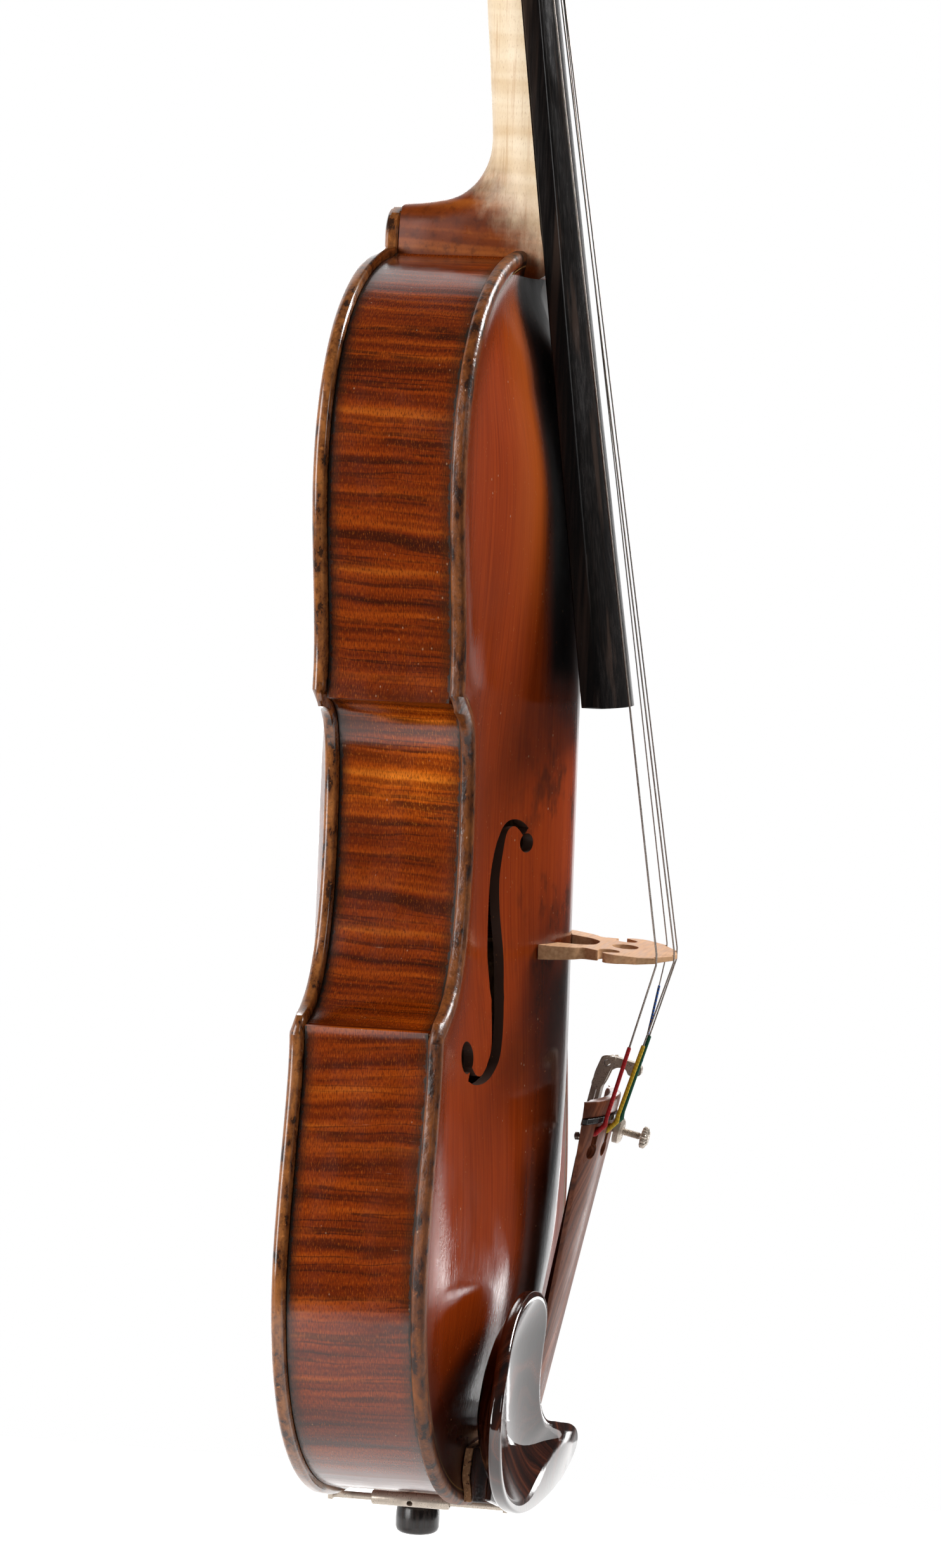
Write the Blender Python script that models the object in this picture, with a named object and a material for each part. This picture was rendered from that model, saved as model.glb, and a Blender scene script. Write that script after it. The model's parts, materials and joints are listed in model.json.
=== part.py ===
"""Viola of 406 mm body length, with bridge, strings, tailpiece, fine tuner and chinrest.

The viola stands upright, scroll up, and its belly looks to -Y. The bass side is -X.
Heights are first worked out from the bottom edge of the body; the frame empty then
moves everything, so that the origin is where a yoke holds the head below the scroll.
"""
import math

import bmesh
import bpy
import numpy as np
from mathutils import Vector
from mathutils.bvhtree import BVHTree

# Gap between touching pieces
SEAT = 0.0003

# Body outline, full widths and heights above the bottom edge
BODY_LENGTH = 0.406
LOWER_BOUT = 0.232
LOWER_BOUT_HEIGHT = 0.087
UPPER_BOUT = 0.202
UPPER_BOUT_HEIGHT = 0.333
WAIST = 0.140
WAIST_HEIGHT = 0.222
LOWER_CORNER = 0.2052
LOWER_CORNER_HEIGHT = 0.1637
UPPER_CORNER = 0.1794
UPPER_CORNER_HEIGHT = 0.2645
OVERHANG = 0.0028
CORNER_CUT = 0.0016

# Ribs, linings and blocks
RIB_BOTTOM = 0.0400
RIB_TOP = 0.0388
RIB_WALL = 0.0012
LINING_WALL = 0.0022
LINING_HEIGHT = 0.0075
CORNER_BLOCK_REACH = 0.024
END_BLOCK_WIDTH = 0.052
END_BLOCK_DEPTH = 0.018
TOP_BLOCK_WIDTH = 0.060
TOP_BLOCK_DEPTH = 0.020

# Plates
PLATE_EDGE = 0.0044
PLATE_WALL = 0.0032
EDGE_ROUND = 0.0011
EDGE_LAND = 0.0030
CHANNEL = 0.0095
CHANNEL_DIP = 0.0009
GLUE_LAND = 0.0095
BELLY_ARCH = 0.0188
BACK_ARCH = 0.0165
ARCH_POWER = 1.75
LONG_ARCH_POWER = 2.3
LONG_ARCH_REACH = 0.160
SPINE_MARGIN = 0.045

# Button of the back and the neck root
BUTTON_WIDTH = 0.027
BUTTON_RISE = 0.0136
MORTISE = 0.0085
HEEL_RISE = 0.0135
HEEL_FLARE = 0.0035

# f-holes, from the body centre line and the bottom edge: eyes, then (x, z, width) down the stem
F_UPPER_EYE = (0.0306, 0.2173)
F_LOWER_EYE = (0.0704, 0.1526)
F_UPPER_EYE_RADIUS = 0.0031
F_LOWER_EYE_RADIUS = 0.0051
F_STEM = ((0.0310, 0.2208, 0.0034), (0.0333, 0.2228, 0.0030), (0.0360, 0.2240, 0.0023),
          (0.0387, 0.2238, 0.0024), (0.0409, 0.2223, 0.0028), (0.0424, 0.2196, 0.0033),
          (0.0440, 0.2150, 0.0044), (0.0458, 0.2070, 0.0050), (0.0464, 0.1960, 0.0063),
          (0.0464, 0.1820, 0.0087), (0.0469, 0.1680, 0.0072), (0.0480, 0.1590, 0.0066),
          (0.0498, 0.1520, 0.0060), (0.0530, 0.1480, 0.0052), (0.0565, 0.1456, 0.0038),
          (0.0605, 0.1444, 0.0026), (0.0650, 0.1451, 0.0034), (0.0688, 0.1474, 0.0054))

# Neck, fingerboard and nut: the neck counts from the edge of the body to the nut
NECK_LENGTH = 0.1500
BOARD_LENGTH = 0.2954
NUT_HEIGHT = BODY_LENGTH + NECK_LENGTH
BOARD_END_HEIGHT = NUT_HEIGHT - BOARD_LENGTH
NUT_THICK = 0.0060
NUT_RADIUS = 0.0450
STRING_OVER_BOARD = 0.0009
BOARD_NUT_WIDTH = 0.0250
BOARD_END_WIDTH = 0.0445
BOARD_SIDE = 0.0058
BOARD_RADIUS = 0.0400
BOARD_HOLLOW = 0.0030
BOARD_UNDER_AT_EDGE = 0.0295
BOARD_SLOPE = 0.1310
NECK_BACK_AT_HEEL = 0.0090
NECK_BACK_SLOPE = 0.086

# Heel: share of its depth, place of its back line and rise over its top
HEEL_CURVE = ((0.15, 0.0100, 0.0010, 0.48), (0.35, 0.0035, 0.0021, 0.52),
              (0.57, -0.0020, 0.0045, 0.60), (0.79, -0.0062, 0.0100, 0.72))

# Head: rises above the nut, setbacks from the front of the neck there, and half widths
EYE_RISE = 0.0950
EYE_SETBACK = 0.0219
SCROLL_RADIUS = 0.0225
SCROLL_TURNS = 2.35
SCROLL_SHRINK = 0.55
SCROLL_STEP = 0.0012
HEAD_WALL = 0.0052
HEAD_FLOOR = 0.0042
HEAD_FRONT = ((0.0075, 0.0011), (0.0240, 0.0054), (0.0440, 0.0105), (0.0620, 0.0147),
              (0.0760, 0.0177), (0.0830, 0.0184))
HEAD_BACK = ((0.0090, 0.0199), (0.0180, 0.0235), (0.0340, 0.0285), (0.0590, 0.0361),
             (0.0800, 0.0417), (0.0945, 0.0441))
HEAD_HALF_WIDTH = ((0.0, 0.0130), (0.012, 0.0148), (0.034, 0.0140), (0.059, 0.0122),
                   (0.080, 0.0104), (0.095, 0.0097))
SCROLL_HALF_WIDTH = ((0.0, 0.0097), (0.25, 0.0072), (0.5, 0.0070), (0.75, 0.0092), (1.0, 0.0118),
                     (1.5, 0.0160), (2.0, 0.0195), (2.35, 0.0215))

# Pegs: name, side, rise above the nut and turn of the thumb piece
PEGS = (("peg_c", -1, 0.0195, 0.6), ("peg_a", 1, 0.0330, -0.4),
        ("peg_g", -1, 0.0500, -0.4), ("peg_d", 1, 0.0650, 0.6))
PEG_RADIUS = 0.0040
PEG_TAPER = 0.0009
PEG_CLEARANCE = 0.0003
PEG_TAIL = 0.0015
PEG_NECK = 0.0105

# Bridge: its lift is the crown's height over the line of the fingerboard, and its heart
# has a drop from the crown, half width, half height and dip as shares of the whole height
BRIDGE_HEIGHT = 0.1820
BRIDGE_LIFT = 0.0061
BRIDGE_FEET = 0.0500
BRIDGE_TOP_WIDTH = 0.0480
BRIDGE_TOP_THICK = 0.0016
BRIDGE_FOOT_THICK = 0.0048
BRIDGE_RADIUS = 0.0400
BRIDGE_HEART = (0.487, 0.162, 0.117, 0.033)
STRING_GROOVE = 0.0003

# Strings, bass to treble
STRING_NAMES = ("string_c", "string_g", "string_d", "string_a")
STRING_DIAMETER = (0.0012, 0.0010, 0.0009, 0.0008)
STRING_SPREAD_BRIDGE = 0.0355
STRING_SPREAD_NUT = 0.0170
SILK_DIAMETER = 0.0017

# Tailpiece
TAIL_END_HEIGHT = 0.0160
TAIL_LENGTH = 0.1180
TAIL_TOP_HEIGHT = TAIL_END_HEIGHT + TAIL_LENGTH
TAIL_TOP_WIDTH = 0.0440
TAIL_END_WIDTH = 0.0220
TAIL_SLOPE = 0.2180
TAIL_END_Y = 0.0363
TAIL_CROWN_Y = TAIL_END_Y + TAIL_SLOPE * TAIL_LENGTH
TAIL_SAG = 0.0070
TAIL_WALL = 0.0042
TAIL_END_DEPTH = 0.0080
TAIL_FRET_DROP = 0.0065
TAIL_FRET_HALF = 0.0011
TAIL_SLIT_DROP = 0.0100
TAIL_HOLE_DROP = 0.0170
TAIL_HOLE_RADIUS = 0.0026
TAIL_STRING_SPREAD = 0.0270
TAIL_GUT_SPREAD = 0.0104
TAIL_GUT_RISE = 0.0060
TAIL_GUT_DEPTH = 0.0040

# Fine tuner of the treble string, measured from its pivot pin
TUNER_PIN_SINK = 0.0065
TUNER_PIN_RISE = 0.0089
TUNER_ARM = 0.0105
TUNER_LEVER = 0.0230
TUNER_SCREW_OFFSET = 0.0210
TUNER_WIDTH = 0.0060
TUNER_WALL = 0.0010
TUNER_PIN_RADIUS = 0.0008
TUNER_SCREW_RADIUS = 0.0012
TUNER_SCREW_LENGTH = 0.0178
TUNER_BASE = 0.0012
TUNER_TAIL = 0.0018

# Chinrest: outline and the rim of its cup in matched points, then rises of its rim
# as (x, z, reach across, reach along, rise)
CHIN_LINE = ((0.0230, 0.0110), (0.0215, 0.0175), (0.0140, 0.0220), (0.0020, 0.0250),
             (-0.0100, 0.0285), (-0.0180, 0.0370), (-0.0200, 0.0500), (-0.0235, 0.0640),
             (-0.0330, 0.0730), (-0.0460, 0.0750), (-0.0640, 0.0695), (-0.0800, 0.0590),
             (-0.0900, 0.0440), (-0.0865, 0.0280), (-0.0730, 0.0145), (-0.0500, 0.0050),
             (-0.0240, 0.0008), (0.0020, 0.0010), (0.0160, 0.0045))
CUP_LINE = ((-0.0020, 0.0180), (0.0000, 0.0195), (-0.0010, 0.0210), (-0.0060, 0.0235),
            (-0.0135, 0.0275), (-0.0202, 0.0375), (-0.0223, 0.0500), (-0.0258, 0.0630),
            (-0.0340, 0.0706), (-0.0460, 0.0725), (-0.0627, 0.0673), (-0.0780, 0.0575),
            (-0.0875, 0.0437), (-0.0840, 0.0290), (-0.0712, 0.0165), (-0.0510, 0.0090),
            (-0.0330, 0.0075), (-0.0200, 0.0105), (-0.0100, 0.0145))
CUP_CENTRE = (-0.0500, 0.0360)
CHIN_RIM = 0.0185
CHIN_RISES = ((-0.0880, 0.0450, 0.0300, 0.0300, 0.0017), (-0.0300, 0.0680, 0.0180, 0.0180, 0.0030),
              (0.0180, 0.0170, 0.0240, 0.0140, 0.0058))
CHIN_BOWL = 0.0072
CHIN_BOWL_POWER = 4.0
CHIN_WALL = 0.0042
CHIN_FOOT = ((-0.0580, 0.0100), (-0.0400, 0.0045), (-0.0190, 0.0022), (0.0185, 0.0040),
             (0.0185, 0.0100), (-0.0190, 0.0115), (-0.0190, 0.0260), (-0.0520, 0.0300))

# Cork under the chinrest: its thickness, sides and ends
CHIN_CORK = 0.0023
CORK_SIDES = (-0.0460, -0.0200)
CORK_ENDS = (0.0065, 0.0240)
CORK_REACH = 0.0015

# Clamp of the chinrest: the bracket's outline lies over the belly's edge
CLAMP_SPREAD = 0.0320
CLAMP_DROP = 0.0010
BARREL_LENGTH = 0.0260
BARREL_RADIUS = 0.0024
BARREL_KEY = 0.0010
BARREL_OFFSET = 0.0010
ROD_RADIUS = 0.0012
ROD_GRIP = 0.0100
BRACKET_RISE = 0.0084
BRACKET_WALL = 0.0016
BRACKET_OUTLINE = ((-0.0185, -0.0024), (0.0185, -0.0024), (0.0185, 0.0090), (0.0095, 0.0090),
                   (0.0095, 0.0030), (-0.0095, 0.0030), (-0.0095, 0.0090), (-0.0185, 0.0090))
FOOT_OUTLINE = ((-0.0185, -0.0024), (0.0185, -0.0024), (0.0185, 0.0070), (-0.0185, 0.0070))

# End button, saddle and tailgut
BUTTON_RADIUS = 0.0072
BUTTON_END = 0.0150
SADDLE_WIDTH = 0.0285
SADDLE_DEPTH = 0.0062
SADDLE_RISE = 0.0030
TAILGUT_DIAMETER = 0.0022

# Rise above the nut of the yoke that holds the head, which is the origin of the part
HANGER_RISE = 0.0770

# Inner parts
BAR_X = -0.0190
BAR_WIDTH = 0.0054
BAR_ENDS = (0.0550, 0.3450)
POST_X = 0.0190
POST_DROP = 0.0060
POST_RADIUS = 0.0034

BELLY_PLANE = -RIB_BOTTOM / 2
MATERIALS = {}


def clear_scene():
    for item in list(bpy.data.objects):
        bpy.data.objects.remove(item, do_unlink=True)


def material(name, colour, roughness, metallic=0.0):
    """Principled material that is made once and then shared."""
    if name not in MATERIALS:
        made = bpy.data.materials.new(name)
        made.use_nodes = True
        shader = made.node_tree.nodes["Principled BSDF"]
        shader.inputs["Base Color"].default_value = (*colour, 1.0)
        shader.inputs["Roughness"].default_value = roughness
        shader.inputs["Metallic"].default_value = metallic
        MATERIALS[name] = made
    return MATERIALS[name]


def link(name, mesh, mat, angle=40.0):
    """Put a mesh in the scene as a named piece."""
    piece = bpy.data.objects.new(name, mesh)
    bpy.context.scene.collection.objects.link(piece)
    piece.data.materials.append(mat)
    mesh.shade_smooth()
    mesh.set_sharp_from_angle(angle=math.radians(angle))
    return piece


def solid(name, verts, faces, mat, angle=40.0):
    """Closed mesh with its faces turned outwards."""
    mesh = bpy.data.meshes.new(name)
    mesh.from_pydata([tuple(v) for v in verts], [], faces)
    work = bmesh.new()
    work.from_mesh(mesh)
    bmesh.ops.recalc_face_normals(work, faces=work.faces)
    work.to_mesh(mesh)
    work.free()
    return link(name, mesh, mat, angle)


def loft(name, rings, mat, angle=40.0):
    """Skin over rings of equal length, with a flat cap at each end."""
    count = len(rings[0])
    verts = [p for ring in rings for p in ring]
    faces = []
    for k in range(len(rings) - 1):
        for i in range(count):
            j = (i + 1) % count
            a, b = k * count, (k + 1) * count
            faces.append((a + i, a + j, b + j, b + i))
    faces.append(tuple(range(count)))
    last = (len(rings) - 1) * count
    faces.append(tuple(reversed(range(last, last + count))))
    return solid(name, verts, faces, mat, angle)


def prism(name, profile, low, high, mat, place, angle=40.0):
    """Profile swept from low to high; place turns (u, v, depth) into x, y, z."""
    rings = [[place(u, v, depth) for u, v in profile] for depth in (low, high)]
    return loft(name, rings, mat, angle)


def across(u, v, depth):
    """Profile in the x-z plane, swept along y."""
    return (u, depth, v)


def sideways(u, v, depth):
    """Profile in the y-z plane, swept along x."""
    return (depth, u, v)


def upright(u, v, depth):
    """Profile in the x-y plane, swept along z."""
    return (u, v, depth)


def turned(name, profile, start, direction, mat, sides=16, angle=40.0):
    """Round piece: profile of (distance along the axis, radius)."""
    axis = Vector(direction).normalized()
    turn = axis.to_track_quat("Z", "Y")
    rings = []
    for along, radius in profile:
        ring = []
        for i in range(sides):
            a = 2 * math.pi * i / sides
            local = Vector((radius * math.cos(a), radius * math.sin(a), along))
            ring.append(Vector(start) + turn @ local)
        rings.append(ring)
    return loft(name, rings, mat, angle)


def tube(name, points, radius, mat, radii=None):
    """Round tube through points, closed at both ends."""
    data = bpy.data.curves.new(name, "CURVE")
    data.dimensions = "3D"
    data.bevel_depth = radius
    data.bevel_resolution = 1
    data.use_fill_caps = True
    spline = data.splines.new("POLY")
    spline.points.add(len(points) - 1)
    for k, point in enumerate(points):
        spline.points[k].co = (*point, 1.0)
        if radii:
            spline.points[k].radius = radii[k]
    piece = bpy.data.objects.new(name, data)
    bpy.context.scene.collection.objects.link(piece)
    data.materials.append(mat)
    return piece


def hide_cutter(cutter):
    cutter.hide_render = True
    cutter.display_type = "WIRE"
    cutter.hide_set(True)


def combine(piece, other, operation):
    """Boolean of one piece with another, which then only guides it."""
    step = piece.modifiers.new(operation.lower(), "BOOLEAN")
    step.operation = operation
    step.object = other
    step.solver = "EXACT"
    hide_cutter(other)


def cut(piece, other):
    combine(piece, other, "DIFFERENCE")


def fuse(piece, other):
    combine(piece, other, "UNION")


def bezier(a, b, c, d, steps):
    """Points of a cubic curve, without its first point."""
    out = []
    for k in range(1, steps + 1):
        t = k / steps
        s = 1 - t
        out.append(tuple(
            s ** 3 * a[i] + 3 * s * s * t * b[i] + 3 * s * t * t * c[i] + t ** 3 * d[i]
            for i in range(len(a))
        ))
    return out


def smooth_path(points, steps):
    """Smooth curve through points (Catmull-Rom)."""
    pts = [np.array(p, float) for p in points]
    ends = [2 * pts[0] - pts[1]] + pts + [2 * pts[-1] - pts[-2]]
    out = []
    for i in range(1, len(ends) - 2):
        a, b, c, d = ends[i - 1:i + 3]
        for k in range(steps):
            t = k / steps
            out.append(0.5 * (2 * b + (c - a) * t + (2 * a - 5 * b + 4 * c - d) * t ** 2
                              + (3 * b - a - 3 * c + d) * t ** 3))
    out.append(ends[-2])
    return out


def garland():
    """Outer line of the ribs of the treble half: lower, C and upper run of (x, z)."""
    low, waist, up = (width / 2 - OVERHANG for width in (LOWER_BOUT, WAIST, UPPER_BOUT))
    bottom, top = OVERHANG, BODY_LENGTH - OVERHANG
    lh, wh, uh = LOWER_BOUT_HEIGHT, WAIST_HEIGHT, UPPER_BOUT_HEIGHT
    lx, lz = LOWER_CORNER / 2, LOWER_CORNER_HEIGHT
    ux, uz = UPPER_CORNER / 2, UPPER_CORNER_HEIGHT
    lower = [(0.0, bottom)]
    lower += bezier((0, bottom), (0.60 * low, bottom), (low, lh - 0.62 * lh), (low, lh), 9)
    lower += bezier((low, lh), (low, lh + 0.33 * (lz - lh)),
                    (lx - 0.0050, lz - 0.20 * (lz - lh)), (lx, lz), 7)
    centre = [(lx, lz)]
    centre += bezier((lx, lz), (lx - 0.66 * (lx - waist), lz + 0.0024),
                     (waist, lz + 0.385 * (wh - lz)), (waist, wh), 8)
    centre += bezier((waist, wh), (waist, wh + 0.75 * (uz - wh)),
                     (ux - 0.80 * (ux - waist), uz - 0.0016), (ux, uz), 7)
    upper = [(ux, uz)]
    upper += bezier((ux, uz), (ux - 0.006, uz + 0.24 * (uh - uz)),
                    (up, uh - 0.33 * (uh - uz)), (up, uh), 6)
    upper += bezier((up, uh), (up, uh + 0.645 * (top - uh)), (0.61 * up, top), (0, top), 9)
    return lower, centre, upper


def normals(points):
    """Outward direction at each point of a run that climbs the treble side."""
    out = []
    for k in range(len(points)):
        a = points[max(k - 1, 0)]
        b = points[min(k + 1, len(points) - 1)]
        dx, dz = b[0] - a[0], b[1] - a[1]
        size = math.hypot(dx, dz)
        out.append((dz / size, -dx / size))
    return out


def offset(points, distance, flat_start=False, flat_end=False):
    """Run moved outwards; flat ends stay on the centre line."""
    moved = []
    for (x, z), (nx, nz) in zip(points, normals(points)):
        moved.append((x + nx * distance, z + nz * distance))
    if flat_start:
        moved[0] = (0.0, points[0][1] - distance)
    if flat_end:
        moved[-1] = (0.0, points[-1][1] + distance)
    return moved


def trimmed(run, at_start, at_end):
    """Shorten a run by the cut of a corner."""
    run = [Vector(p) for p in run]
    if at_end:
        run[-1] = run[-1] - (run[-1] - run[-2]).normalized() * CORNER_CUT
    if at_start:
        run[0] = run[0] + (run[1] - run[0]).normalized() * CORNER_CUT
    return [tuple(p) for p in run]


def plate_outline():
    """Edge of a plate, treble half, from bottom centre to top centre."""
    lower, centre, upper = garland()
    lower = trimmed(offset(lower, OVERHANG, flat_start=True), False, True)
    centre = trimmed(offset(centre, OVERHANG), True, True)
    upper = trimmed(offset(upper, OVERHANG, flat_end=True), True, False)
    return lower + centre + upper


def back_plane(z):
    """Inner face of the back: the ribs taper towards the top."""
    return BELLY_PLANE + RIB_BOTTOM - (RIB_BOTTOM - RIB_TOP) * z / BODY_LENGTH


class Arching:
    """Height of a plate's faces over the plane of the ribs."""

    def __init__(self, rise):
        self.rise = rise
        self.line = np.array(plate_outline())
        self.faces = None
        self.side = 1

    def measure(self, piece, side):
        """Keep the faces of the made plate, for what is fitted to them."""
        self.faces = BVHTree.FromObject(piece, bpy.context.evaluated_depsgraph_get())
        self.side = side

    def face_y(self, x, z, outer):
        """Place of the outer or inner face of the made plate."""
        far = self.side if outer else -self.side
        hit = self.faces.ray_cast(Vector((x, far, z)), Vector((0, -far, 0)))
        return hit[0].y

    def edge_distance(self, x, z):
        point = np.array((abs(x), z))
        start, span = self.line[:-1], np.diff(self.line, axis=0)
        share = ((point - start) * span).sum(1) / (span ** 2).sum(1)
        nearest = start + span * np.clip(share, 0, 1)[:, None]
        return float(np.sqrt(((nearest - point) ** 2).sum(1)).min())

    def outer(self, x, z):
        edge = self.edge_distance(x, z)
        if edge <= EDGE_LAND:
            return PLATE_EDGE
        dip = min((edge - EDGE_LAND) / (CHANNEL - EDGE_LAND), 1.0)
        height = PLATE_EDGE - CHANNEL_DIP * dip * dip * (3 - 2 * dip)
        if edge <= CHANNEL:
            return height
        spine = min(max(z, SPINE_MARGIN), BODY_LENGTH - SPINE_MARGIN)
        away = math.hypot(x, z - spine)
        share = (edge - CHANNEL) / (edge - CHANNEL + away)
        end = min(min(spine, BODY_LENGTH - spine) / LONG_ARCH_REACH, 1.0)
        long_arch = 1 - (1 - end) ** LONG_ARCH_POWER
        return height + (self.rise + CHANNEL_DIP) * long_arch * math.sin(
            math.pi * share / 2) ** ARCH_POWER

    def inner(self, x, z):
        edge = self.edge_distance(x, z)
        ramp = min(max((edge - GLUE_LAND) / 0.006, 0.0), 1.0)
        return max(self.outer(x, z) - PLATE_WALL, 0.0) * ramp


def plate(name, arching, plane, side, mat):
    """Arched plate as rings from its edge to the spine; side is -1 for the belly."""
    line = plate_outline()
    count = len(line)
    inset = {d: offset(line, -d, True, True) for d in (EDGE_ROUND, EDGE_LAND)}
    spine = [(0.0, SPINE_MARGIN + (BODY_LENGTH - 2 * SPINE_MARGIN) * p[1] / BODY_LENGTH)
             for p in line]

    def towards(share):
        return [(a[0] + (b[0] - a[0]) * share, a[1] + (b[1] - a[1]) * share)
                for a, b in zip(inset[EDGE_LAND], spine)]

    rings = [[(p, 0.0) for p in inset[EDGE_ROUND]]]
    rings.append([(p, EDGE_ROUND) for p in line])
    rings.append([(p, PLATE_EDGE - EDGE_ROUND) for p in line])
    rings.append([(p, PLATE_EDGE) for p in inset[EDGE_ROUND]])
    rings.append([(p, PLATE_EDGE) for p in inset[EDGE_LAND]])
    for share in (0.06, 0.14, 0.28, 0.47, 0.72):
        rings.append([(p, arching.outer(*p)) for p in towards(share)])
    inner = [[(p, arching.inner(*p)) for p in towards(share)] for share in (0.72, 0.42, 0.17)]
    verts, faces = [], []

    def add(p, height, mirror=1):
        verts.append((mirror * p[0], plane(p[1]) + side * height, p[1]))
        return len(verts) - 1

    def add_ring(ring):
        right = [add(*item) for item in ring]
        left = [add(*item, mirror=-1) for item in ring[1:-1]]
        return right, [right[0]] + left + [right[-1]]

    def bridge_rings(first, second):
        for a, b in zip(first, second):
            for k in range(count - 1):
                faces.append((a[k], a[k + 1], b[k + 1], b[k]))

    loops = [add_ring(ring) for ring in rings]
    top_spine = [add(p, arching.outer(*p)) for p in spine]
    low_spine = [add(p, arching.inner(*p)) for p in spine]
    chain = loops + [(top_spine, top_spine)]
    for first, second in zip(chain[:-1], chain[1:]):
        bridge_rings(first, second)
    under = [(low_spine, low_spine)] + [add_ring(ring) for ring in inner] + [loops[0]]
    for first, second in zip(under[:-1], under[1:]):
        bridge_rings(first, second)
    return solid(name, verts, faces, mat, angle=50.0)


def make_materials():
    material("maple_varnish", (0.42, 0.13, 0.035), 0.28)
    material("spruce_varnish", (0.38, 0.10, 0.03), 0.30)
    material("bare_maple", (0.78, 0.58, 0.36), 0.45)
    material("bare_spruce", (0.80, 0.66, 0.45), 0.60)
    material("ebony", (0.025, 0.02, 0.018), 0.30)
    material("rosewood", (0.13, 0.05, 0.03), 0.30)
    material("nickel", (0.72, 0.70, 0.66), 0.25, 1.0)
    material("steel_string", (0.55, 0.53, 0.50), 0.35, 1.0)
    material("cork", (0.60, 0.40, 0.24), 0.80)
    material("gut_cord", (0.03, 0.03, 0.03), 0.50)


def rib_strip(name, run, mat):
    """Thin wall along a run of the garland, as high as the space between the plates."""
    inner = offset(run, -RIB_WALL)
    rings = []
    for (ax, az), (bx, bz) in zip(run, inner):
        rings.append([
            (ax, BELLY_PLANE + SEAT, az), (ax, back_plane(az) - SEAT, az),
            (bx, back_plane(bz) - SEAT, bz), (bx, BELLY_PLANE + SEAT, bz),
        ])
    return loft(name, rings, mat, 60)


def mirrored(points):
    return [(-x, z) for x, z in points]


def clear_of(points, other, distance):
    """Points of a run that keep a distance from another run."""
    line = np.array(other)
    start, span = line[:-1], np.diff(line, axis=0)
    kept = []
    for p in points:
        share = ((np.array(p) - start) * span).sum(1) / (span ** 2).sum(1)
        nearest = start + span * np.clip(share, 0, 1)[:, None]
        if np.sqrt(((nearest - np.array(p)) ** 2).sum(1)).min() >= distance:
            kept.append(p)
    return kept


def rib_runs():
    """Runs of the ribs: the C ribs and upper ribs stop against the ribs they meet."""
    lower, centre, upper = garland()
    gap = RIB_WALL + 2 * SEAT
    first = Vector(centre[0]).lerp(Vector(centre[1]), 0.25)
    last = Vector(centre[-1]).lerp(Vector(centre[-2]), 0.25)
    centre = [tuple(first)] + centre[1:-1] + [tuple(last)]
    centre = clear_of(clear_of(centre, lower, gap), upper, gap)
    heel = BUTTON_WIDTH / 2 + HEEL_FLARE + 2 * SEAT
    upper = [p for p in upper if p[0] > heel] + [(heel, BODY_LENGTH - OVERHANG)]
    return lower, centre, upper


def make_ribs(mat):
    lower, centre, upper = rib_runs()
    whole = mirrored(lower)[::-1][:-1] + lower
    lower_rib = rib_strip("lower_rib", whole, mat)
    hole = turned("lower_rib_hole", [(-0.002, 0.0048), (0.010, 0.0048)], (0, 0, 0), (0, 0, 1), mat)
    cut(lower_rib, hole)
    for side, sign in (("treble", 1), ("bass", -1)):
        for label, run in (("c_rib", centre), ("upper_rib", upper)):
            turned_run = run if sign > 0 else mirrored(run)[::-1]
            rib_strip(f"{label}_{side}", turned_run, mat)


def inside(run, extra=0.0):
    return offset(run, -(RIB_WALL + SEAT + extra))


def block(name, outline, mat):
    """Block that fills the full height between the plates."""
    verts, faces = [], []
    count = len(outline)
    for x, z in outline:
        verts.append((x, BELLY_PLANE + SEAT, z))
    for x, z in outline:
        verts.append((x, back_plane(z) - SEAT, z))
    faces.append(tuple(range(count)))
    faces.append(tuple(reversed(range(count, 2 * count))))
    for i in range(count):
        j = (i + 1) % count
        faces.append((i, j, count + j, count + i))
    return solid(name, verts, faces, mat, 30)


def start_of(run, reach):
    """Part of a run up to a distance from its start."""
    start = Vector(run[0])
    kept = [run[0]]
    for a, b in zip(run[:-1], run[1:]):
        near, far = (Vector(a) - start).length, (Vector(b) - start).length
        if far < reach:
            kept.append(b)
            continue
        kept.append(tuple(Vector(a).lerp(Vector(b), (reach - near) / (far - near))))
        break
    return kept


def from_nearest(run, point):
    """Part of a run that starts at its nearest place to a point."""
    line = np.array(run)
    start, span = line[:-1], np.diff(line, axis=0)
    share = np.clip(((np.array(point) - start) * span).sum(1) / (span ** 2).sum(1), 0, 1)
    places = start + span * share[:, None]
    first = int(((places - np.array(point)) ** 2).sum(1).argmin())
    return [tuple(places[first])] + list(run[first + 1:])


def corner_outline(through, centre):
    """Corner block between the rib that reaches the corner and the C rib that stops there."""
    a = start_of(from_nearest(through, centre[0]), CORNER_BLOCK_REACH)
    b = start_of(centre, CORNER_BLOCK_REACH)
    middle = (Vector(a[-1]) + Vector(b[-1])) / 2
    middle += (middle - Vector(a[0])).normalized() * CORNER_BLOCK_REACH / 5
    return a[::-1] + b + [tuple(middle)]


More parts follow.
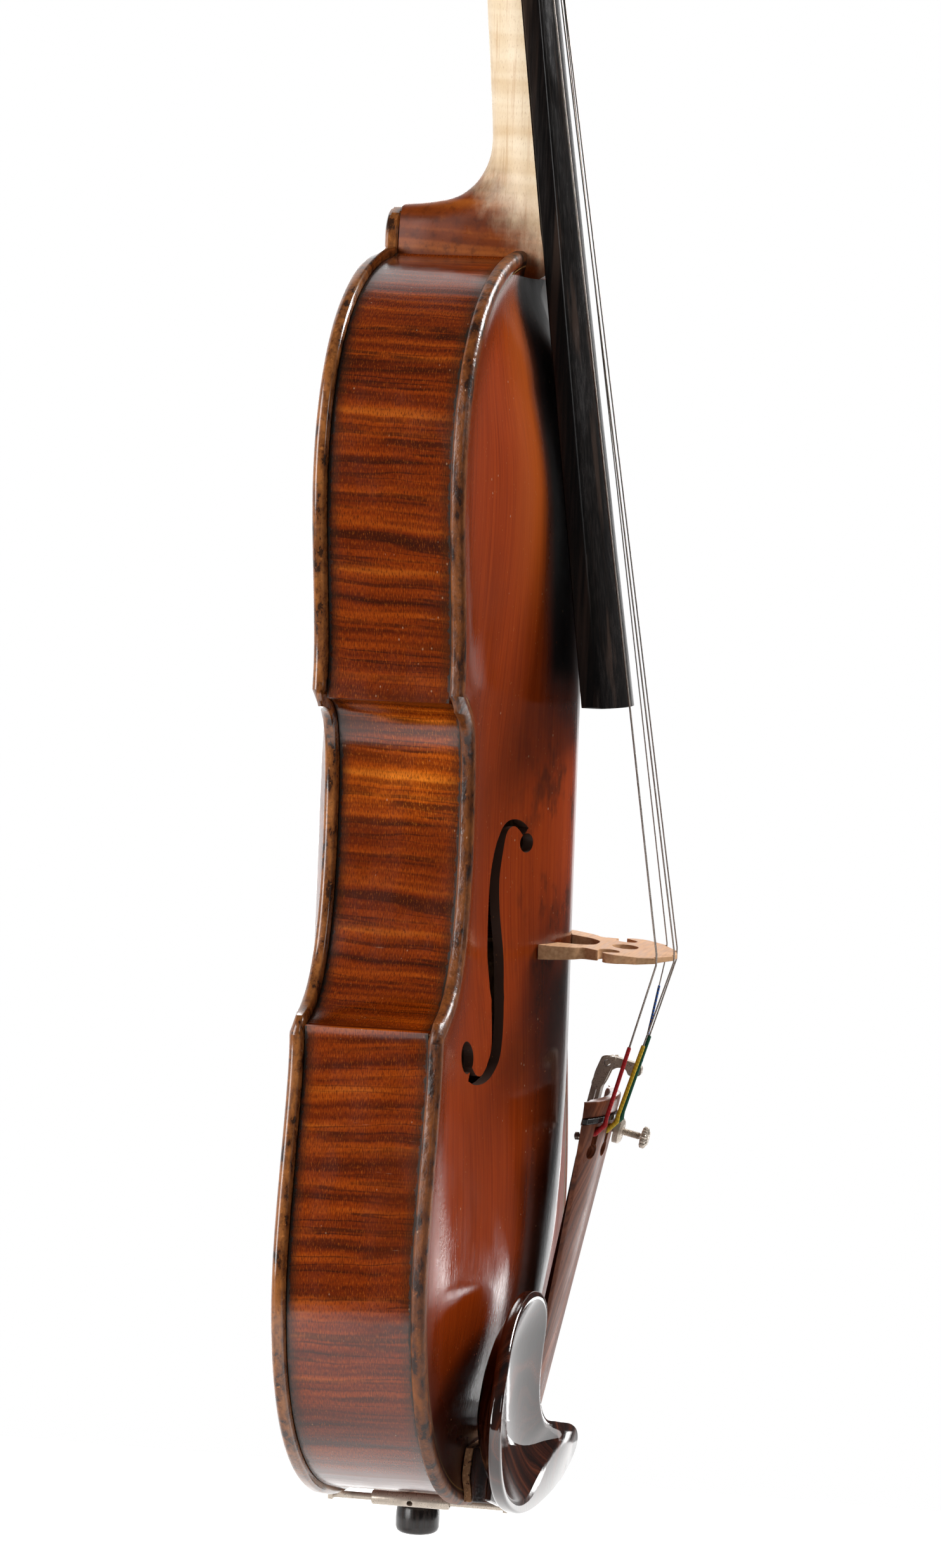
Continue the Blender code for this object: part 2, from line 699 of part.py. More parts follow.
def make_blocks(mat):
    """Four corner blocks, the end block with the button's hole, and the top block."""
    lower, centre, upper = rib_runs()
    low_in, mid_in, up_in = inside(lower), inside(centre), inside(upper)
    low_in[0] = (0.0, OVERHANG + RIB_WALL + SEAT)
    corners = {
        "lower": corner_outline(low_in[::-1], mid_in),
        "upper": corner_outline(up_in, mid_in[::-1]),
    }
    for label, outline in corners.items():
        block(f"corner_block_{label}_treble", outline, mat)
        block(f"corner_block_{label}_bass", mirrored(outline)[::-1], mat)
    half = [p for p in low_in if p[0] < END_BLOCK_WIDTH / 2]
    half.append((half[-1][0], OVERHANG + END_BLOCK_DEPTH))
    end = block("end_block", half + mirrored(half)[::-1][:-1], mat)
    hole = turned("end_block_hole", [(-0.002, 0.0046), (0.060, 0.0040)], (0, 0, 0), (0, 0, 1), mat)
    cut(end, hole)
    top = [p for p in up_in if p[0] < TOP_BLOCK_WIDTH / 2 + 0.006]
    top = [(top[0][0], BODY_LENGTH - OVERHANG - TOP_BLOCK_DEPTH)] + top
    top.append((0.0, BODY_LENGTH - OVERHANG - RIB_WALL - SEAT))
    piece = block("top_block", top + mirrored(top[:-1])[::-1], mat)
    cut(piece, heel_socket("top_block_mortise"))


def heel_socket(name):
    """Space of the neck root, which the top block and the belly leave open."""
    half = BUTTON_WIDTH / 2 + HEEL_FLARE + SEAT
    low = BODY_LENGTH - MORTISE - SEAT
    outline = [(-half, low), (half, low), (half, BODY_LENGTH + 0.02), (-half, BODY_LENGTH + 0.02)]
    return prism(name, outline, -0.06, back_plane(BODY_LENGTH) + 0.0001,
                 MATERIALS["bare_spruce"], across)


def make_linings(mat):
    """Strips between the blocks, glued to the ribs along both plates."""
    lower, centre, upper = rib_runs()
    low_in, mid_in, up_in = inside(lower), inside(centre), inside(upper)
    gap = CORNER_BLOCK_REACH + 0.002
    low_tip, up_tip = Vector(low_in[-1]), Vector(up_in[0])
    spans = {
        "lower": [p for p in low_in if p[0] > END_BLOCK_WIDTH / 2 - 0.002
                  and (Vector(p) - low_tip).length > gap],
        "centre": [p for p in mid_in if (Vector(p) - Vector(mid_in[0])).length > gap
                   and (Vector(p) - Vector(mid_in[-1])).length > gap * 0.8],
        "upper": [p for p in up_in if p[0] > TOP_BLOCK_WIDTH / 2 + 0.008
                  and (Vector(p) - up_tip).length > gap],
    }
    for plate_name, side in (("belly", -1), ("back", 1)):
        for label, span in spans.items():
            for hand, sign in (("treble", 1), ("bass", -1)):
                lining(f"lining_{plate_name}_{label}_{hand}", span, sign, side, mat)


def lining(name, span, sign, side, mat):
    rings = []
    for (ax, az), (bx, bz) in zip(span, offset(span, -LINING_WALL)):
        ring = []
        for x, z, deep in ((ax, az, 0), (ax, az, 1), (bx, bz, 1), (bx, bz, 0)):
            plane = BELLY_PLANE + SEAT if side < 0 else back_plane(z) - SEAT
            ring.append((sign * x, plane - side * LINING_HEIGHT * deep, z))
        rings.append(ring)
    loft(name, rings, mat)


def f_hole_outline(sign):
    """Outline of the S-shaped stem of an f-hole."""
    path = smooth_path([(sign * x, z, width / 2) for x, z, width in F_STEM], 2)
    left, right = [], []
    for k, (x, z, half) in enumerate(path):
        ahead, behind = path[min(k + 1, len(path) - 1)], path[max(k - 1, 0)]
        dx, dz = ahead[0] - behind[0], ahead[1] - behind[1]
        size = math.hypot(dx, dz)
        nx, nz = dz / size, -dx / size
        left.append((x + nx * half, z + nz * half))
        right.append((x - nx * half, z - nz * half))
    return left + right[::-1]


def cut_f_holes(belly, mat):
    for side, sign in (("bass", -1), ("treble", 1)):
        stem = prism(f"f_stem_{side}", f_hole_outline(sign), -0.055, -0.012, mat, across)
        cut(belly, stem)
        for label, (x, z), radius in (("upper", F_UPPER_EYE, F_UPPER_EYE_RADIUS),
                                      ("lower", F_LOWER_EYE, F_LOWER_EYE_RADIUS)):
            eye = turned(f"f_{label}_eye_{side}", [(0, radius), (0.045, radius)],
                         (sign * x, -0.055, z), (0, 1, 0), mat)
            cut(belly, eye)


def make_plates():
    maple, spruce = MATERIALS["maple_varnish"], MATERIALS["spruce_varnish"]
    belly_form, back_form = Arching(BELLY_ARCH), Arching(BACK_ARCH)
    belly = plate("belly", belly_form, lambda z: BELLY_PLANE, -1, spruce)
    belly_form.measure(belly, -1)
    cut_f_holes(belly, spruce)
    cut(belly, heel_socket("belly_neck_notch"))
    half = SADDLE_WIDTH / 2 + SEAT
    deep = SADDLE_DEPTH + SEAT
    notch = [(-half, -deep), (half, -deep), (half, deep), (-half, deep)]
    cut(belly, prism("belly_saddle_notch", notch, -0.05, 0.0, spruce, across))
    back = plate("back", back_form, back_plane, 1, maple)
    back_form.measure(back, 1)
    top = BODY_LENGTH + BUTTON_RISE
    half = BUTTON_WIDTH / 2
    outline = [(-half, BODY_LENGTH - 0.006), (half, BODY_LENGTH - 0.006)]
    for k in range(9):
        a = math.pi * k / 8
        outline.append((half * math.cos(a), top - half * 0.8 + half * 0.8 * math.sin(a)))
    low = back_plane(BODY_LENGTH)
    fuse(back, prism("button_guide", outline, low + 0.0001, low + PLATE_EDGE, maple, across))
    return belly_form, back_form


def make_inside(belly_form, back_form, mat):
    """Bass bar and sound post, fitted to the inner faces of the plates."""
    half, (low, high) = BAR_WIDTH / 2, BAR_ENDS
    rings, steps = [], 24
    reach = (high - low) / steps / 2
    for k in range(steps + 1):
        z = low + (high - low) * k / steps
        deep = 0.004 + 0.008 * math.sin(math.pi * k / steps)
        sides = [(x, SEAT + max(belly_form.face_y(x, z + dz, False) for dz in (-reach, 0, reach)))
                 for x in (BAR_X - half, BAR_X + half)]
        floor = max(y for _, y in sides) + deep
        rings.append([(sides[0][0], sides[0][1], z), (sides[1][0], sides[1][1], z),
                      (sides[1][0], floor, z), (sides[0][0], floor, z)])
    loft("bass_bar", rings, mat)
    ring_low, ring_high = [], []
    for k in range(16):
        a = 2 * math.pi * k / 16
        x = POST_X + POST_RADIUS * math.cos(a)
        z = BRIDGE_HEIGHT - POST_DROP + POST_RADIUS * math.sin(a)
        ring_low.append((x, belly_form.face_y(x, z, False) + SEAT, z))
        ring_high.append((x, back_form.face_y(x, z, False) - SEAT, z))
    loft("sound_post", [ring_low, ring_high], mat)


def board_width(z):
    share = (NUT_HEIGHT - z) / (NUT_HEIGHT - BOARD_END_HEIGHT)
    return (BOARD_NUT_WIDTH + (BOARD_END_WIDTH - BOARD_NUT_WIDTH) * share) / 2


def board_under(z):
    """Plane of the fingerboard's underside."""
    return -BOARD_UNDER_AT_EDGE + BOARD_SLOPE * (z - BODY_LENGTH)


def sag(x, radius):
    return radius - math.sqrt(radius * radius - x * x)


def board_top(x, z):
    crown = board_under(z) - BOARD_SIDE - sag(board_width(z), BOARD_RADIUS)
    return crown + sag(x, BOARD_RADIUS)


def make_fingerboard(mat):
    """Cambered board, hollowed underneath where it leaves the neck."""
    rings = []
    for z in (BOARD_END_HEIGHT, BOARD_END_HEIGHT + 0.06, BODY_LENGTH - 0.03,
              BODY_LENGTH - MORTISE - 0.001, NUT_HEIGHT - SEAT):
        half = board_width(z)
        hollow = BOARD_HOLLOW if z < BODY_LENGTH - MORTISE - 0.01 else 0.0
        under = board_under(z)
        ring = [(-half, under, z), (-half, under - BOARD_SIDE, z)]
        for k in range(1, 10):
            x = -half + 2 * half * k / 10
            ring.append((x, board_top(x, z), z))
        ring += [(half, under - BOARD_SIDE, z), (half, under, z)]
        for k in range(1, 6):
            share = k / 6
            ring.append((half * (1 - 2 * share), under - hollow * math.sin(math.pi * share), z))
        rings.append(ring)
    loft("fingerboard", rings, mat, 35)


def string_x(index, spread):
    return spread * (index - 1.5) / 3


def nut_string_y(x):
    return board_top(0, NUT_HEIGHT) - STRING_OVER_BOARD + sag(x, NUT_RADIUS)


def make_nut(mat):
    """Nut with a groove under each string."""
    low, high = NUT_HEIGHT, NUT_HEIGHT + NUT_THICK
    half = BOARD_NUT_WIDTH / 2
    profile = [(half, board_under(low)), (-half, board_under(low)), (-half, nut_string_y(half) + 0.001)]
    for k in range(4):
        x, deep = string_x(k, STRING_SPREAD_NUT), STRING_DIAMETER[k] / 2 + SEAT
        y = nut_string_y(x)
        profile += [(x - deep - STRING_GROOVE, y - 0.0002), (x - deep, y + deep),
                    (x + deep, y + deep), (x + deep + STRING_GROOVE, y - 0.0002)]
    profile.append((half, nut_string_y(half) + 0.001))
    prism("nut", profile, low, high, mat, upright, 30)


def at_rise(table, z):
    """Value of a line of the head at a height above the bottom edge."""
    return float(np.interp(z - NUT_HEIGHT, [p[0] for p in table], [p[1] for p in table]))


def head_front(z):
    return board_under(NUT_HEIGHT) + at_rise(HEAD_FRONT, z)


def head_back(z):
    return board_under(NUT_HEIGHT) + at_rise(HEAD_BACK, z)


def head_half(z):
    return at_rise(HEAD_HALF_WIDTH, z)


def eye():
    """Centre of the scroll as (y, z)."""
    return board_under(NUT_HEIGHT) + EYE_SETBACK, NUT_HEIGHT + EYE_RISE


def neck_back(z):
    return -NECK_BACK_AT_HEEL + NECK_BACK_SLOPE * (z - BODY_LENGTH - 0.034)


def section_ring(front, back, half, square, flute=0.0, steps=14):
    """U-shaped section between a front and a back point; square 1 is an ellipse."""
    ring = []
    for k in range(steps + 1):
        a = math.pi * k / steps
        x = -half * math.copysign(abs(math.cos(a)) ** square, math.cos(a))
        deep = math.sin(a) ** square
        if flute and abs(x) < 0.86 * half:
            wave = abs(x) / (0.86 * half)
            deep -= flute * math.sin(math.pi * wave) ** 2
        y = front[0] + (back[0] - front[0]) * deep
        z = front[1] + (back[1] - front[1]) * deep
        ring.append((x, y, z))
    return ring


def neck_sections():
    """Front, back, half width and squareness of the neck from the button to the nut."""
    root, top = BODY_LENGTH - MORTISE, BODY_LENGTH + HEEL_RISE
    half = BUTTON_WIDTH / 2 + HEEL_FLARE
    face = back_plane(BODY_LENGTH) - SEAT
    deep = face - board_under(root)
    sections = [((face, root), (face, top), BUTTON_WIDTH / 2, 0.45)]
    for k, (share, back, rise, square) in enumerate(HEEL_CURVE):
        wide = half - (0.002, 0.001, 0.0, 0.0)[k]
        sections.append(((face - share * deep, root), (back, top + rise), wide, square))
    sections.append(((board_under(root) + SEAT, root),
                     (neck_back(BODY_LENGTH + 0.031), BODY_LENGTH + 0.031), half, 0.85))
    for front, back, square in ((BODY_LENGTH + 0.006, BODY_LENGTH + 0.040, 0.92),
                                (BODY_LENGTH + 0.034, BODY_LENGTH + 0.060, 0.96),
                                (BODY_LENGTH + 0.084, BODY_LENGTH + 0.094, 1.0),
                                (NUT_HEIGHT - 0.016, NUT_HEIGHT - 0.014, 0.96)):
        wide = min(half, board_width(front)) - 0.0002
        sections.append(((board_under(front) + SEAT, front), (neck_back(back), back), wide, square))
    return sections


def make_neck(mat):
    """Neck and head in one: heel, neck, pegbox and scroll."""
    rings = [section_ring(*item) for item in neck_sections()]
    z, nut_front = NUT_HEIGHT, board_under(NUT_HEIGHT) + SEAT
    rings.append(section_ring((nut_front, z - 0.001), (neck_back(z) + 0.0010, z - 0.002),
                              BOARD_NUT_WIDTH / 2, 0.72))
    z = NUT_HEIGHT + NUT_THICK + SEAT
    rings.append(section_ring((nut_front, z), (nut_front + 0.0166, z - 0.0015), head_half(z), 0.45))
    for rise, flute in ((0.0110, 0.04), (0.0200, 0.06), (0.0340, 0.07), (0.0480, 0.07),
                        (0.0620, 0.07), (0.0740, 0.07), (0.0830, 0.07)):
        z = NUT_HEIGHT + rise
        rings.append(section_ring((head_front(z), z), (head_back(z), z), head_half(z), 0.28, flute))
    y, z = eye()
    rings.append(section_ring((y + 0.006, z), (y + SCROLL_RADIUS - 0.0004, z), head_half(z) - 0.0002,
                              0.28, 0.07))
    neck = loft("neck_and_scroll", rings, mat, 45)
    fuse(neck, scroll_solid(mat))
    cut(neck, pegbox_cutter(mat))
    return neck


def scroll_radius(turn):
    return SCROLL_RADIUS * SCROLL_SHRINK ** turn


def scroll_half_width(turn):
    """Half width of the scroll's side faces: narrow over the top, wide at the eye."""
    turns, widths = zip(*SCROLL_HALF_WIDTH)
    return float(np.interp(turn, turns, widths))


def scroll_solid(mat, steps=24):
    """Volute with a step between its turns on both sides and a fluted outer face."""
    verts, faces = [], []
    total = int(SCROLL_TURNS * steps)
    eye_y, eye_z = eye()

    def point(turn, radius, x):
        a = 2 * math.pi * turn
        verts.append((x, eye_y + radius * math.cos(a), eye_z + radius * math.sin(a)))
        return len(verts) - 1

    rims, feet = {}, {}
    for sign in (1, -1):
        rims[sign], feet[sign] = [], []
        for k in range(total + 1):
            turn = k / steps
            half = scroll_half_width(turn)
            rims[sign].append(point(turn, scroll_radius(turn), sign * half))
            if k + steps <= total:
                feet[sign].append(point(turn, scroll_radius(turn + 1) + 0.0002, sign * (half - SCROLL_STEP)))
        rim, foot = rims[sign], feet[sign]
        for k in range(total - steps):
            faces.append((rim[k], rim[k + 1], foot[k + 1], foot[k]))
            faces.append((foot[k], foot[k + 1], rim[k + 1 + steps], rim[k + steps]))
        last = total - steps
        centre = point(0.0, 0.0, sign * (scroll_half_width(SCROLL_TURNS) + 0.0006))
        for k in range(last, total):
            faces.append((rim[k], rim[k + 1], centre))
        faces.append((rim[total], foot[last], centre))
        faces.append((foot[last], rim[last], centre))
    flutes = ((-0.62, -0.0009), (-0.34, -0.0011), (0.0, -0.0001), (0.34, -0.0011), (0.62, -0.0009))
    rows = []
    for k in range(steps + 1):
        turn = k / steps
        half = scroll_half_width(turn)
        row = [rims[-1][k]]
        row += [point(turn, scroll_radius(turn) + deep, share * half) for share, deep in flutes]
        rows.append(row + [rims[1][k]])
    for a, b in zip(rows[:-1], rows[1:]):
        for i in range(len(a) - 1):
            faces.append((a[i], a[i + 1], b[i + 1], b[i]))
    faces.append(tuple(rows[0] + [feet[1][0]] + rows[-1][::-1] + [feet[-1][0]]))
    return solid("scroll_guide", verts, faces, mat, 45)


def pegbox_cutter(mat):
    rings = []
    for along in (0.0130, 0.0240, 0.0440, 0.0620, 0.0740):
        z = NUT_HEIGHT + along
        half = head_half(z) - HEAD_WALL
        floor = head_back(z) - HEAD_FLOOR
        front = head_front(z) - 0.012
        rings.append([(-half, front, z), (half, front, z), (half * 0.88, floor, z), (-half * 0.88, floor, z)])
    return loft("pegbox_guide", rings, mat)


def peg_centre(along):
    z = NUT_HEIGHT + along
    return 0.56 * head_front(z) + 0.44 * head_back(z), z


def peg_profile(half, clearance=0.0):
    """Shaft of a peg: (distance from the middle towards its head, radius)."""
    return [(-half - PEG_TAIL, PEG_RADIUS - PEG_TAPER / 2 + clearance),
            (half + PEG_NECK, PEG_RADIUS + PEG_TAPER / 2 + clearance)]


def make_pegs(neck, mat):
    """Four tapered pegs with a collar and a thumb piece, in holes through the pegbox."""
    for name, sign, along, tilt in PEGS:
        y, z = peg_centre(along)
        half = head_half(z)
        hole = turned(f"{name}_hole", peg_profile(half, PEG_CLEARANCE), (0, y, z), (sign, 0, 0), mat, 12)
        cut(neck, hole)
        (low, thin), (high, thick) = peg_profile(half)
        shape = [(low, thin, thin), (high, thick, thick), (high + 0.0002, 0.0056, 0.0056),
                 (high + 0.0018, 0.0056, 0.0056), (high + 0.0022, 0.0036, 0.0036),
                 (high + 0.0060, 0.0040, 0.0036), (high + 0.0090, 0.0082, 0.0040),
                 (high + 0.0140, 0.0112, 0.0038), (high + 0.0190, 0.0108, 0.0034),
                 (high + 0.0235, 0.0072, 0.0028), (high + 0.0250, 0.0026, 0.0022),
                 (high + 0.0265, 0.0022, 0.0020)]
        rings = []
        for along_axis, wide, flat in shape:
            ring = []
            for k in range(12):
                a = 2 * math.pi * k / 12
                u, v = wide * math.cos(a), flat * math.sin(a)
                ring.append((sign * along_axis, y + u * math.sin(tilt) + v * math.cos(tilt),
                             z + u * math.cos(tilt) - v * math.sin(tilt)))
            rings.append(ring)
        loft(name, rings, mat, 50)


def bridge_top_y(x):
    """Crown line of the bridge."""
    return board_top(0, BRIDGE_HEIGHT) - BRIDGE_LIFT + sag(x, BRIDGE_RADIUS)


def bridge_outline(belly_form):
    """Bridge seen from the tailpiece: (x, y) with feet that follow the belly."""
    def belly_y(x):
        reach = BRIDGE_FOOT_THICK / 2
        return min(belly_form.face_y(x, BRIDGE_HEIGHT + dz, True) for dz in (-reach, reach)) - SEAT

    base = belly_y(0)
    foot, half = BRIDGE_FEET / 2, BRIDGE_TOP_WIDTH / 2
    right = [(0.0, base - 0.0095), (0.0050, base - 0.0090), (0.0095, base - 0.0058),
             (0.0118, belly_y(0.0118) - 0.0022), (0.0128, belly_y(0.0128))]
    right += [(foot * s, belly_y(foot * s)) for s in (0.68, 0.84, 1.0)]
    right += [(foot - 0.0002, belly_y(foot) - 0.0032), (foot - 0.0045, base - 0.0048),
              (foot - 0.0078, base - 0.0075), (foot - 0.0068, base - 0.0105),
              (foot - 0.0060, base - 0.0128), (foot - 0.0096, base - 0.0126),
              (foot - 0.0122, base - 0.0140), (foot - 0.0128, base - 0.0168),
              (foot - 0.0108, base - 0.0190), (foot - 0.0075, base - 0.0192),
              (foot - 0.0052, base - 0.0172), (foot - 0.0030, base - 0.0150),
              (foot - 0.0008, base - 0.0165), (foot + 0.0002, base - 0.0200),
              (half, bridge_top_y(half) + 0.0015)]
    top = []
    for k in range(4):
        x, deep = string_x(3 - k, STRING_SPREAD_BRIDGE), STRING_DIAMETER[3 - k] / 2 + SEAT
        y = bridge_top_y(x)
        if k == 2:
            top.append((0.0, bridge_top_y(0)))
        top += [(x + deep + STRING_GROOVE, y), (x + deep, y + deep), (x - deep, y + deep),
                (x - deep - STRING_GROOVE, y)]
    left = [(-x, y) for x, y in right[1:]][::-1]
    return right + top + left


def make_bridge(belly_form, mat):
    """Bridge that thins towards its crown, with kidneys and a heart cut through."""
    outline = bridge_outline(belly_form)
    base = max(y for _, y in outline)
    rings = []
    for side in (-1, 1):
        ring = []
        for x, y in outline:
            share = (base - y) / (base - bridge_top_y(0))
            thick = BRIDGE_FOOT_THICK + (BRIDGE_TOP_THICK - BRIDGE_FOOT_THICK) * share
            z = BRIDGE_HEIGHT - BRIDGE_FOOT_THICK / 2
            ring.append((x, y, z if side < 0 else z + thick))
        rings.append(ring)
    bridge = loft("bridge", rings, mat, 40)
    crown = bridge_top_y(0)
    down, wide, high, dip = (share * (base - crown) for share in BRIDGE_HEART)
    heart = []
    for k in range(16):
        a = 2 * math.pi * k / 16
        x = wide * math.sin(a) * (1.0 - 0.25 * math.cos(a))
        heart.append((x, crown + down - high * math.cos(a) - dip * abs(math.sin(a))))
    cut(bridge, prism("bridge_heart", heart, BRIDGE_HEIGHT - 0.01, BRIDGE_HEIGHT + 0.01, mat, upright))


def tail_half(z):
    share = (TAIL_TOP_HEIGHT - z) / TAIL_LENGTH
    return (TAIL_TOP_WIDTH + (TAIL_END_WIDTH - TAIL_TOP_WIDTH) * share ** 0.85) / 2


def tail_radius():
    half = TAIL_TOP_WIDTH / 2
    return (half * half + TAIL_SAG * TAIL_SAG) / (2 * TAIL_SAG)


def tail_top(x, z):
    """Outer face of the tailpiece."""
    return -TAIL_CROWN_Y - TAIL_SLOPE * (z - TAIL_TOP_HEIGHT) + sag(x, tail_radius())




def key_hole(x):
    """Round hole for a ball end with the slit that then holds its string."""
    low, half = TAIL_TOP_HEIGHT - TAIL_HOLE_DROP, SILK_DIAMETER / 2 + 2 * SEAT
    top = TAIL_TOP_HEIGHT - TAIL_SLIT_DROP + 0.0012
    first = math.asin(half / TAIL_HOLE_RADIUS)
    outline = [(x + half, top), (x - half, top)]
    for k in range(13):
        a = first + (2 * math.pi - 2 * first) * k / 12
        outline.append((x - TAIL_HOLE_RADIUS * math.sin(a), low + TAIL_HOLE_RADIUS * math.cos(a)))
    return outline


def make_tailpiece(mat):
    """Arched shell with a key hole for each string, solid at its lower end."""
    rings = []
    for share in (0.0, 0.04, 0.25, 0.51, 0.72, 0.88, 1.0):
        z = TAIL_TOP_HEIGHT - share * TAIL_LENGTH
        half = tail_half(z) * (0.86 if share == 1.0 else 1.0)
        deep = TAIL_WALL if share < 0.85 else TAIL_END_DEPTH
        ring = []
        for k in range(13):
            x = half * (-1 + 2 * k / 12)
            ring.append((x, tail_top(x, z), z))
        for k in range(1, 10):
            x = (half - 0.0015) * (1 - 2 * k / 10)
            lip = min(1.0, 4 * (1 - abs(x) / half))
            ring.append((x, tail_top(x, z) + max(deep * lip, 0.002), z))
        rings.append(ring)
    tail = loft("tailpiece", rings, mat, 35)
    for k in range(4):
        x = string_x(k, TAIL_STRING_SPREAD)
        centre = tail_top(x, TAIL_TOP_HEIGHT - TAIL_HOLE_DROP)
        cut(tail, prism(f"tail_key_hole_{k}", key_hole(x), centre - 0.010, centre + 0.014, mat, across))
    cut(tail, fret_solid("tail_fret_seat", SEAT, mat))
    gut_z = TAIL_END_HEIGHT + TAIL_GUT_RISE
    bore = TAILGUT_DIAMETER / 2 + SEAT
    for sign in (-1, 1):
        hole = turned(f"tailgut_hole_{sign}", [(-0.02, bore), (0.02, bore)],
                      (sign * TAIL_GUT_SPREAD / 2, tail_top(0, gut_z) + TAIL_GUT_DEPTH, gut_z),
                      (0, 0, 1), mat, 10)
        cut(tail, hole)
    return tail


def fret_section(grow):
    z = TAIL_TOP_HEIGHT - TAIL_FRET_DROP
    return z - TAIL_FRET_HALF - grow, z + TAIL_FRET_HALF + grow


def fret_solid(name, grow, mat):
    """Black string rest that is let into the tailpiece."""
    low, high = fret_section(grow)
    rings = []
    for z in (low, high):
        half = tail_half(z) - 0.0022 + grow
        ring = []
        for k in range(11):
            x = half * (-1 + 2 * k / 10)
            ring.append((x, tail_top(x, z) - 0.0010 - grow, z))
        for k in range(11):
            x = half * (1 - 2 * k / 10)
            ring.append((x, tail_top(x, z) + 0.0010 + grow, z))
        rings.append(ring)
    return loft(name, rings, mat, 35)


def winding_points(name):
    """Turns of a string round its peg, ending where it leaves for the nut."""
    index = {"peg_c": 0, "peg_g": 1, "peg_d": 2, "peg_a": 3}[name]
    sign, along = {peg[0]: peg[1:3] for peg in PEGS}[name]
    y, z = peg_centre(along)
    thick = STRING_DIAMETER[index]
    pitch = thick + 0.00045
    start = {"peg_c": 0.0028, "peg_g": 0.0014, "peg_d": 0.0009, "peg_a": 0.0040}[name]
    half = head_half(z)
    turns, steps = 2.5, 10
    points = []
    for k in range(int(turns * steps) + 1):
        turn = k / steps
        x = start + pitch * turn
        share = (x + half + PEG_TAIL) / (2 * half + PEG_TAIL + PEG_NECK)
        shaft = PEG_RADIUS + PEG_TAPER * (share - 0.5)
        radius = shaft + SEAT + 0.0001 + thick / 2
        a = 2 * math.pi * turn
        points.append((sign * x, y - radius * math.cos(a), z + radius * math.sin(a)))
    gap = min((Vector(points[k]) - Vector(points[k + steps])).length
              for k in range(len(points) - steps)) - thick
    print(f"{name}: least gap between turns {gap * 1000:.2f} mm")
    return points[::-1], index


def make_strings():
    mat = MATERIALS["steel_string"]
    for peg in ("peg_c", "peg_g", "peg_d", "peg_a"):
        winding, index = winding_points(peg)
        thick = STRING_DIAMETER[index]
        nut_x, bridge_x = string_x(index, STRING_SPREAD_NUT), string_x(index, STRING_SPREAD_BRIDGE)
        tail_x = string_x(index, TAIL_STRING_SPREAD)
        points = list(winding)
        points.append((nut_x, nut_string_y(nut_x), NUT_HEIGHT + NUT_THICK + 0.0006))
        points.append((nut_x, nut_string_y(nut_x), NUT_HEIGHT - 0.0006))
        bridge_y = bridge_top_y(bridge_x)
        points.append((bridge_x, bridge_y, BRIDGE_HEIGHT + 0.0006))
        points.append((bridge_x, bridge_y, BRIDGE_HEIGHT - BRIDGE_FOOT_THICK / 2 - 0.0006))
        radii = [1.0] * len(points)
        silk = SILK_DIAMETER / thick
        if index == 3:
            hook = tuner_point(TUNER_ARM, 0.0030)
            ends = [(tail_x, hook[0], hook[1])]
        else:
            z = TAIL_TOP_HEIGHT - TAIL_FRET_DROP
            rest = tail_top(tail_x, z) - 0.0010 - SILK_DIAMETER / 2 - SEAT
            low = TAIL_TOP_HEIGHT - TAIL_SLIT_DROP
            ends = [(tail_x, rest, z + 0.0006), (tail_x, rest + 0.0004, z - 0.0016),
                    (tail_x, tail_top(tail_x, low) + 0.0006, low - 0.0012),
                    (tail_x, tail_top(tail_x, low) + TAIL_WALL + 0.0014, low - 0.0022)]
        start = Vector(points[-1])
        span = Vector(ends[0]) - start
        share = 0.42 if index < 3 else 0.30
        points += [tuple(start + span * share), tuple(start + span * (share + 0.01))]
        radii += [1.0, silk]
        points += ends
        radii += [silk] * len(ends)
        if index < 3:
            x, y, z = points[-1]
            points += [(x, y + 0.0006, z), (x, y + 0.0030, z), (x, y + 0.0034, z)]
            radii += [0.0021 / (thick / 2), 0.0021 / (thick / 2), 0.0010 / (thick / 2)]
        tube(STRING_NAMES[index], points, thick / 2, mat, radii)


def tuner_point(out, up):
    """(y, z) of a point of the fine tuner: out from the pin and up along the tailpiece."""
    slope = math.atan(TAIL_SLOPE)
    c, s = math.cos(slope), math.sin(slope)
    pin_y, pin_z = TUNER_PIN_SINK - TAIL_CROWN_Y, TAIL_TOP_HEIGHT + TUNER_PIN_RISE
    return (pin_y - c * out - s * up, pin_z - s * out + c * up)


def tuner_profile(points):
    return [tuner_point(out, up) for out, up in points]


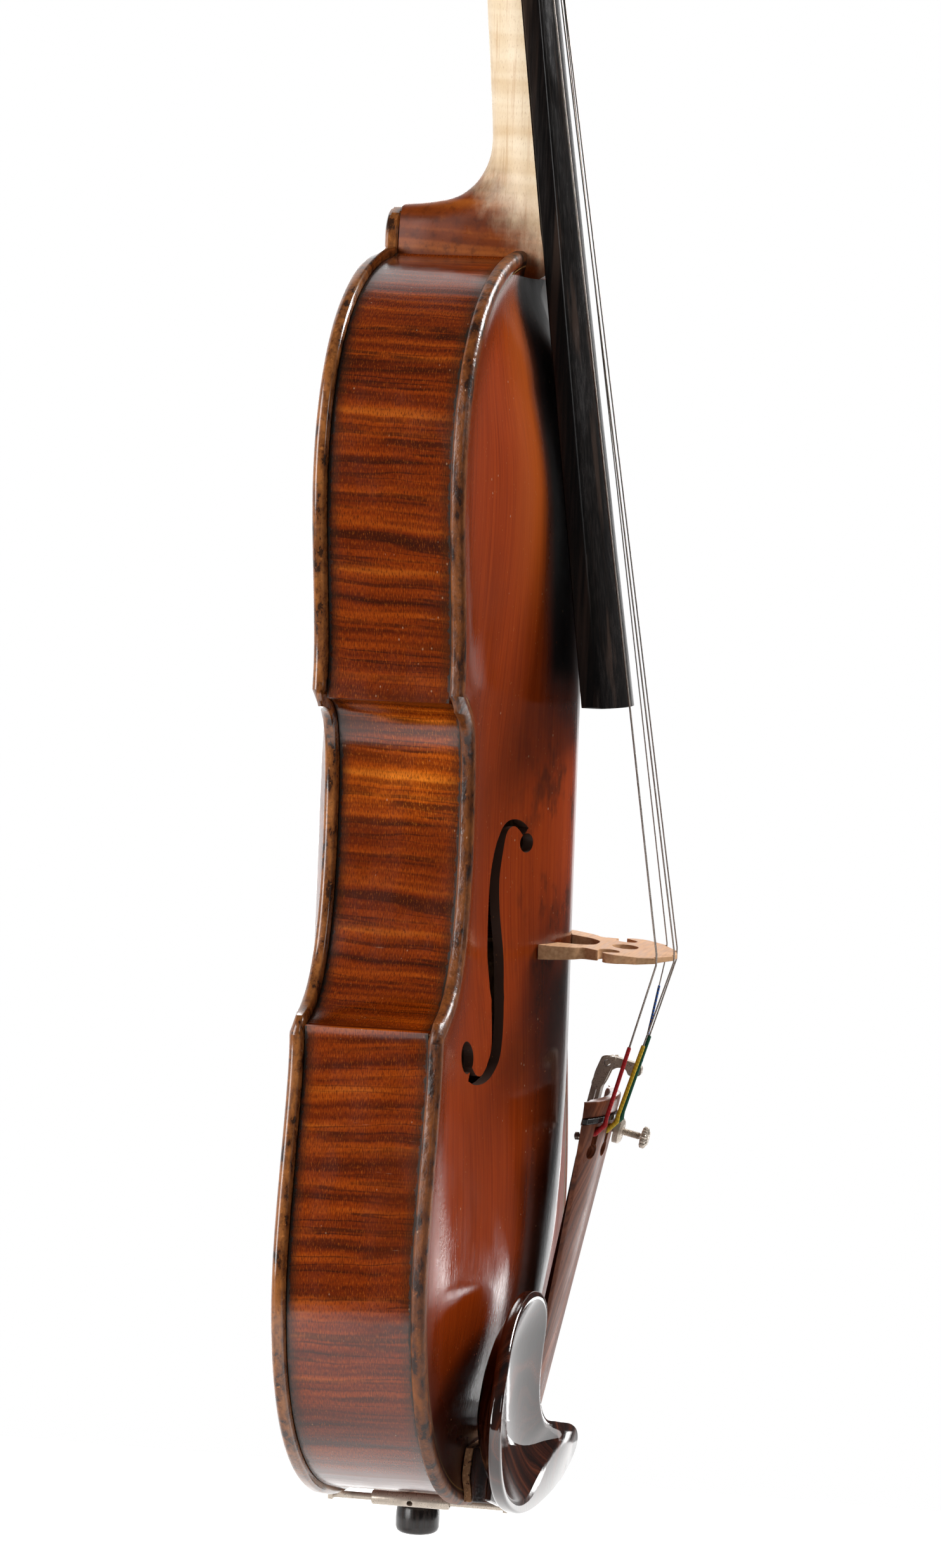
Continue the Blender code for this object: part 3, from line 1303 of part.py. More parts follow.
def make_tuner():
    """Fine tuner: frame under the tailpiece, lever on a pin, and a thumb screw."""
    mat = MATERIALS["nickel"]
    middle = string_x(3, TAIL_STRING_SPREAD)
    half = TUNER_WIDTH / 2
    reach = TUNER_SCREW_OFFSET + 0.0035
    ear = [(0.0026, 0.0030), (-0.0022, 0.0010), (-0.0036, -0.0085), (-0.0006, -0.0100),
           (0.0008, -0.0064)]
    base = [(0.0, -0.0060), (-TUNER_BASE, -0.0060), (-TUNER_BASE, -reach), (0.0, -reach)]
    frame = prism("tuner_frame", tuner_profile(base), middle - half, middle + half, mat, sideways)
    for label, low in (("near", middle - half), ("far", middle + half - TUNER_WALL)):
        fuse(frame, prism(f"tuner_ear_{label}", tuner_profile(ear), low, low + TUNER_WALL, mat, sideways))
    pin_y, pin_z = tuner_point(0, 0)
    pin_length = TUNER_WIDTH + 0.0008
    pin_start = (middle - pin_length / 2, pin_y, pin_z)
    bore = TUNER_PIN_RADIUS + SEAT
    cut(frame, turned("tuner_frame_hole", [(-0.002, bore), (pin_length + 0.002, bore)],
                      pin_start, (1, 0, 0), mat, 12))
    turned("tuner_pin", [(0, TUNER_PIN_RADIUS), (pin_length, TUNER_PIN_RADIUS)],
           pin_start, (1, 0, 0), mat, 12)
    lever_half = half - TUNER_WALL - SEAT - 0.0001
    tail = -TUNER_TAIL
    lever = [(-0.0024, 0.0016), (-0.0004, 0.0024), (TUNER_ARM - 0.0010, 0.0021),
             (TUNER_ARM + 0.0008, 0.0012), (TUNER_ARM + 0.0010, -0.0016), (TUNER_ARM - 0.0030, -0.0026),
             (TUNER_ARM - 0.0042, -0.0006), (0.0034, -0.0008), (0.0018, -0.0024),
             (tail + 0.0002, -0.0044), (tail, -TUNER_LEVER), (2 * tail, -TUNER_LEVER), (-0.0034, -0.0040)]
    arm = prism("tuner_lever", tuner_profile(lever), middle - lever_half, middle + lever_half, mat, sideways)
    cut(arm, turned("tuner_lever_hole", [(-0.002, bore), (pin_length + 0.002, bore)],
                    pin_start, (1, 0, 0), mat, 12))
    slope = math.atan(TAIL_SLOPE)
    out = (0, -math.cos(slope), -math.sin(slope))
    start = screw_start()
    thread = TUNER_SCREW_RADIUS + SEAT + 0.0001
    cut(frame, turned("tuner_frame_thread", [(-0.003, thread), (0.006, thread)], start, out, mat, 12))
    turned("tuner_screw", [(0, TUNER_SCREW_RADIUS), (TUNER_SCREW_LENGTH, TUNER_SCREW_RADIUS)],
           start, out, mat, 12)
    nut_low = outer_offset(start) + SEAT + 0.0006
    rim = [(nut_low, 0.0044), (nut_low + 0.0018, 0.0044), (nut_low + 0.0026, 0.0034)]
    nut = turned("tuner_ring_nut", rim, start, out, mat, 16)
    cut(nut, turned("tuner_nut_hole", [(-0.01, thread), (0.03, thread)], start, out, mat, 12))
    high = TUNER_SCREW_LENGTH
    turned("tuner_screw_head", [(high + SEAT, 0.0026), (high + 0.0004, 0.0036), (high + 0.0022, 0.0036),
                                (high + 0.0028, 0.0028)], start, out, mat, 16)
    return start, out


def screw_start():
    """Tip of the thumb screw, just over the lever's tail."""
    y, z = tuner_point(SEAT - TUNER_TAIL, -TUNER_SCREW_OFFSET)
    return (string_x(3, TAIL_STRING_SPREAD), y, z)


def outer_offset(start):
    """Distance along the screw from its tip to the face of the tailpiece."""
    x, y, z = start
    slope = math.atan(TAIL_SLOPE)
    best = min(range(400), key=lambda k: abs(
        y - math.cos(slope) * k * 5e-5 - tail_top(x - 0.003, z - math.sin(slope) * k * 5e-5)))
    return best * 5e-5


def cut_tuner_hole(tail, start, out, mat):
    cut(tail, turned("tail_screw_hole", [(0.0005, 0.0020), (0.03, 0.0020)], start, out, mat, 12))


def rim_height(x, z):
    """Rim of the chinrest over the edge of the belly."""
    height = CHIN_RIM
    for at_x, at_z, wide, tall, rise in CHIN_RISES:
        height += rise * math.exp(-(((x - at_x) / wide) ** 2 + ((z - at_z) / tall) ** 2))
    return height


def make_chinrest(belly_form, mat):
    """Cup beside the tailpiece, with a broad rim that passes over the tailpiece's end."""
    crest = BELLY_PLANE - PLATE_EDGE
    outline = [Vector(p) for p in smooth_path(list(CHIN_LINE) + [CHIN_LINE[0]], 2)[:-1]]
    cup = [Vector(p) for p in smooth_path(list(CUP_LINE) + [CUP_LINE[0]], 2)[:-1]]
    centre = Vector(CUP_CENTRE)
    count = len(outline)
    verts, faces, levels = [], [], []

    def ring(points, drop):
        levels.append(len(verts))
        for x, z in points:
            verts.append((x, crest - rim_height(x, z) + drop, z))

    def from_edge(distance):
        return [a + (b - a).normalized() * distance for a, b in zip(outline, cup)]

    def in_cup(share):
        return [centre + (p - centre) * share for p in cup]

    def bowl(share):
        return CHIN_BOWL * (1 - min(1.0, share) ** CHIN_BOWL_POWER)

    def close(start, end, drop_low, drop_high):
        """Faces between the rings, and a point in the middle of the first and the last."""
        middle = crest - rim_height(*centre)
        for a, b in zip(levels[start:end - 1], levels[start + 1:end]):
            for i in range(count):
                j = (i + 1) % count
                faces.append((a + i, a + j, b + j, b + i))
        low, high = len(verts), len(verts) + 1
        verts.extend([(centre.x, middle + drop_low, centre.y), (centre.x, middle + drop_high, centre.y)])
        for i in range(count):
            j = (i + 1) % count
            faces.append((levels[start] + j, levels[start] + i, low))
            faces.append((levels[end - 1] + i, levels[end - 1] + j, high))

    ring(in_cup(0.45), CHIN_WALL + bowl(0.45))
    ring(in_cup(0.90), CHIN_WALL + bowl(0.90))
    ring(from_edge(0.0012), CHIN_WALL)
    ring(outline, CHIN_WALL - 0.0012)
    ring(outline, 0.0012)
    ring(from_edge(0.0005), 0.0003)
    ring(from_edge(0.0014), 0.0)
    ring(in_cup(0.98), 0.0)
    ring(in_cup(0.50), 0.0)
    close(0, len(levels), CHIN_WALL + CHIN_BOWL, 0.0)
    chin = solid("chinrest", verts, faces, mat, 60)
    under = crest - BRACKET_RISE - BRACKET_WALL / 2 - SEAT
    fuse(chin, prism("chin_foot", CHIN_FOOT, crest - CHIN_RIM + CHIN_WALL - 0.0015, under, mat, across))
    fuse(chin, fitted_pad("chin_pad_foot", belly_form, CHIN_CORK + SEAT, under - 0.001, mat))
    verts, faces, levels = [], [], []
    for share in (0.45, 0.80, 0.95):
        ring(in_cup(share), bowl(share))
    ring(cup, 0.0)
    ring(in_cup(1.01), -0.0015)
    close(0, len(levels), CHIN_BOWL, -0.0015)
    cut(chin, solid("chin_cup", verts, faces, mat, 60))
    return chin


def fitted_pad(name, belly_form, gap, top, mat):
    """Pad whose underside follows the belly at a distance; a number below 0 is a flat top."""
    steps = 5
    rings = []
    for i in range(steps):
        x = CORK_SIDES[0] + (CORK_SIDES[1] - CORK_SIDES[0]) * i / (steps - 1)
        low, high = [], []
        for k in range(steps):
            z = CORK_ENDS[0] + (CORK_ENDS[1] - CORK_ENDS[0]) * k / (steps - 1)
            near = [belly_form.face_y(x, z + dz, True) for dz in (0.0, CORK_REACH)]
            y = min(near) - SEAT - gap
            low.append((x, y, z))
            high.append((x, top if top < 0 else y - top, z))
        rings.append(low + high[::-1])
    return loft(name, rings, mat)


def make_chin_clamp(belly_form):
    """Cork pad, two hooked brackets and the barrels that draw them together."""
    nickel, cork = MATERIALS["nickel"], MATERIALS["cork"]
    crest = BELLY_PLANE - PLATE_EDGE
    fitted_pad("chinrest_cork", belly_form, 0.0, CHIN_CORK, cork)
    low, rise, half = -CLAMP_DROP, BARREL_LENGTH / 2, BRACKET_WALL / 2
    centre = barrel_centre()
    top_y = crest - BRACKET_RISE
    foot_y = back_plane(0) + PLATE_EDGE + half + SEAT
    for name, outline, plate_y, side in (("clamp_top", BRACKET_OUTLINE, top_y, -1),
                                         ("clamp_foot", FOOT_OUTLINE, foot_y, 1)):
        bracket = prism(name, outline, plate_y - half, plate_y + half, nickel, across)
        grip = centre + side * (rise - ROD_GRIP)
        length = abs(plate_y - grip)
        for sign in (-1, 1):
            rod = turned(f"{name}_rod_{sign}", [(0, ROD_RADIUS), (length, ROD_RADIUS)],
                         (sign * CLAMP_SPREAD / 2, grip, low), (0, side, 0), nickel, 12)
            fuse(bracket, rod)
    bore = ROD_RADIUS + SEAT
    for label, sign in (("bass", -1), ("treble", 1)):
        x = sign * CLAMP_SPREAD / 2
        body = [(0, BARREL_RADIUS - 0.0004), (0.0005, BARREL_RADIUS),
                (BARREL_LENGTH - 0.0005, BARREL_RADIUS), (BARREL_LENGTH, BARREL_RADIUS - 0.0004)]
        barrel = turned(f"clamp_barrel_{label}", body, (x, centre - rise, low), (0, 1, 0), nickel, 16)
        cut(barrel, turned(f"barrel_bore_{label}", [(-0.001, bore), (BARREL_LENGTH + 0.001, bore)],
                           (x, centre - rise, low), (0, 1, 0), nickel, 12))
        cut(barrel, turned(f"barrel_key_{label}", [(-0.006, BARREL_KEY), (0.006, BARREL_KEY)],
                           (x, centre, low), (math.cos(0.4), 0, math.sin(0.4)), nickel, 10))


def barrel_centre():
    """Middle of a clamp barrel, a little nearer to the belly than to the back."""
    return (BELLY_PLANE + back_plane(0)) / 2 - BARREL_OFFSET


def make_tail_end(ebony, cord):
    """Saddle, end button and the cord that ties the tailpiece to it."""
    half = SADDLE_WIDTH / 2
    crest = BELLY_PLANE - PLATE_EDGE
    top = crest - SADDLE_RISE
    profile = [(BELLY_PLANE - SEAT, 0.0030), (top + 0.001, 0.0000), (top, 0.0014), (top, 0.0040),
               (crest - 0.0004, SADDLE_DEPTH - 0.0002), (BELLY_PLANE - SEAT, SADDLE_DEPTH - 0.0002)]
    prism("saddle", profile, -half, half, ebony, sideways)
    neck_radius = 0.0050
    shape = [(0.018, 0.0036), (OVERHANG, 0.0042), (OVERHANG - SEAT, 0.0068), (0.0012, 0.0070),
             (0.0004, neck_radius), (-0.0040, neck_radius), (-0.0056, 0.0066), (-0.0090, BUTTON_RADIUS),
             (-0.0130, BUTTON_RADIUS), (-BUTTON_END, 0.0056)]
    turned("end_button", [(-z, radius) for z, radius in shape], (0, 0, 0), (0, 0, -1), ebony, 20)
    gut_z = TAIL_END_HEIGHT + TAIL_GUT_RISE
    gut_y = tail_top(0, gut_z) + TAIL_GUT_DEPTH
    radius, x = TAILGUT_DIAMETER / 2, TAIL_GUT_SPREAD / 2
    around = neck_radius + radius + SEAT
    saddle_y = top - radius - 3 * SEAT
    bend = -0.0018
    one = [(x, gut_y, gut_z + 0.006), (x, gut_y, gut_z - 0.004), (x, gut_y, gut_z - 0.0085),
           (x + 0.0004, saddle_y, 0.0045), (x + 0.0006, saddle_y - 0.0001, 0.0014),
           (x + 0.0008, crest - 0.0024, -0.0016), (around, -0.012, bend)]
    loop = []
    for k in range(9):
        a = math.pi * k / 8
        loop.append((around * math.cos(a), around * math.sin(a), bend))
    other = [(-x, y, z) for x, y, z in one][::-1]
    tube("tailgut", one + loop + other, radius, cord)


def place_all():
    """Hang every piece on one frame empty, whose origin is the point the yoke holds."""
    y, z = hanger_point()
    frame = bpy.data.objects.new("viola_frame", None)
    bpy.context.scene.collection.objects.link(frame)
    for piece in list(bpy.data.objects):
        if piece is not frame:
            piece.parent = frame
    frame.location = (0, -y, -z)


def hanger_point():
    z = NUT_HEIGHT + HANGER_RISE
    return (head_front(z) + head_back(z)) / 2, z


def main():
    clear_scene()
    make_materials()
    maple, ebony, spruce = MATERIALS["maple_varnish"], MATERIALS["ebony"], MATERIALS["bare_spruce"]
    belly_form, back_form = make_plates()
    make_ribs(maple)
    make_blocks(spruce)
    make_linings(spruce)
    make_inside(belly_form, back_form, spruce)
    neck = make_neck(maple)
    make_fingerboard(ebony)
    make_nut(ebony)
    make_pegs(neck, ebony)
    make_bridge(belly_form, MATERIALS["bare_maple"])
    tail = make_tailpiece(MATERIALS["rosewood"])
    fret_solid("tailpiece_fret", 0.0, ebony)
    start, out = make_tuner()
    cut_tuner_hole(tail, start, out, MATERIALS["rosewood"])
    make_strings()
    make_chinrest(belly_form, MATERIALS["rosewood"])
    make_chin_clamp(belly_form)
    make_tail_end(ebony, MATERIALS["gut_cord"])
    place_all()


main()
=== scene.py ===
"""Looks of the viola: fine surfaces, materials, camera and studio light."""

import json
import math

import bmesh
import bpy
import numpy as np
from mathutils import Matrix, Vector
from mathutils.bvhtree import BVHTree
from mathutils.kdtree import KDTree

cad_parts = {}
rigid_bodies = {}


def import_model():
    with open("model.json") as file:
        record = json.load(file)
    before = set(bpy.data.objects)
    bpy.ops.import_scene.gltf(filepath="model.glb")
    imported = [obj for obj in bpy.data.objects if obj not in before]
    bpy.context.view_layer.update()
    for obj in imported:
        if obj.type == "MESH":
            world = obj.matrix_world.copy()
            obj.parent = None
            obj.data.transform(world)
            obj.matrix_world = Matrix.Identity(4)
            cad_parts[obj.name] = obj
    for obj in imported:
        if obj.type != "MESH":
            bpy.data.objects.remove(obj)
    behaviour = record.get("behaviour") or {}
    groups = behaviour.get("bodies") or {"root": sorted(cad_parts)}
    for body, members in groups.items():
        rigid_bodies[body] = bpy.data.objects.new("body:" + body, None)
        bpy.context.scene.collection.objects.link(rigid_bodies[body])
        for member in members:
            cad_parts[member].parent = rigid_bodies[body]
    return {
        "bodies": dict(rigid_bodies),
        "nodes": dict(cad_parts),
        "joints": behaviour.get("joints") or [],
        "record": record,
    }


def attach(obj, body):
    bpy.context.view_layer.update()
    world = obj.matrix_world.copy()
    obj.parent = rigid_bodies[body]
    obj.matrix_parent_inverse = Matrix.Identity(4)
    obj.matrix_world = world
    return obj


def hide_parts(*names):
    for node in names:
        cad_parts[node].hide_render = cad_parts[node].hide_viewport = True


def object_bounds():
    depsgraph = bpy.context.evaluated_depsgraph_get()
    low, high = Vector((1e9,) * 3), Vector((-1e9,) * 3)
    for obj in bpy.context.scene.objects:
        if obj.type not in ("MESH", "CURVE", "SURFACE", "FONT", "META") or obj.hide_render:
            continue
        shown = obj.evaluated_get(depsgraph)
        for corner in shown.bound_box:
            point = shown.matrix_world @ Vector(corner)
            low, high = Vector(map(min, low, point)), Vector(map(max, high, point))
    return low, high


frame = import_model()
CAD_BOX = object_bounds()
NODES = frame["nodes"]
RECORD = frame["record"]
BODY_OF = {node: body for body, nodes in RECORD["behaviour"]["bodies"].items() for node in nodes}
SLOT_OF = {part["node"]: part["material_slot"] for part in RECORD["subparts"]}

# Camera, from the photograph: degrees and metres
CAMERA_AZIMUTH = 11.773
CAMERA_ELEVATION = 4.6
CAMERA_ROLL = 2.094
CAMERA_DISTANCE = 1.70032
CAMERA_TARGET = (0.0, -0.028248, -0.400355)
CAMERA_LENS = 120.0
FLOOR_DROP = 0.10
BACKDROP_WAY = (0.707, 0.707, 0.0)

# Sizes of the part, which the fine surfaces repeat
SEAT = 0.0003
BODY_LENGTH = 0.406
LOWER_BOUT, LOWER_BOUT_HEIGHT = 0.232, 0.087
UPPER_BOUT, UPPER_BOUT_HEIGHT = 0.202, 0.333
WAIST, WAIST_HEIGHT = 0.140, 0.222
LOWER_CORNER, LOWER_CORNER_HEIGHT = 0.2052, 0.1637
UPPER_CORNER, UPPER_CORNER_HEIGHT = 0.1794, 0.2645
OVERHANG = 0.0028
CORNER_CUT = 0.0016
RIB_BOTTOM, RIB_TOP, RIB_WALL = 0.0400, 0.0388, 0.0012
PLATE_EDGE = 0.0044
PLATE_WALL = 0.0032
EDGE_LAND = 0.0030
CHANNEL = 0.0095
CHANNEL_DIP = 0.0009
GLUE_LAND = 0.0095
BELLY_ARCH, BACK_ARCH = 0.0188, 0.0165
ARCH_POWER = 1.75
LONG_ARCH_POWER = 2.3
LONG_ARCH_REACH = 0.160
SPINE_MARGIN = 0.045
BELLY_PLANE = -RIB_BOTTOM / 2
BUTTON_WIDTH, BUTTON_RISE = 0.027, 0.0136
MORTISE, HEEL_RISE, HEEL_FLARE = 0.0085, 0.0135, 0.0035
F_EYES = ((0.0306, 0.2173, 0.0031), (0.0704, 0.1526, 0.0051))
F_STEM = ((0.0310, 0.2208, 0.0034), (0.0333, 0.2228, 0.0030), (0.0360, 0.2240, 0.0023),
          (0.0387, 0.2238, 0.0024), (0.0409, 0.2223, 0.0028), (0.0424, 0.2196, 0.0033),
          (0.0440, 0.2150, 0.0044), (0.0458, 0.2070, 0.0050), (0.0464, 0.1960, 0.0063),
          (0.0464, 0.1820, 0.0087), (0.0469, 0.1680, 0.0072), (0.0480, 0.1590, 0.0066),
          (0.0498, 0.1520, 0.0060), (0.0530, 0.1480, 0.0052), (0.0565, 0.1456, 0.0038),
          (0.0605, 0.1444, 0.0026), (0.0650, 0.1451, 0.0034), (0.0688, 0.1474, 0.0054))
NUT_HEIGHT = BODY_LENGTH + 0.1500
NUT_THICK = 0.0060
NUT_RADIUS = 0.0450
BOARD_END_HEIGHT = NUT_HEIGHT - 0.2954
BOARD_NUT_WIDTH, BOARD_END_WIDTH = 0.0250, 0.0445
BOARD_SIDE = 0.0058
BOARD_RADIUS = 0.0400
BOARD_HOLLOW = 0.0030
BOARD_UNDER_AT_EDGE = 0.0295
BOARD_SLOPE = 0.1310
STRING_OVER_BOARD = 0.0009
NECK_BACK_AT_HEEL, NECK_BACK_SLOPE = 0.0090, 0.086
HEEL_CURVE = ((0.15, 0.0100, 0.0010, 0.48), (0.35, 0.0035, 0.0021, 0.52),
              (0.57, -0.0020, 0.0045, 0.60), (0.79, -0.0062, 0.0100, 0.72))
EYE_RISE, EYE_SETBACK = 0.0950, 0.0219
SCROLL_RADIUS, SCROLL_TURNS, SCROLL_SHRINK, SCROLL_STEP = 0.0225, 2.35, 0.55, 0.0012
HEAD_WALL, HEAD_FLOOR = 0.0052, 0.0042
HEEL_EASED = (6, 34)
HEAD_FRONT = ((0.0075, 0.0011), (0.0240, 0.0054), (0.0440, 0.0105), (0.0620, 0.0147),
              (0.0760, 0.0177), (0.0830, 0.0184))
HEAD_BACK = ((0.0090, 0.0199), (0.0180, 0.0235), (0.0340, 0.0285), (0.0590, 0.0361),
             (0.0800, 0.0417), (0.0945, 0.0441))
HEAD_HALF_WIDTH = ((0.0, 0.0130), (0.012, 0.0148), (0.034, 0.0140), (0.059, 0.0122),
                   (0.080, 0.0104), (0.095, 0.0097))
SCROLL_HALF_WIDTH = ((0.0, 0.0097), (0.25, 0.0072), (0.5, 0.0070), (0.75, 0.0092), (1.0, 0.0118),
                     (1.5, 0.0160), (2.0, 0.0195), (2.35, 0.0215))
PEGS = (("peg_c", -1, 0.0195, 0.6), ("peg_a", 1, 0.0330, -0.4),
        ("peg_g", -1, 0.0500, -0.4), ("peg_d", 1, 0.0650, 0.6))
PEG_RADIUS, PEG_TAPER, PEG_CLEARANCE, PEG_TAIL, PEG_NECK = 0.0040, 0.0009, 0.0003, 0.0015, 0.0105
BRIDGE_HEIGHT, BRIDGE_LIFT = 0.1820, 0.0061
BRIDGE_FEET, BRIDGE_TOP_WIDTH = 0.0500, 0.0480
BRIDGE_TOP_THICK, BRIDGE_FOOT_THICK = 0.0016, 0.0048
BRIDGE_RADIUS = 0.0400
BRIDGE_HEART = (0.487, 0.162, 0.117, 0.033)
BRIDGE_LEAN = 0.0027
STRING_GROOVE = 0.0003
STRINGS = (("string_c", "peg_c", 0.0012, 0.0028), ("string_g", "peg_g", 0.0010, 0.0014),
           ("string_d", "peg_d", 0.0009, 0.0009), ("string_a", "peg_a", 0.0008, 0.0040))
STRING_SPREAD_BRIDGE, STRING_SPREAD_NUT = 0.0355, 0.0170
SILK_DIAMETER = 0.0017
STRING_SHOWN, SILK_SHOWN = 0.54, 0.78
TAIL_END_HEIGHT, TAIL_LENGTH = 0.0160, 0.1180
TAIL_TOP_HEIGHT = TAIL_END_HEIGHT + TAIL_LENGTH
TAIL_TOP_WIDTH, TAIL_END_WIDTH = 0.0440, 0.0220
TAIL_SLOPE = 0.2180
TAIL_CROWN_Y = 0.0363 + TAIL_SLOPE * TAIL_LENGTH
TAIL_SAG, TAIL_WALL, TAIL_END_DEPTH = 0.0070, 0.0042, 0.0080
TAIL_FRET_DROP, TAIL_FRET_HALF = 0.0065, 0.0011
TAIL_SLIT_DROP, TAIL_HOLE_DROP, TAIL_HOLE_RADIUS = 0.0100, 0.0170, 0.0026
TAIL_STRING_SPREAD = 0.0270
TAIL_GUT_SPREAD, TAIL_GUT_RISE, TAIL_GUT_DEPTH = 0.0104, 0.0060, 0.0040
TAILGUT_DIAMETER = 0.0022
TUNER_PIN_SINK, TUNER_PIN_RISE = 0.0065, 0.0089
TUNER_ARM, TUNER_SCREW_OFFSET, TUNER_TAIL = 0.0105, 0.0210, 0.0018
TUNER_SCREW_RADIUS, TUNER_SCREW_LENGTH = 0.0012, 0.0178
TUNER_WIDTH, TUNER_WALL, TUNER_PIN_RADIUS = 0.0060, 0.0010, 0.0008
TUNER_BASE, TUNER_LEVER = 0.0012, 0.0230
CHIN_LINE = ((0.0230, 0.0110), (0.0215, 0.0175), (0.0140, 0.0220), (0.0020, 0.0250),
             (-0.0100, 0.0285), (-0.0180, 0.0370), (-0.0200, 0.0500), (-0.0235, 0.0640),
             (-0.0330, 0.0730), (-0.0460, 0.0750), (-0.0640, 0.0695), (-0.0800, 0.0590),
             (-0.0900, 0.0440), (-0.0865, 0.0280), (-0.0730, 0.0145), (-0.0500, 0.0050),
             (-0.0240, 0.0008), (0.0020, 0.0010), (0.0160, 0.0045))
CUP_LINE = ((-0.0020, 0.0180), (0.0000, 0.0195), (-0.0010, 0.0210), (-0.0060, 0.0235),
            (-0.0135, 0.0275), (-0.0202, 0.0375), (-0.0223, 0.0500), (-0.0258, 0.0630),
            (-0.0340, 0.0706), (-0.0460, 0.0725), (-0.0627, 0.0673), (-0.0780, 0.0575),
            (-0.0875, 0.0437), (-0.0840, 0.0290), (-0.0712, 0.0165), (-0.0510, 0.0090),
            (-0.0330, 0.0075), (-0.0200, 0.0105), (-0.0100, 0.0145))
CUP_CENTRE = (-0.0500, 0.0360)
CHIN_RIM = 0.0185
CHIN_RISES = ((-0.0880, 0.0450, 0.0300, 0.0300, 0.0017), (-0.0300, 0.0680, 0.0180, 0.0180, 0.0030),
              (0.0180, 0.0170, 0.0240, 0.0140, 0.0058))
CHIN_BOWL, CHIN_WALL = 0.0072, 0.0042
BOWL_REACH = 0.0215
CHIN_FOOT = ((-0.0580, 0.0100), (-0.0400, 0.0045), (-0.0190, 0.0022), (0.0185, 0.0040),
             (0.0185, 0.0100), (-0.0190, 0.0115), (-0.0190, 0.0260), (-0.0520, 0.0300))
CHIN_CORK = 0.0023
CORK_SIDES, CORK_ENDS = (-0.0460, -0.0200), (0.0065, 0.0240)
CLAMP_SPREAD, CLAMP_DROP = 0.0320, 0.0010
BARREL_LENGTH, BARREL_RADIUS, BARREL_KEY, BARREL_OFFSET = 0.0260, 0.0024, 0.0010, 0.0010
ROD_RADIUS, ROD_GRIP = 0.0012, 0.0100
BRACKET_RISE, BRACKET_WALL = 0.0084, 0.0016
SADDLE_WIDTH, SADDLE_DEPTH, SADDLE_RISE = 0.0285, 0.0062, 0.0030
BUTTON_RADIUS, BUTTON_END = 0.0072, 0.0150
CREST = BELLY_PLANE - PLATE_EDGE

# Points of the outline between two of the part's own
FINE = 5

SILKS = {"string_c": (0.50, 0.004, 0.008), "string_g": (0.72, 0.46, 0.01), "string_d": (0.0, 0.095, 0.045),
         "string_a": (0.002, 0.100, 0.50)}


def body_bottom():
    """Lowest point of the body on the centre line, from the record's end button."""
    mount = next(m for m in RECORD["mounts"] if m["name"] == "end_button_face")
    return Vector(mount["pos_m"]) + Vector((0, 0, BUTTON_END))


ORIGIN = body_bottom()


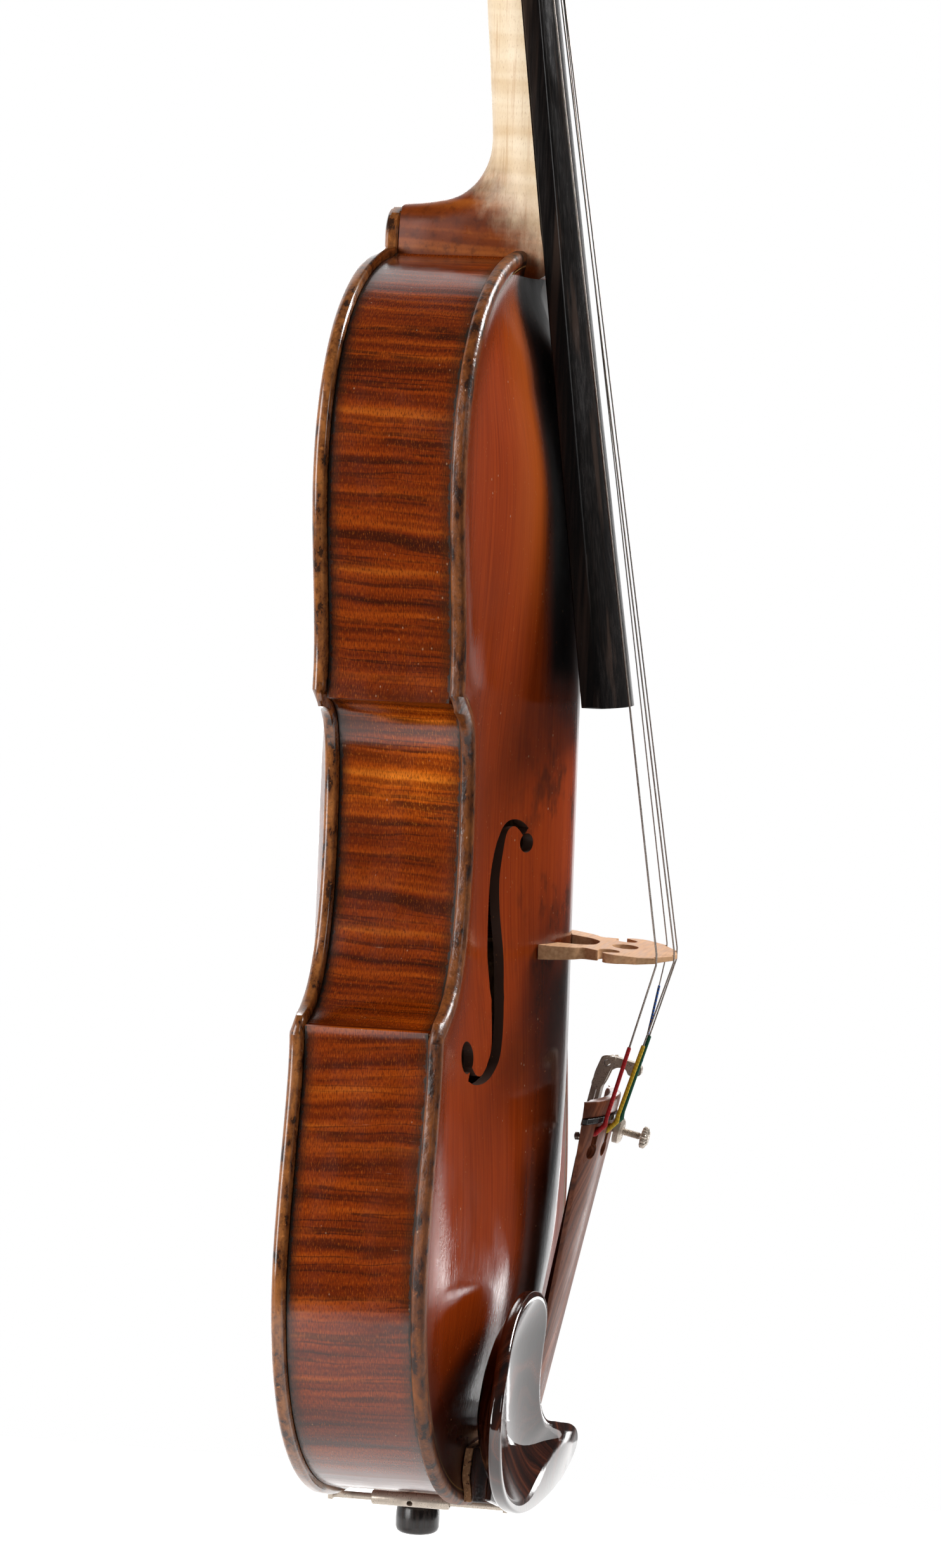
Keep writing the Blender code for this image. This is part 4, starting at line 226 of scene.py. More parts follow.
class Shade:
    """One material and its nodes."""

    def __init__(self, name):
        self.made = bpy.data.materials.new(name)
        self.made.use_nodes = True
        self.tree = self.made.node_tree
        self.shader = self.tree.nodes["Principled BSDF"]

    def node(self, kind, **settings):
        made = self.tree.nodes.new(kind)
        for key, value in settings.items():
            setattr(made, key, value)
        return made

    def join(self, value, socket):
        """Link a socket to another, or write a plain value into it."""
        if isinstance(value, bpy.types.NodeSocket):
            self.tree.links.new(value, socket)
        elif isinstance(value, (tuple, list)) and len(value) == 3 and socket.type == "RGBA":
            socket.default_value = (*value, 1.0)
        else:
            socket.default_value = value

    def place(self, stretch=(1, 1, 1), turn=(0, 0, 0)):
        """Coordinates of the mesh in metres, stretched along each axis."""
        coords = self.node("ShaderNodeTexCoord").outputs["Object"]
        mapping = self.node("ShaderNodeMapping")
        self.join(coords, mapping.inputs["Vector"])
        mapping.inputs["Scale"].default_value = stretch
        mapping.inputs["Rotation"].default_value = turn
        return mapping.outputs[0]

    def mark(self, name):
        """A number that is kept at the points or faces of the mesh."""
        return self.node("ShaderNodeAttribute", attribute_name=name).outputs["Fac"]

    def tint(self, name):
        return self.node("ShaderNodeAttribute", attribute_name=name).outputs["Color"]

    def part(self, axis):
        """One coordinate of the mesh, in metres above the body's lower end or off its middle."""
        split = self.node("ShaderNodeSeparateXYZ")
        self.join(self.node("ShaderNodeTexCoord").outputs["Object"], split.inputs[0])
        return self.math("SUBTRACT", split.outputs["XYZ".index(axis)], ORIGIN["XYZ".index(axis)])

    def gather(self, x, y, z=0.0):
        made = self.node("ShaderNodeCombineXYZ")
        for value, socket in zip((x, y, z), made.inputs):
            self.join(value, socket)
        return made.outputs[0]

    def noise(self, vector, scale, detail=3.0, rough=0.55, distortion=0.0):
        made = self.node("ShaderNodeTexNoise")
        self.join(vector, made.inputs["Vector"])
        made.inputs["Scale"].default_value = scale
        made.inputs["Detail"].default_value = detail
        made.inputs["Roughness"].default_value = rough
        made.inputs["Distortion"].default_value = distortion
        return made.outputs["Fac"]

    def cells(self, vector, scale, output="Distance", feature="F1"):
        made = self.node("ShaderNodeTexVoronoi", feature=feature)
        self.join(vector, made.inputs["Vector"])
        made.inputs["Scale"].default_value = scale
        return made.outputs[output]

    def span(self, value, low, high, to_low=0.0, to_high=1.0, smooth=True):
        """Value carried from one range to another and held at its ends."""
        made = self.node("ShaderNodeMapRange", interpolation_type="SMOOTHSTEP" if smooth else "LINEAR")
        self.join(value, made.inputs["Value"])
        for socket, number in (("From Min", low), ("From Max", high), ("To Min", to_low), ("To Max", to_high)):
            made.inputs[socket].default_value = number
        return made.outputs["Result"]

    def between(self, value, low, high, soft):
        """1 inside a range, 0 outside."""
        return self.math("MULTIPLY", self.span(value, low - soft, low), self.span(value, high, high + soft, 1.0, 0.0))

    def math(self, operation, a, b=0.0):
        made = self.node("ShaderNodeMath", operation=operation)
        self.join(a, made.inputs[0])
        self.join(b, made.inputs[1])
        return made.outputs[0]

    def mix(self, share, a, b, mode="MIX"):
        made = self.node("ShaderNodeMix", data_type="RGBA", blend_type=mode)
        self.join(share, made.inputs["Factor"])
        self.join(a, made.inputs["A"])
        self.join(b, made.inputs["B"])
        return made.outputs["Result"]

    def ramp(self, value, stops):
        made = self.node("ShaderNodeValToRGB")
        self.join(value, made.inputs["Fac"])
        keys = made.color_ramp.elements
        while len(keys) < len(stops):
            keys.new(0.5)
        for key, (at, colour) in zip(keys, stops):
            key.position = at
            key.color = (*colour, 1.0)
        return made.outputs["Color"]

    def bump(self, height, depth, strength=1.0, after=None):
        made = self.node("ShaderNodeBump")
        made.inputs["Strength"].default_value = strength
        made.inputs["Distance"].default_value = depth
        self.join(height, made.inputs["Height"])
        if after is not None:
            self.join(after, made.inputs["Normal"])
        return made.outputs["Normal"]

    def finish(self, colour, roughness, normal=None, **constants):
        self.join(colour, self.shader.inputs["Base Color"])
        self.join(roughness, self.shader.inputs["Roughness"])
        if normal is not None:
            self.join(normal, self.shader.inputs["Normal"])
        for name, value in constants.items():
            self.shader.inputs[name.replace("_", " ")].default_value = value
        return self.made


def flame_pattern(m, across=9.0):
    """Flames that cross a strip of maple, from the marks along and high of its mesh."""
    along, high = m.mark("along"), m.mark("high")
    phase = m.math("SUBTRACT", along, m.math("MULTIPLY", high, 0.05))
    sway = m.noise(m.gather(m.math("MULTIPLY", along, 30.0), m.math("MULTIPLY", high, 34.0)), 1.0, 2.0)
    phase = m.math("ADD", phase, m.math("MULTIPLY", sway, 0.0036))
    vector = m.gather(m.math("MULTIPLY", phase, 205.0), m.math("MULTIPLY", high, across))
    flame = m.noise(vector, 1.0, 2.0, 0.5)
    fine = m.noise(m.gather(m.math("MULTIPLY", phase, 330.0), m.math("MULTIPLY", high, 11.0), 3.0), 1.0, 1.0, 0.5)
    fine = m.span(m.math("ABSOLUTE", m.math("SUBTRACT", fine, 0.5)), 0.010, 0.070, 1.0, 0.0)
    broken = m.noise(m.gather(m.math("MULTIPLY", phase, 120.0), m.math("MULTIPLY", high, 95.0), 5.0), 1.0, 2.0)
    fine = m.math("MULTIPLY", fine, m.span(m.noise(vector, 0.55, 1.0), 0.36, 0.60, 0.30, 1.0))
    fine = m.math("MULTIPLY", fine, m.span(broken, 0.36, 0.54, 0.45, 1.0))
    fibre = m.noise(m.gather(m.math("MULTIPLY", along, 620.0), m.math("MULTIPLY", high, 2700.0), 7.0), 1.0, 4.0, 0.68)
    return along, high, flame, fine, fibre


def specks(m, scale, size, rarity, seed=0.0):
    """Small light marks scattered over a surface."""
    vector = m.place((1.0, 1.0, 0.6), (0.3 + seed, 0.2, 0.1))
    near = m.span(m.cells(vector, scale), size * 0.5, size, 1.0, 0.0)
    chosen = m.span(m.noise(vector, scale * 0.31, 0.0), rarity, rarity + 0.02)
    return m.math("MULTIPLY", near, chosen)


def varnished_rib():
    """Flamed maple strip under worn orange-brown varnish, dirty where it meets the plates."""
    m = Shade("rib_varnish")
    along, high, flame, fine, fibre = flame_pattern(m)
    z = m.part("Z")
    colour = m.ramp(flame, [(0.32, (0.060, 0.0070, 0.0003)), (0.42, (0.150, 0.017, 0.0005)),
                            (0.52, (0.240, 0.031, 0.0009)), (0.62, (0.330, 0.052, 0.0020)),
                            (0.74, (0.470, 0.102, 0.0070))])
    colour = m.mix(m.math("MULTIPLY", fine, 0.78), colour, (0.028, 0.0042, 0.0005))
    colour = m.mix(m.span(fibre, 0.48, 0.62, 0.0, 0.66), colour, (0.045, 0.0070, 0.0008))
    colour = m.mix(m.span(fibre, 0.34, 0.46, 0.42, 0.0), colour, (0.46, 0.110, 0.0088))
    cloud = m.noise(m.place((1.0, 1.0, 0.7)), 26.0, 3.0)
    colour = m.mix(m.span(cloud, 0.42, 0.72, 0.0, 0.40), colour, (0.110, 0.015, 0.0010))
    # Painted light: a band of the upper C ribs is lifted about threefold, standing in for the light that falls there.
    golden = m.math("MULTIPLY", m.between(z, 0.232, 0.256, 0.014), m.span(cloud, 0.35, 0.6, 0.9, 0.35))
    colour = m.mix(golden, colour, m.mix(1.0, colour, (2.2, 2.9, 3.2), "MULTIPLY"))
    # Painted shade: near the lower end of the body, where the ribs turn under, their colour goes toward a darker flat
    # brown.
    low = m.span(z, 0.004, 0.040, 0.50, 0.0)
    colour = m.mix(low, colour, (0.13, 0.026, 0.007))
    seam = m.mark("seam")
    ragged = m.noise(m.place((1.0, 1.0, 1.0)), 420.0, 4.0, 0.65)
    reach = m.math("SUBTRACT", seam, m.math("MULTIPLY", m.math("SUBTRACT", ragged, 0.42), 0.0030))
    dirt = m.span(reach, 0.0002, 0.0012, 0.95, 0.0)
    wide = m.span(reach, 0.0012, 0.0045, 0.45, 0.0)
    colour = m.mix(wide, colour, (0.050, 0.020, 0.006))
    colour = m.mix(dirt, colour, (0.012, 0.008, 0.003))
    scratch = m.noise(m.gather(m.math("MULTIPLY", along, 700.0), m.math("MULTIPLY", high, 60.0), 2.0), 1.0, 2.0, 0.7)
    lines = m.math("MULTIPLY", m.span(scratch, 0.70, 0.74), m.span(cloud, 0.50, 0.60))
    colour = m.mix(m.math("MULTIPLY", lines, 0.35), colour, (0.55, 0.34, 0.22))
    colour = m.mix(m.math("MULTIPLY", specks(m, 420.0, 0.13, 0.62), 0.5), colour, (0.52, 0.30, 0.17))
    rough = m.span(m.noise(m.place((1.0, 1.0, 0.5)), 90.0, 4.0, 0.6), 0.3, 0.7, 0.10, 0.22)
    rough = m.math("ADD", rough, m.math("MULTIPLY", dirt, 0.3))
    normal = m.bump(fibre, 0.00005, 0.35, m.bump(flame, 0.0005, 0.25))
    return m.finish(colour, rough, normal, Coat_Weight=0.15, Coat_Roughness=0.10, Coat_IOR=1.5)


def plate_edge(m, colour, edge, golden, dark, chips):
    """Worn edge bead of a plate, and the purfling inside it."""
    patch = m.noise(m.place((1.0, 1.0, 0.45)), 230.0, 4.0, 0.65)
    ragged = m.noise(m.place(), 620.0, 4.0, 0.6)
    reach = m.math("ADD", edge, m.math("MULTIPLY", m.math("SUBTRACT", ragged, 0.5), 0.0022))
    worn = m.span(reach, 0.0022, 0.0036, 0.92, 0.0)
    tone = m.mix(m.span(patch, 0.36, 0.62), golden, dark)
    tone = m.mix(m.span(patch, 0.565, 0.61, 0.0, chips), tone, (0.010, 0.006, 0.003))
    tone = m.mix(m.span(ragged, 0.52, 0.72, 0.0, 0.6), tone, (0.035, 0.018, 0.008))
    tone = m.mix(m.span(ragged, 0.26, 0.40, 0.55, 0.0), tone, tuple(min(1.0, c * 1.9) for c in golden))
    colour = m.mix(worn, colour, tone)
    line = m.math("ADD", m.between(edge, 0.00405, 0.00440, 0.00010), m.between(edge, 0.00500, 0.00535, 0.00010))
    colour = m.mix(m.between(edge, 0.0043, 0.0051, 0.0001), colour, (0.30, 0.15, 0.05))
    return m.mix(line, colour, (0.010, 0.006, 0.004)), ragged


def varnished_back():
    """Flamed maple back: two halves whose flames rise from the joint."""
    m = Shade("maple_varnish")
    along, high, flame, fine, fibre = flame_pattern(m, 5.0)
    edge = m.mark("edge")
    colour = m.ramp(flame, [(0.30, (0.090, 0.013, 0.0009)), (0.45, (0.160, 0.024, 0.0014)),
                            (0.58, (0.240, 0.042, 0.0028)), (0.75, (0.380, 0.086, 0.0090))])
    colour = m.mix(m.math("MULTIPLY", fine, 0.60), colour, (0.055, 0.008, 0.0010))
    colour = m.mix(m.span(fibre, 0.52, 0.74, 0.0, 0.35), colour, (0.050, 0.012, 0.003))
    cloud = m.noise(m.place((1.0, 1.0, 0.6)), 18.0, 3.0)
    colour = m.mix(m.span(cloud, 0.42, 0.72, 0.0, 0.5), colour, (0.10, 0.017, 0.003))
    colour = m.mix(m.span(edge, 0.003, 0.022, 0.45, 0.0), colour, (0.060, 0.012, 0.003))
    colour, ragged = plate_edge(m, colour, edge, (0.350, 0.122, 0.028), (0.135, 0.040, 0.009), 0.85)
    colour = m.mix(m.mark("bare"), colour, (0.42, 0.26, 0.13))
    colour = m.mix(m.math("MULTIPLY", specks(m, 420.0, 0.12, 0.62), 0.4), colour, (0.52, 0.30, 0.17))
    rough = m.span(m.noise(m.place(), 80.0, 4.0, 0.6), 0.3, 0.7, 0.13, 0.28)
    normal = m.bump(ragged, 0.00010, 0.35, m.bump(fibre, 0.00004, 0.3))
    return m.finish(colour, rough, normal, Coat_Weight=0.4, Coat_Roughness=0.10, Coat_IOR=1.5)


def varnished_spruce():
    """Straight-grained spruce under red-brown varnish, worn along the plate's edge."""
    m = Shade("spruce_varnish")
    edge, z, x = m.mark("edge"), m.part("Z"), m.part("X")
    grain = m.noise(m.place((1.0, 0.15, 0.006)), 2100.0, 2.0, 0.5)
    rays = m.noise(m.place((1.0, 0.3, 0.06)), 2200.0, 3.0, 0.6)
    cloud = m.noise(m.place((1.0, 1.0, 0.45)), 20.0, 4.0, 0.6)
    colour = m.ramp(grain, [(0.30, (0.240, 0.0275, 0.0026)), (0.46, (0.295, 0.0360, 0.0032)),
                            (0.60, (0.335, 0.0430, 0.0040)), (0.74, (0.370, 0.0510, 0.0052))])
    colour = m.mix(m.span(rays, 0.55, 0.75, 0.0, 0.28), colour, (0.38, 0.085, 0.016))
    colour = m.mix(m.span(cloud, 0.46, 0.74, 0.0, 0.40), colour, (0.130, 0.018, 0.0025))
    warm = m.math("MULTIPLY", m.span(z, 0.27, 0.33), m.span(m.math("ABSOLUTE", x), 0.030, 0.060, 0.45, 0.0))
    colour = m.mix(warm, colour, (0.46, 0.11, 0.018))
    colour = m.mix(m.span(edge, 0.004, 0.024, 0.62, 0.0), colour, (0.075, 0.012, 0.0022))
    # Painted shade: the belly goes nearly black towards its lower end, for the shade by the chinrest.
    colour = m.mix(m.span(z, 0.036, 0.090, 0.85, 0.0), colour, (0.030, 0.003, 0.0006))
    wander = m.math("ADD", m.math("ABSOLUTE", x), m.math("MULTIPLY", m.math("SUBTRACT", cloud, 0.5), 0.008))
    # Painted shade: a dark band down the middle of the lower belly, under the tailpiece, stands for the shade that
    # falls there.
    painted_tail_shade = m.math("MULTIPLY", m.span(wander, 0.012, 0.044, 0.92, 0.0), m.between(z, 0.020, 0.170, 0.045))
    colour = m.mix(painted_tail_shade, colour, (0.016, 0.004, 0.002))
    shaded = m.math("MULTIPLY", m.span(wander, 0.019, 0.033, 1.0, 0.0), m.span(z, 0.245, 0.275))
    colour = m.mix(shaded, colour, (0.0035, 0.0012, 0.0010))
    smudge = m.noise(m.place((1.0, 1.0, 0.5), (0.2, 0.1, 0.4)), 70.0, 4.0, 0.65)
    by_foot = m.math("MULTIPLY", m.between(z, 0.165, 0.235, 0.03), m.span(m.math("ABSOLUTE", x), 0.020, 0.045, 1.0, 0.2))
    colour = m.mix(m.math("MULTIPLY", m.span(smudge, 0.50, 0.66, 0.0, 0.7), by_foot), colour, (0.030, 0.010, 0.004))
    colour, ragged = plate_edge(m, colour, edge, (0.225, 0.068, 0.013), (0.080, 0.022, 0.005), 0.92)
    colour = m.mix(m.mark("bare"), colour, (0.045, 0.015, 0.006))
    colour = m.mix(m.math("MULTIPLY", specks(m, 330.0, 0.10, 0.60), 0.6), colour, (0.60, 0.36, 0.22))
    colour = m.mix(m.math("MULTIPLY", specks(m, 800.0, 0.18, 0.60, 0.5), 0.40), colour, (0.46, 0.17, 0.06))
    rough = m.span(m.noise(m.place((1.0, 1.0, 0.6)), 85.0, 4.0, 0.6), 0.3, 0.7, 0.08, 0.19)
    rough = m.math("ADD", rough, m.math("MULTIPLY", m.mark("bare"), 0.4))
    rough = m.math("ADD", rough, m.math("MULTIPLY", shaded, 0.25))
    rough = m.math("ADD", rough, m.span(edge, 0.003, 0.0045, 0.20, 0.0))
    rough = m.math("ADD", rough, m.math("MULTIPLY", m.span(edge, 0.012, 0.030, 0.20, 0.0), m.span(z, 0.10, 0.14, 1.0, 0.0)))
    worn = m.math("MULTIPLY", m.span(edge, 0.003, 0.0045, 1.0, 0.0), m.noise(m.place((1.0, 1.0, 0.7)), 330.0, 4.0, 0.6))
    normal = m.bump(worn, 0.0009, 0.5, m.bump(ragged, 0.00012, 0.4, m.bump(grain, 0.00006, 0.30, m.bump(cloud, 0.0006, 0.07))))
    return m.finish(colour, rough, normal, Specular_IOR_Level=0.5)


def neck_maple():
    """Maple neck: pale where the hand runs, varnished on heel and head."""
    m = Shade("neck_maple")
    along, high, flame, fine, fibre = flame_pattern(m, 8.0)
    z = m.part("Z")
    varnish = m.ramp(flame, [(0.28, (0.060, 0.010, 0.002)), (0.50, (0.190, 0.036, 0.0050)), (0.74, (0.40, 0.105, 0.015))])
    varnish = m.mix(m.span(fibre, 0.52, 0.74, 0.0, 0.35), varnish, (0.040, 0.010, 0.003))
    pale = m.ramp(flame, [(0.30, (0.78, 0.58, 0.36)), (0.70, (0.92, 0.76, 0.55))])
    long = m.noise(m.place((1.0, 1.0, 0.03)), 900.0, 3.0, 0.6)
    pale = m.mix(m.span(long, 0.50, 0.70, 0.0, 0.45), pale, (0.56, 0.33, 0.16))
    pale = m.mix(m.span(fibre, 0.52, 0.72, 0.0, 0.5), pale, (0.46, 0.25, 0.11))
    y = m.part("Y")
    tilted = m.math("SUBTRACT", z, m.math("MULTIPLY", m.math("ADD", y, 0.012), m.span(z, 0.42, 0.52, 1.0, 0.0)))
    edge = m.math("ADD", tilted, m.math("MULTIPLY", m.math("SUBTRACT", m.noise(m.place((1.0, 1.0, 0.5)), 160.0, 5.0, 0.65), 0.5),
                                        0.024))
    low = m.span(edge, BODY_LENGTH + 0.004, BODY_LENGTH + 0.036, 1.0, 0.0)
    stain = m.noise(m.place((1.0, 1.0, 1.0), (0.4, 0.1, 0.2)), 260.0, 5.0, 0.7)
    varnish = m.mix(m.span(stain, 0.46, 0.70, 0.0, 0.60), varnish, (0.055, 0.011, 0.003))
    varnish = m.mix(m.span(stain, 0.30, 0.44, 0.16, 0.0), varnish, (0.46, 0.135, 0.022))
    high_end = m.span(edge, NUT_HEIGHT - 0.022, NUT_HEIGHT - 0.004)
    colour = m.mix(m.math("MAXIMUM", low, high_end), pale, varnish)
    hollow = m.span(m.noise(m.place(), 160.0, 4.0), 0.50, 0.72, 0.0, 0.5)
    colour = m.mix(m.math("MULTIPLY", hollow, m.span(z, NUT_HEIGHT, NUT_HEIGHT + 0.01)), colour, (0.030, 0.010, 0.004))
    rough = m.span(m.noise(m.place(), 90.0, 4.0), 0.3, 0.7, 0.26, 0.40)
    return m.finish(colour, rough, m.bump(fibre, 0.00004, 0.3), Specular_IOR_Level=0.16)


def plain_wood(name, pale, dark, scale, rough, stretch=(1.0, 1.0, 0.04), cloudy=0.3, **constants):
    """Wood with fine pores along the instrument."""
    m = Shade(name)
    grain = m.noise(m.place(stretch), scale, 3.0)
    cloud = m.noise(m.place((1.0, 1.0, 0.5)), 60.0, 3.0)
    colour = m.mix(m.span(grain, 0.35, 0.7), pale, dark)
    colour = m.mix(m.span(cloud, 0.4, 0.8, 0.0, cloudy), colour, dark)
    low, high = rough
    return m.finish(colour, m.span(grain, 0.3, 0.7, low, high), m.bump(grain, 0.00008, 0.25), **constants)


def bridge_maple():
    """Light maple with short flecks, rays and darker patches."""
    m = Shade("bridge_maple")
    fleck = m.noise(m.place((0.06, 1.0, 1.0)), 900.0, 2.0, 0.5)
    rays = m.noise(m.place((0.10, 1.2, 1.0), (0.0, 0.0, 0.1)), 620.0, 2.0)
    cloud = m.noise(m.place(), 90.0, 3.0)
    colour = m.ramp(fleck, [(0.34, (0.50, 0.265, 0.130)), (0.50, (0.60, 0.335, 0.172)), (0.70, (0.68, 0.405, 0.220))])
    colour = m.mix(m.span(rays, 0.58, 0.68, 0.0, 0.45), colour, (0.42, 0.19, 0.085))
    colour = m.mix(m.span(cloud, 0.45, 0.75, 0.0, 0.45), colour, (0.42, 0.22, 0.11))
    return m.finish(colour, m.span(fleck, 0.3, 0.7, 0.5, 0.65), m.bump(fleck, 0.00006, 0.3), Specular_IOR_Level=0.2)


def rosewood(name, tones, rough, ior, fineness=420.0, waver=0.030):
    """Dark streaked wood; its figure runs along the piece and bends."""
    m = Shade(name)
    dark, middle, light = tones
    bend = m.noise(m.place((1.0, 1.0, 0.5)), 34.0, 2.0)
    split = m.node("ShaderNodeSeparateXYZ")
    m.join(m.place(), split.inputs[0])
    across = m.math("ADD", split.outputs[0], m.math("MULTIPLY", split.outputs[1], 0.8))
    across = m.math("ADD", across, m.math("MULTIPLY", bend, waver))
    figure = m.noise(m.gather(m.math("MULTIPLY", across, fineness), m.math("MULTIPLY", split.outputs[2], 9.0)), 1.0, 3.0, 0.6)
    pores = m.noise(m.place((1.0, 1.0, 0.05)), 2200.0, 2.0, 0.6)
    colour = m.ramp(figure, [(0.34, dark), (0.52, middle), (0.70, light)])
    colour = m.mix(m.span(pores, 0.58, 0.70, 0.0, 0.6), colour, dark)
    smear = m.noise(m.place((1.0, 1.0, 0.4)), 140.0, 4.0, 0.6)
    low, high = rough
    pits = m.noise(m.place((1.0, 1.0, 0.5)), 1500.0, 3.0, 0.6)
    normal = m.bump(pores, 0.00005, 0.4, m.bump(pits, 0.00005, 0.25, m.bump(smear, 0.0004, 0.08)))
    return m.finish(colour, m.span(smear, 0.3, 0.7, low, high), normal, IOR=ior)


def board_ebony():
    """Black board with a brown streak and dull patches."""
    m = Shade("board_ebony")
    x, z = m.part("X"), m.part("Z")
    grain = m.noise(m.place((1.0, 1.0, 0.02)), 1500.0, 3.0, 0.6)
    streak = m.noise(m.place((1.0, 1.0, 0.03)), 130.0, 3.0)
    colour = m.mix(m.span(grain, 0.35, 0.7), (0.0028, 0.0022, 0.0022), (0.010, 0.007, 0.006))
    colour = m.mix(m.span(streak, 0.56, 0.68, 0.0, 0.80), colour, (0.044, 0.027, 0.020))
    dull = m.noise(m.place((1.0, 1.0, 0.3)), 120.0, 4.0)
    rough = m.math("ADD", m.span(dull, 0.3, 0.7, 0.12, 0.26), m.span(grain, 0.4, 0.7, 0.0, 0.08))
    return m.finish(colour, rough, m.bump(grain, 0.00004, 0.3), Specular_IOR_Level=0.38)


def metal(name, colour, rough, worn=(0.30, 0.23, 0.15)):
    """Plated metal with fine scratches and worn brassy spots."""
    m = Shade(name)
    fine = m.noise(m.place(), 1900.0, 3.0)
    cloud = m.noise(m.place(), 300.0, 4.0, 0.65)
    tone = m.mix(m.span(cloud, 0.46, 0.70), colour, tuple(c * 0.82 for c in colour))
    tone = m.mix(m.span(cloud, 0.64, 0.74, 0.0, 0.5), tone, worn)
    tone = m.mix(m.math("MULTIPLY", specks(m, 1500.0, 0.16, 0.66), 0.25), tone, (0.20, 0.15, 0.11))
    rough = m.math("ADD", m.span(fine, 0.3, 0.7, rough * 0.75, rough * 1.25), m.span(cloud, 0.5, 0.7, 0.0, 0.10))
    return m.finish(tone, rough, m.bump(fine, 0.000004, 0.15), Metallic=0.45)


def wound_string():
    """Steel string with its flat winding, and coloured silk near its ends."""
    m = Shade("steel_string")
    along, silk = m.mark("along"), m.mark("silk")
    turns = m.math("SINE", m.math("MULTIPLY", along, 2 * math.pi / 0.00032))
    thread = m.math("SINE", m.math("ADD", m.math("MULTIPLY", along, 2 * math.pi / 0.0012),
                                   m.math("MULTIPLY", m.mark("round"), 2 * math.pi)))
    grime = m.noise(m.place(), 500.0, 3.0)
    steel = m.mix(m.span(turns, -0.6, 0.8), (0.20, 0.17, 0.15), (0.42, 0.38, 0.34))
    steel = m.mix(m.span(grime, 0.5, 0.7, 0.0, 0.5), steel, (0.16, 0.11, 0.08))
    cloth = m.mix(m.span(thread, -0.6, 0.4), m.mix(1.0, m.tint("dye"), (0.78, 0.78, 0.78), "MULTIPLY"), m.tint("dye"))
    bare = m.math("MULTIPLY", m.mark("twist"), m.span(thread, -0.65, -0.45, 1.0, 0.0))
    cloth = m.mix(bare, cloth, (0.20, 0.19, 0.20))
    height = m.math("MULTIPLY", m.mix_number(silk, turns, thread), 1.0)
    m.join(m.math("SUBTRACT", 1.0, silk), m.shader.inputs["Metallic"])
    return m.finish(m.mix(silk, steel, cloth), m.math("ADD", 0.32, m.math("MULTIPLY", silk, 0.4)),
                    m.bump(height, 0.00008, 0.4))


def mix_number(self, share, a, b):
    made = self.node("ShaderNodeMix", data_type="FLOAT")
    self.join(share, made.inputs["Factor"])
    self.join(a, made.inputs["A"])
    self.join(b, made.inputs["B"])
    return made.outputs["Result"]


Shade.mix_number = mix_number


def cork_sheet():
    m = Shade("cork")
    grains = m.cells(m.place(), 900.0)
    fleck = m.noise(m.place(), 700.0, 3.0)
    colour = m.mix(m.span(grains, 0.1, 0.6), (0.62, 0.33, 0.16), (0.42, 0.20, 0.09))
    colour = m.mix(m.span(fleck, 0.58, 0.66), colour, (0.08, 0.03, 0.015))
    return m.finish(colour, m.span(fleck, 0.3, 0.7, 0.7, 0.9), m.bump(fleck, 0.0003, 0.6))


MATERIALS = {
    "maple_varnish": varnished_back(),
    "spruce_varnish": varnished_spruce(),
    "bare_maple": neck_maple(),
    "bare_spruce": plain_wood("bare_spruce", (0.62, 0.44, 0.25), (0.42, 0.26, 0.13), 900.0, (0.55, 0.7)),
    "ebony": plain_wood("ebony", (0.006, 0.004, 0.004), (0.022, 0.013, 0.010), 1100.0, (0.16, 0.30)),
    "rosewood": rosewood("rosewood", ((0.007, 0.0018, 0.001), (0.030, 0.0065, 0.003), (0.105, 0.026, 0.010)),
                         (0.04, 0.09), 1.8),
    "nickel": metal("nickel", (0.60, 0.515, 0.43), 0.32),
    "steel_string": wound_string(),
    "cork": cork_sheet(),
    "gut_cord": plain_wood("gut_cord", (0.02, 0.02, 0.02), (0.05, 0.05, 0.05), 900.0, (0.45, 0.6)),
}
RIB = varnished_rib()
BRIDGE = bridge_maple()
BOARD = board_ebony()
TAIL = rosewood("rosewood_tail", ((0.034, 0.009, 0.004), (0.180, 0.052, 0.023), (0.31, 0.105, 0.050)),
                (0.26, 0.38), 1.22, 640.0, 0.012)


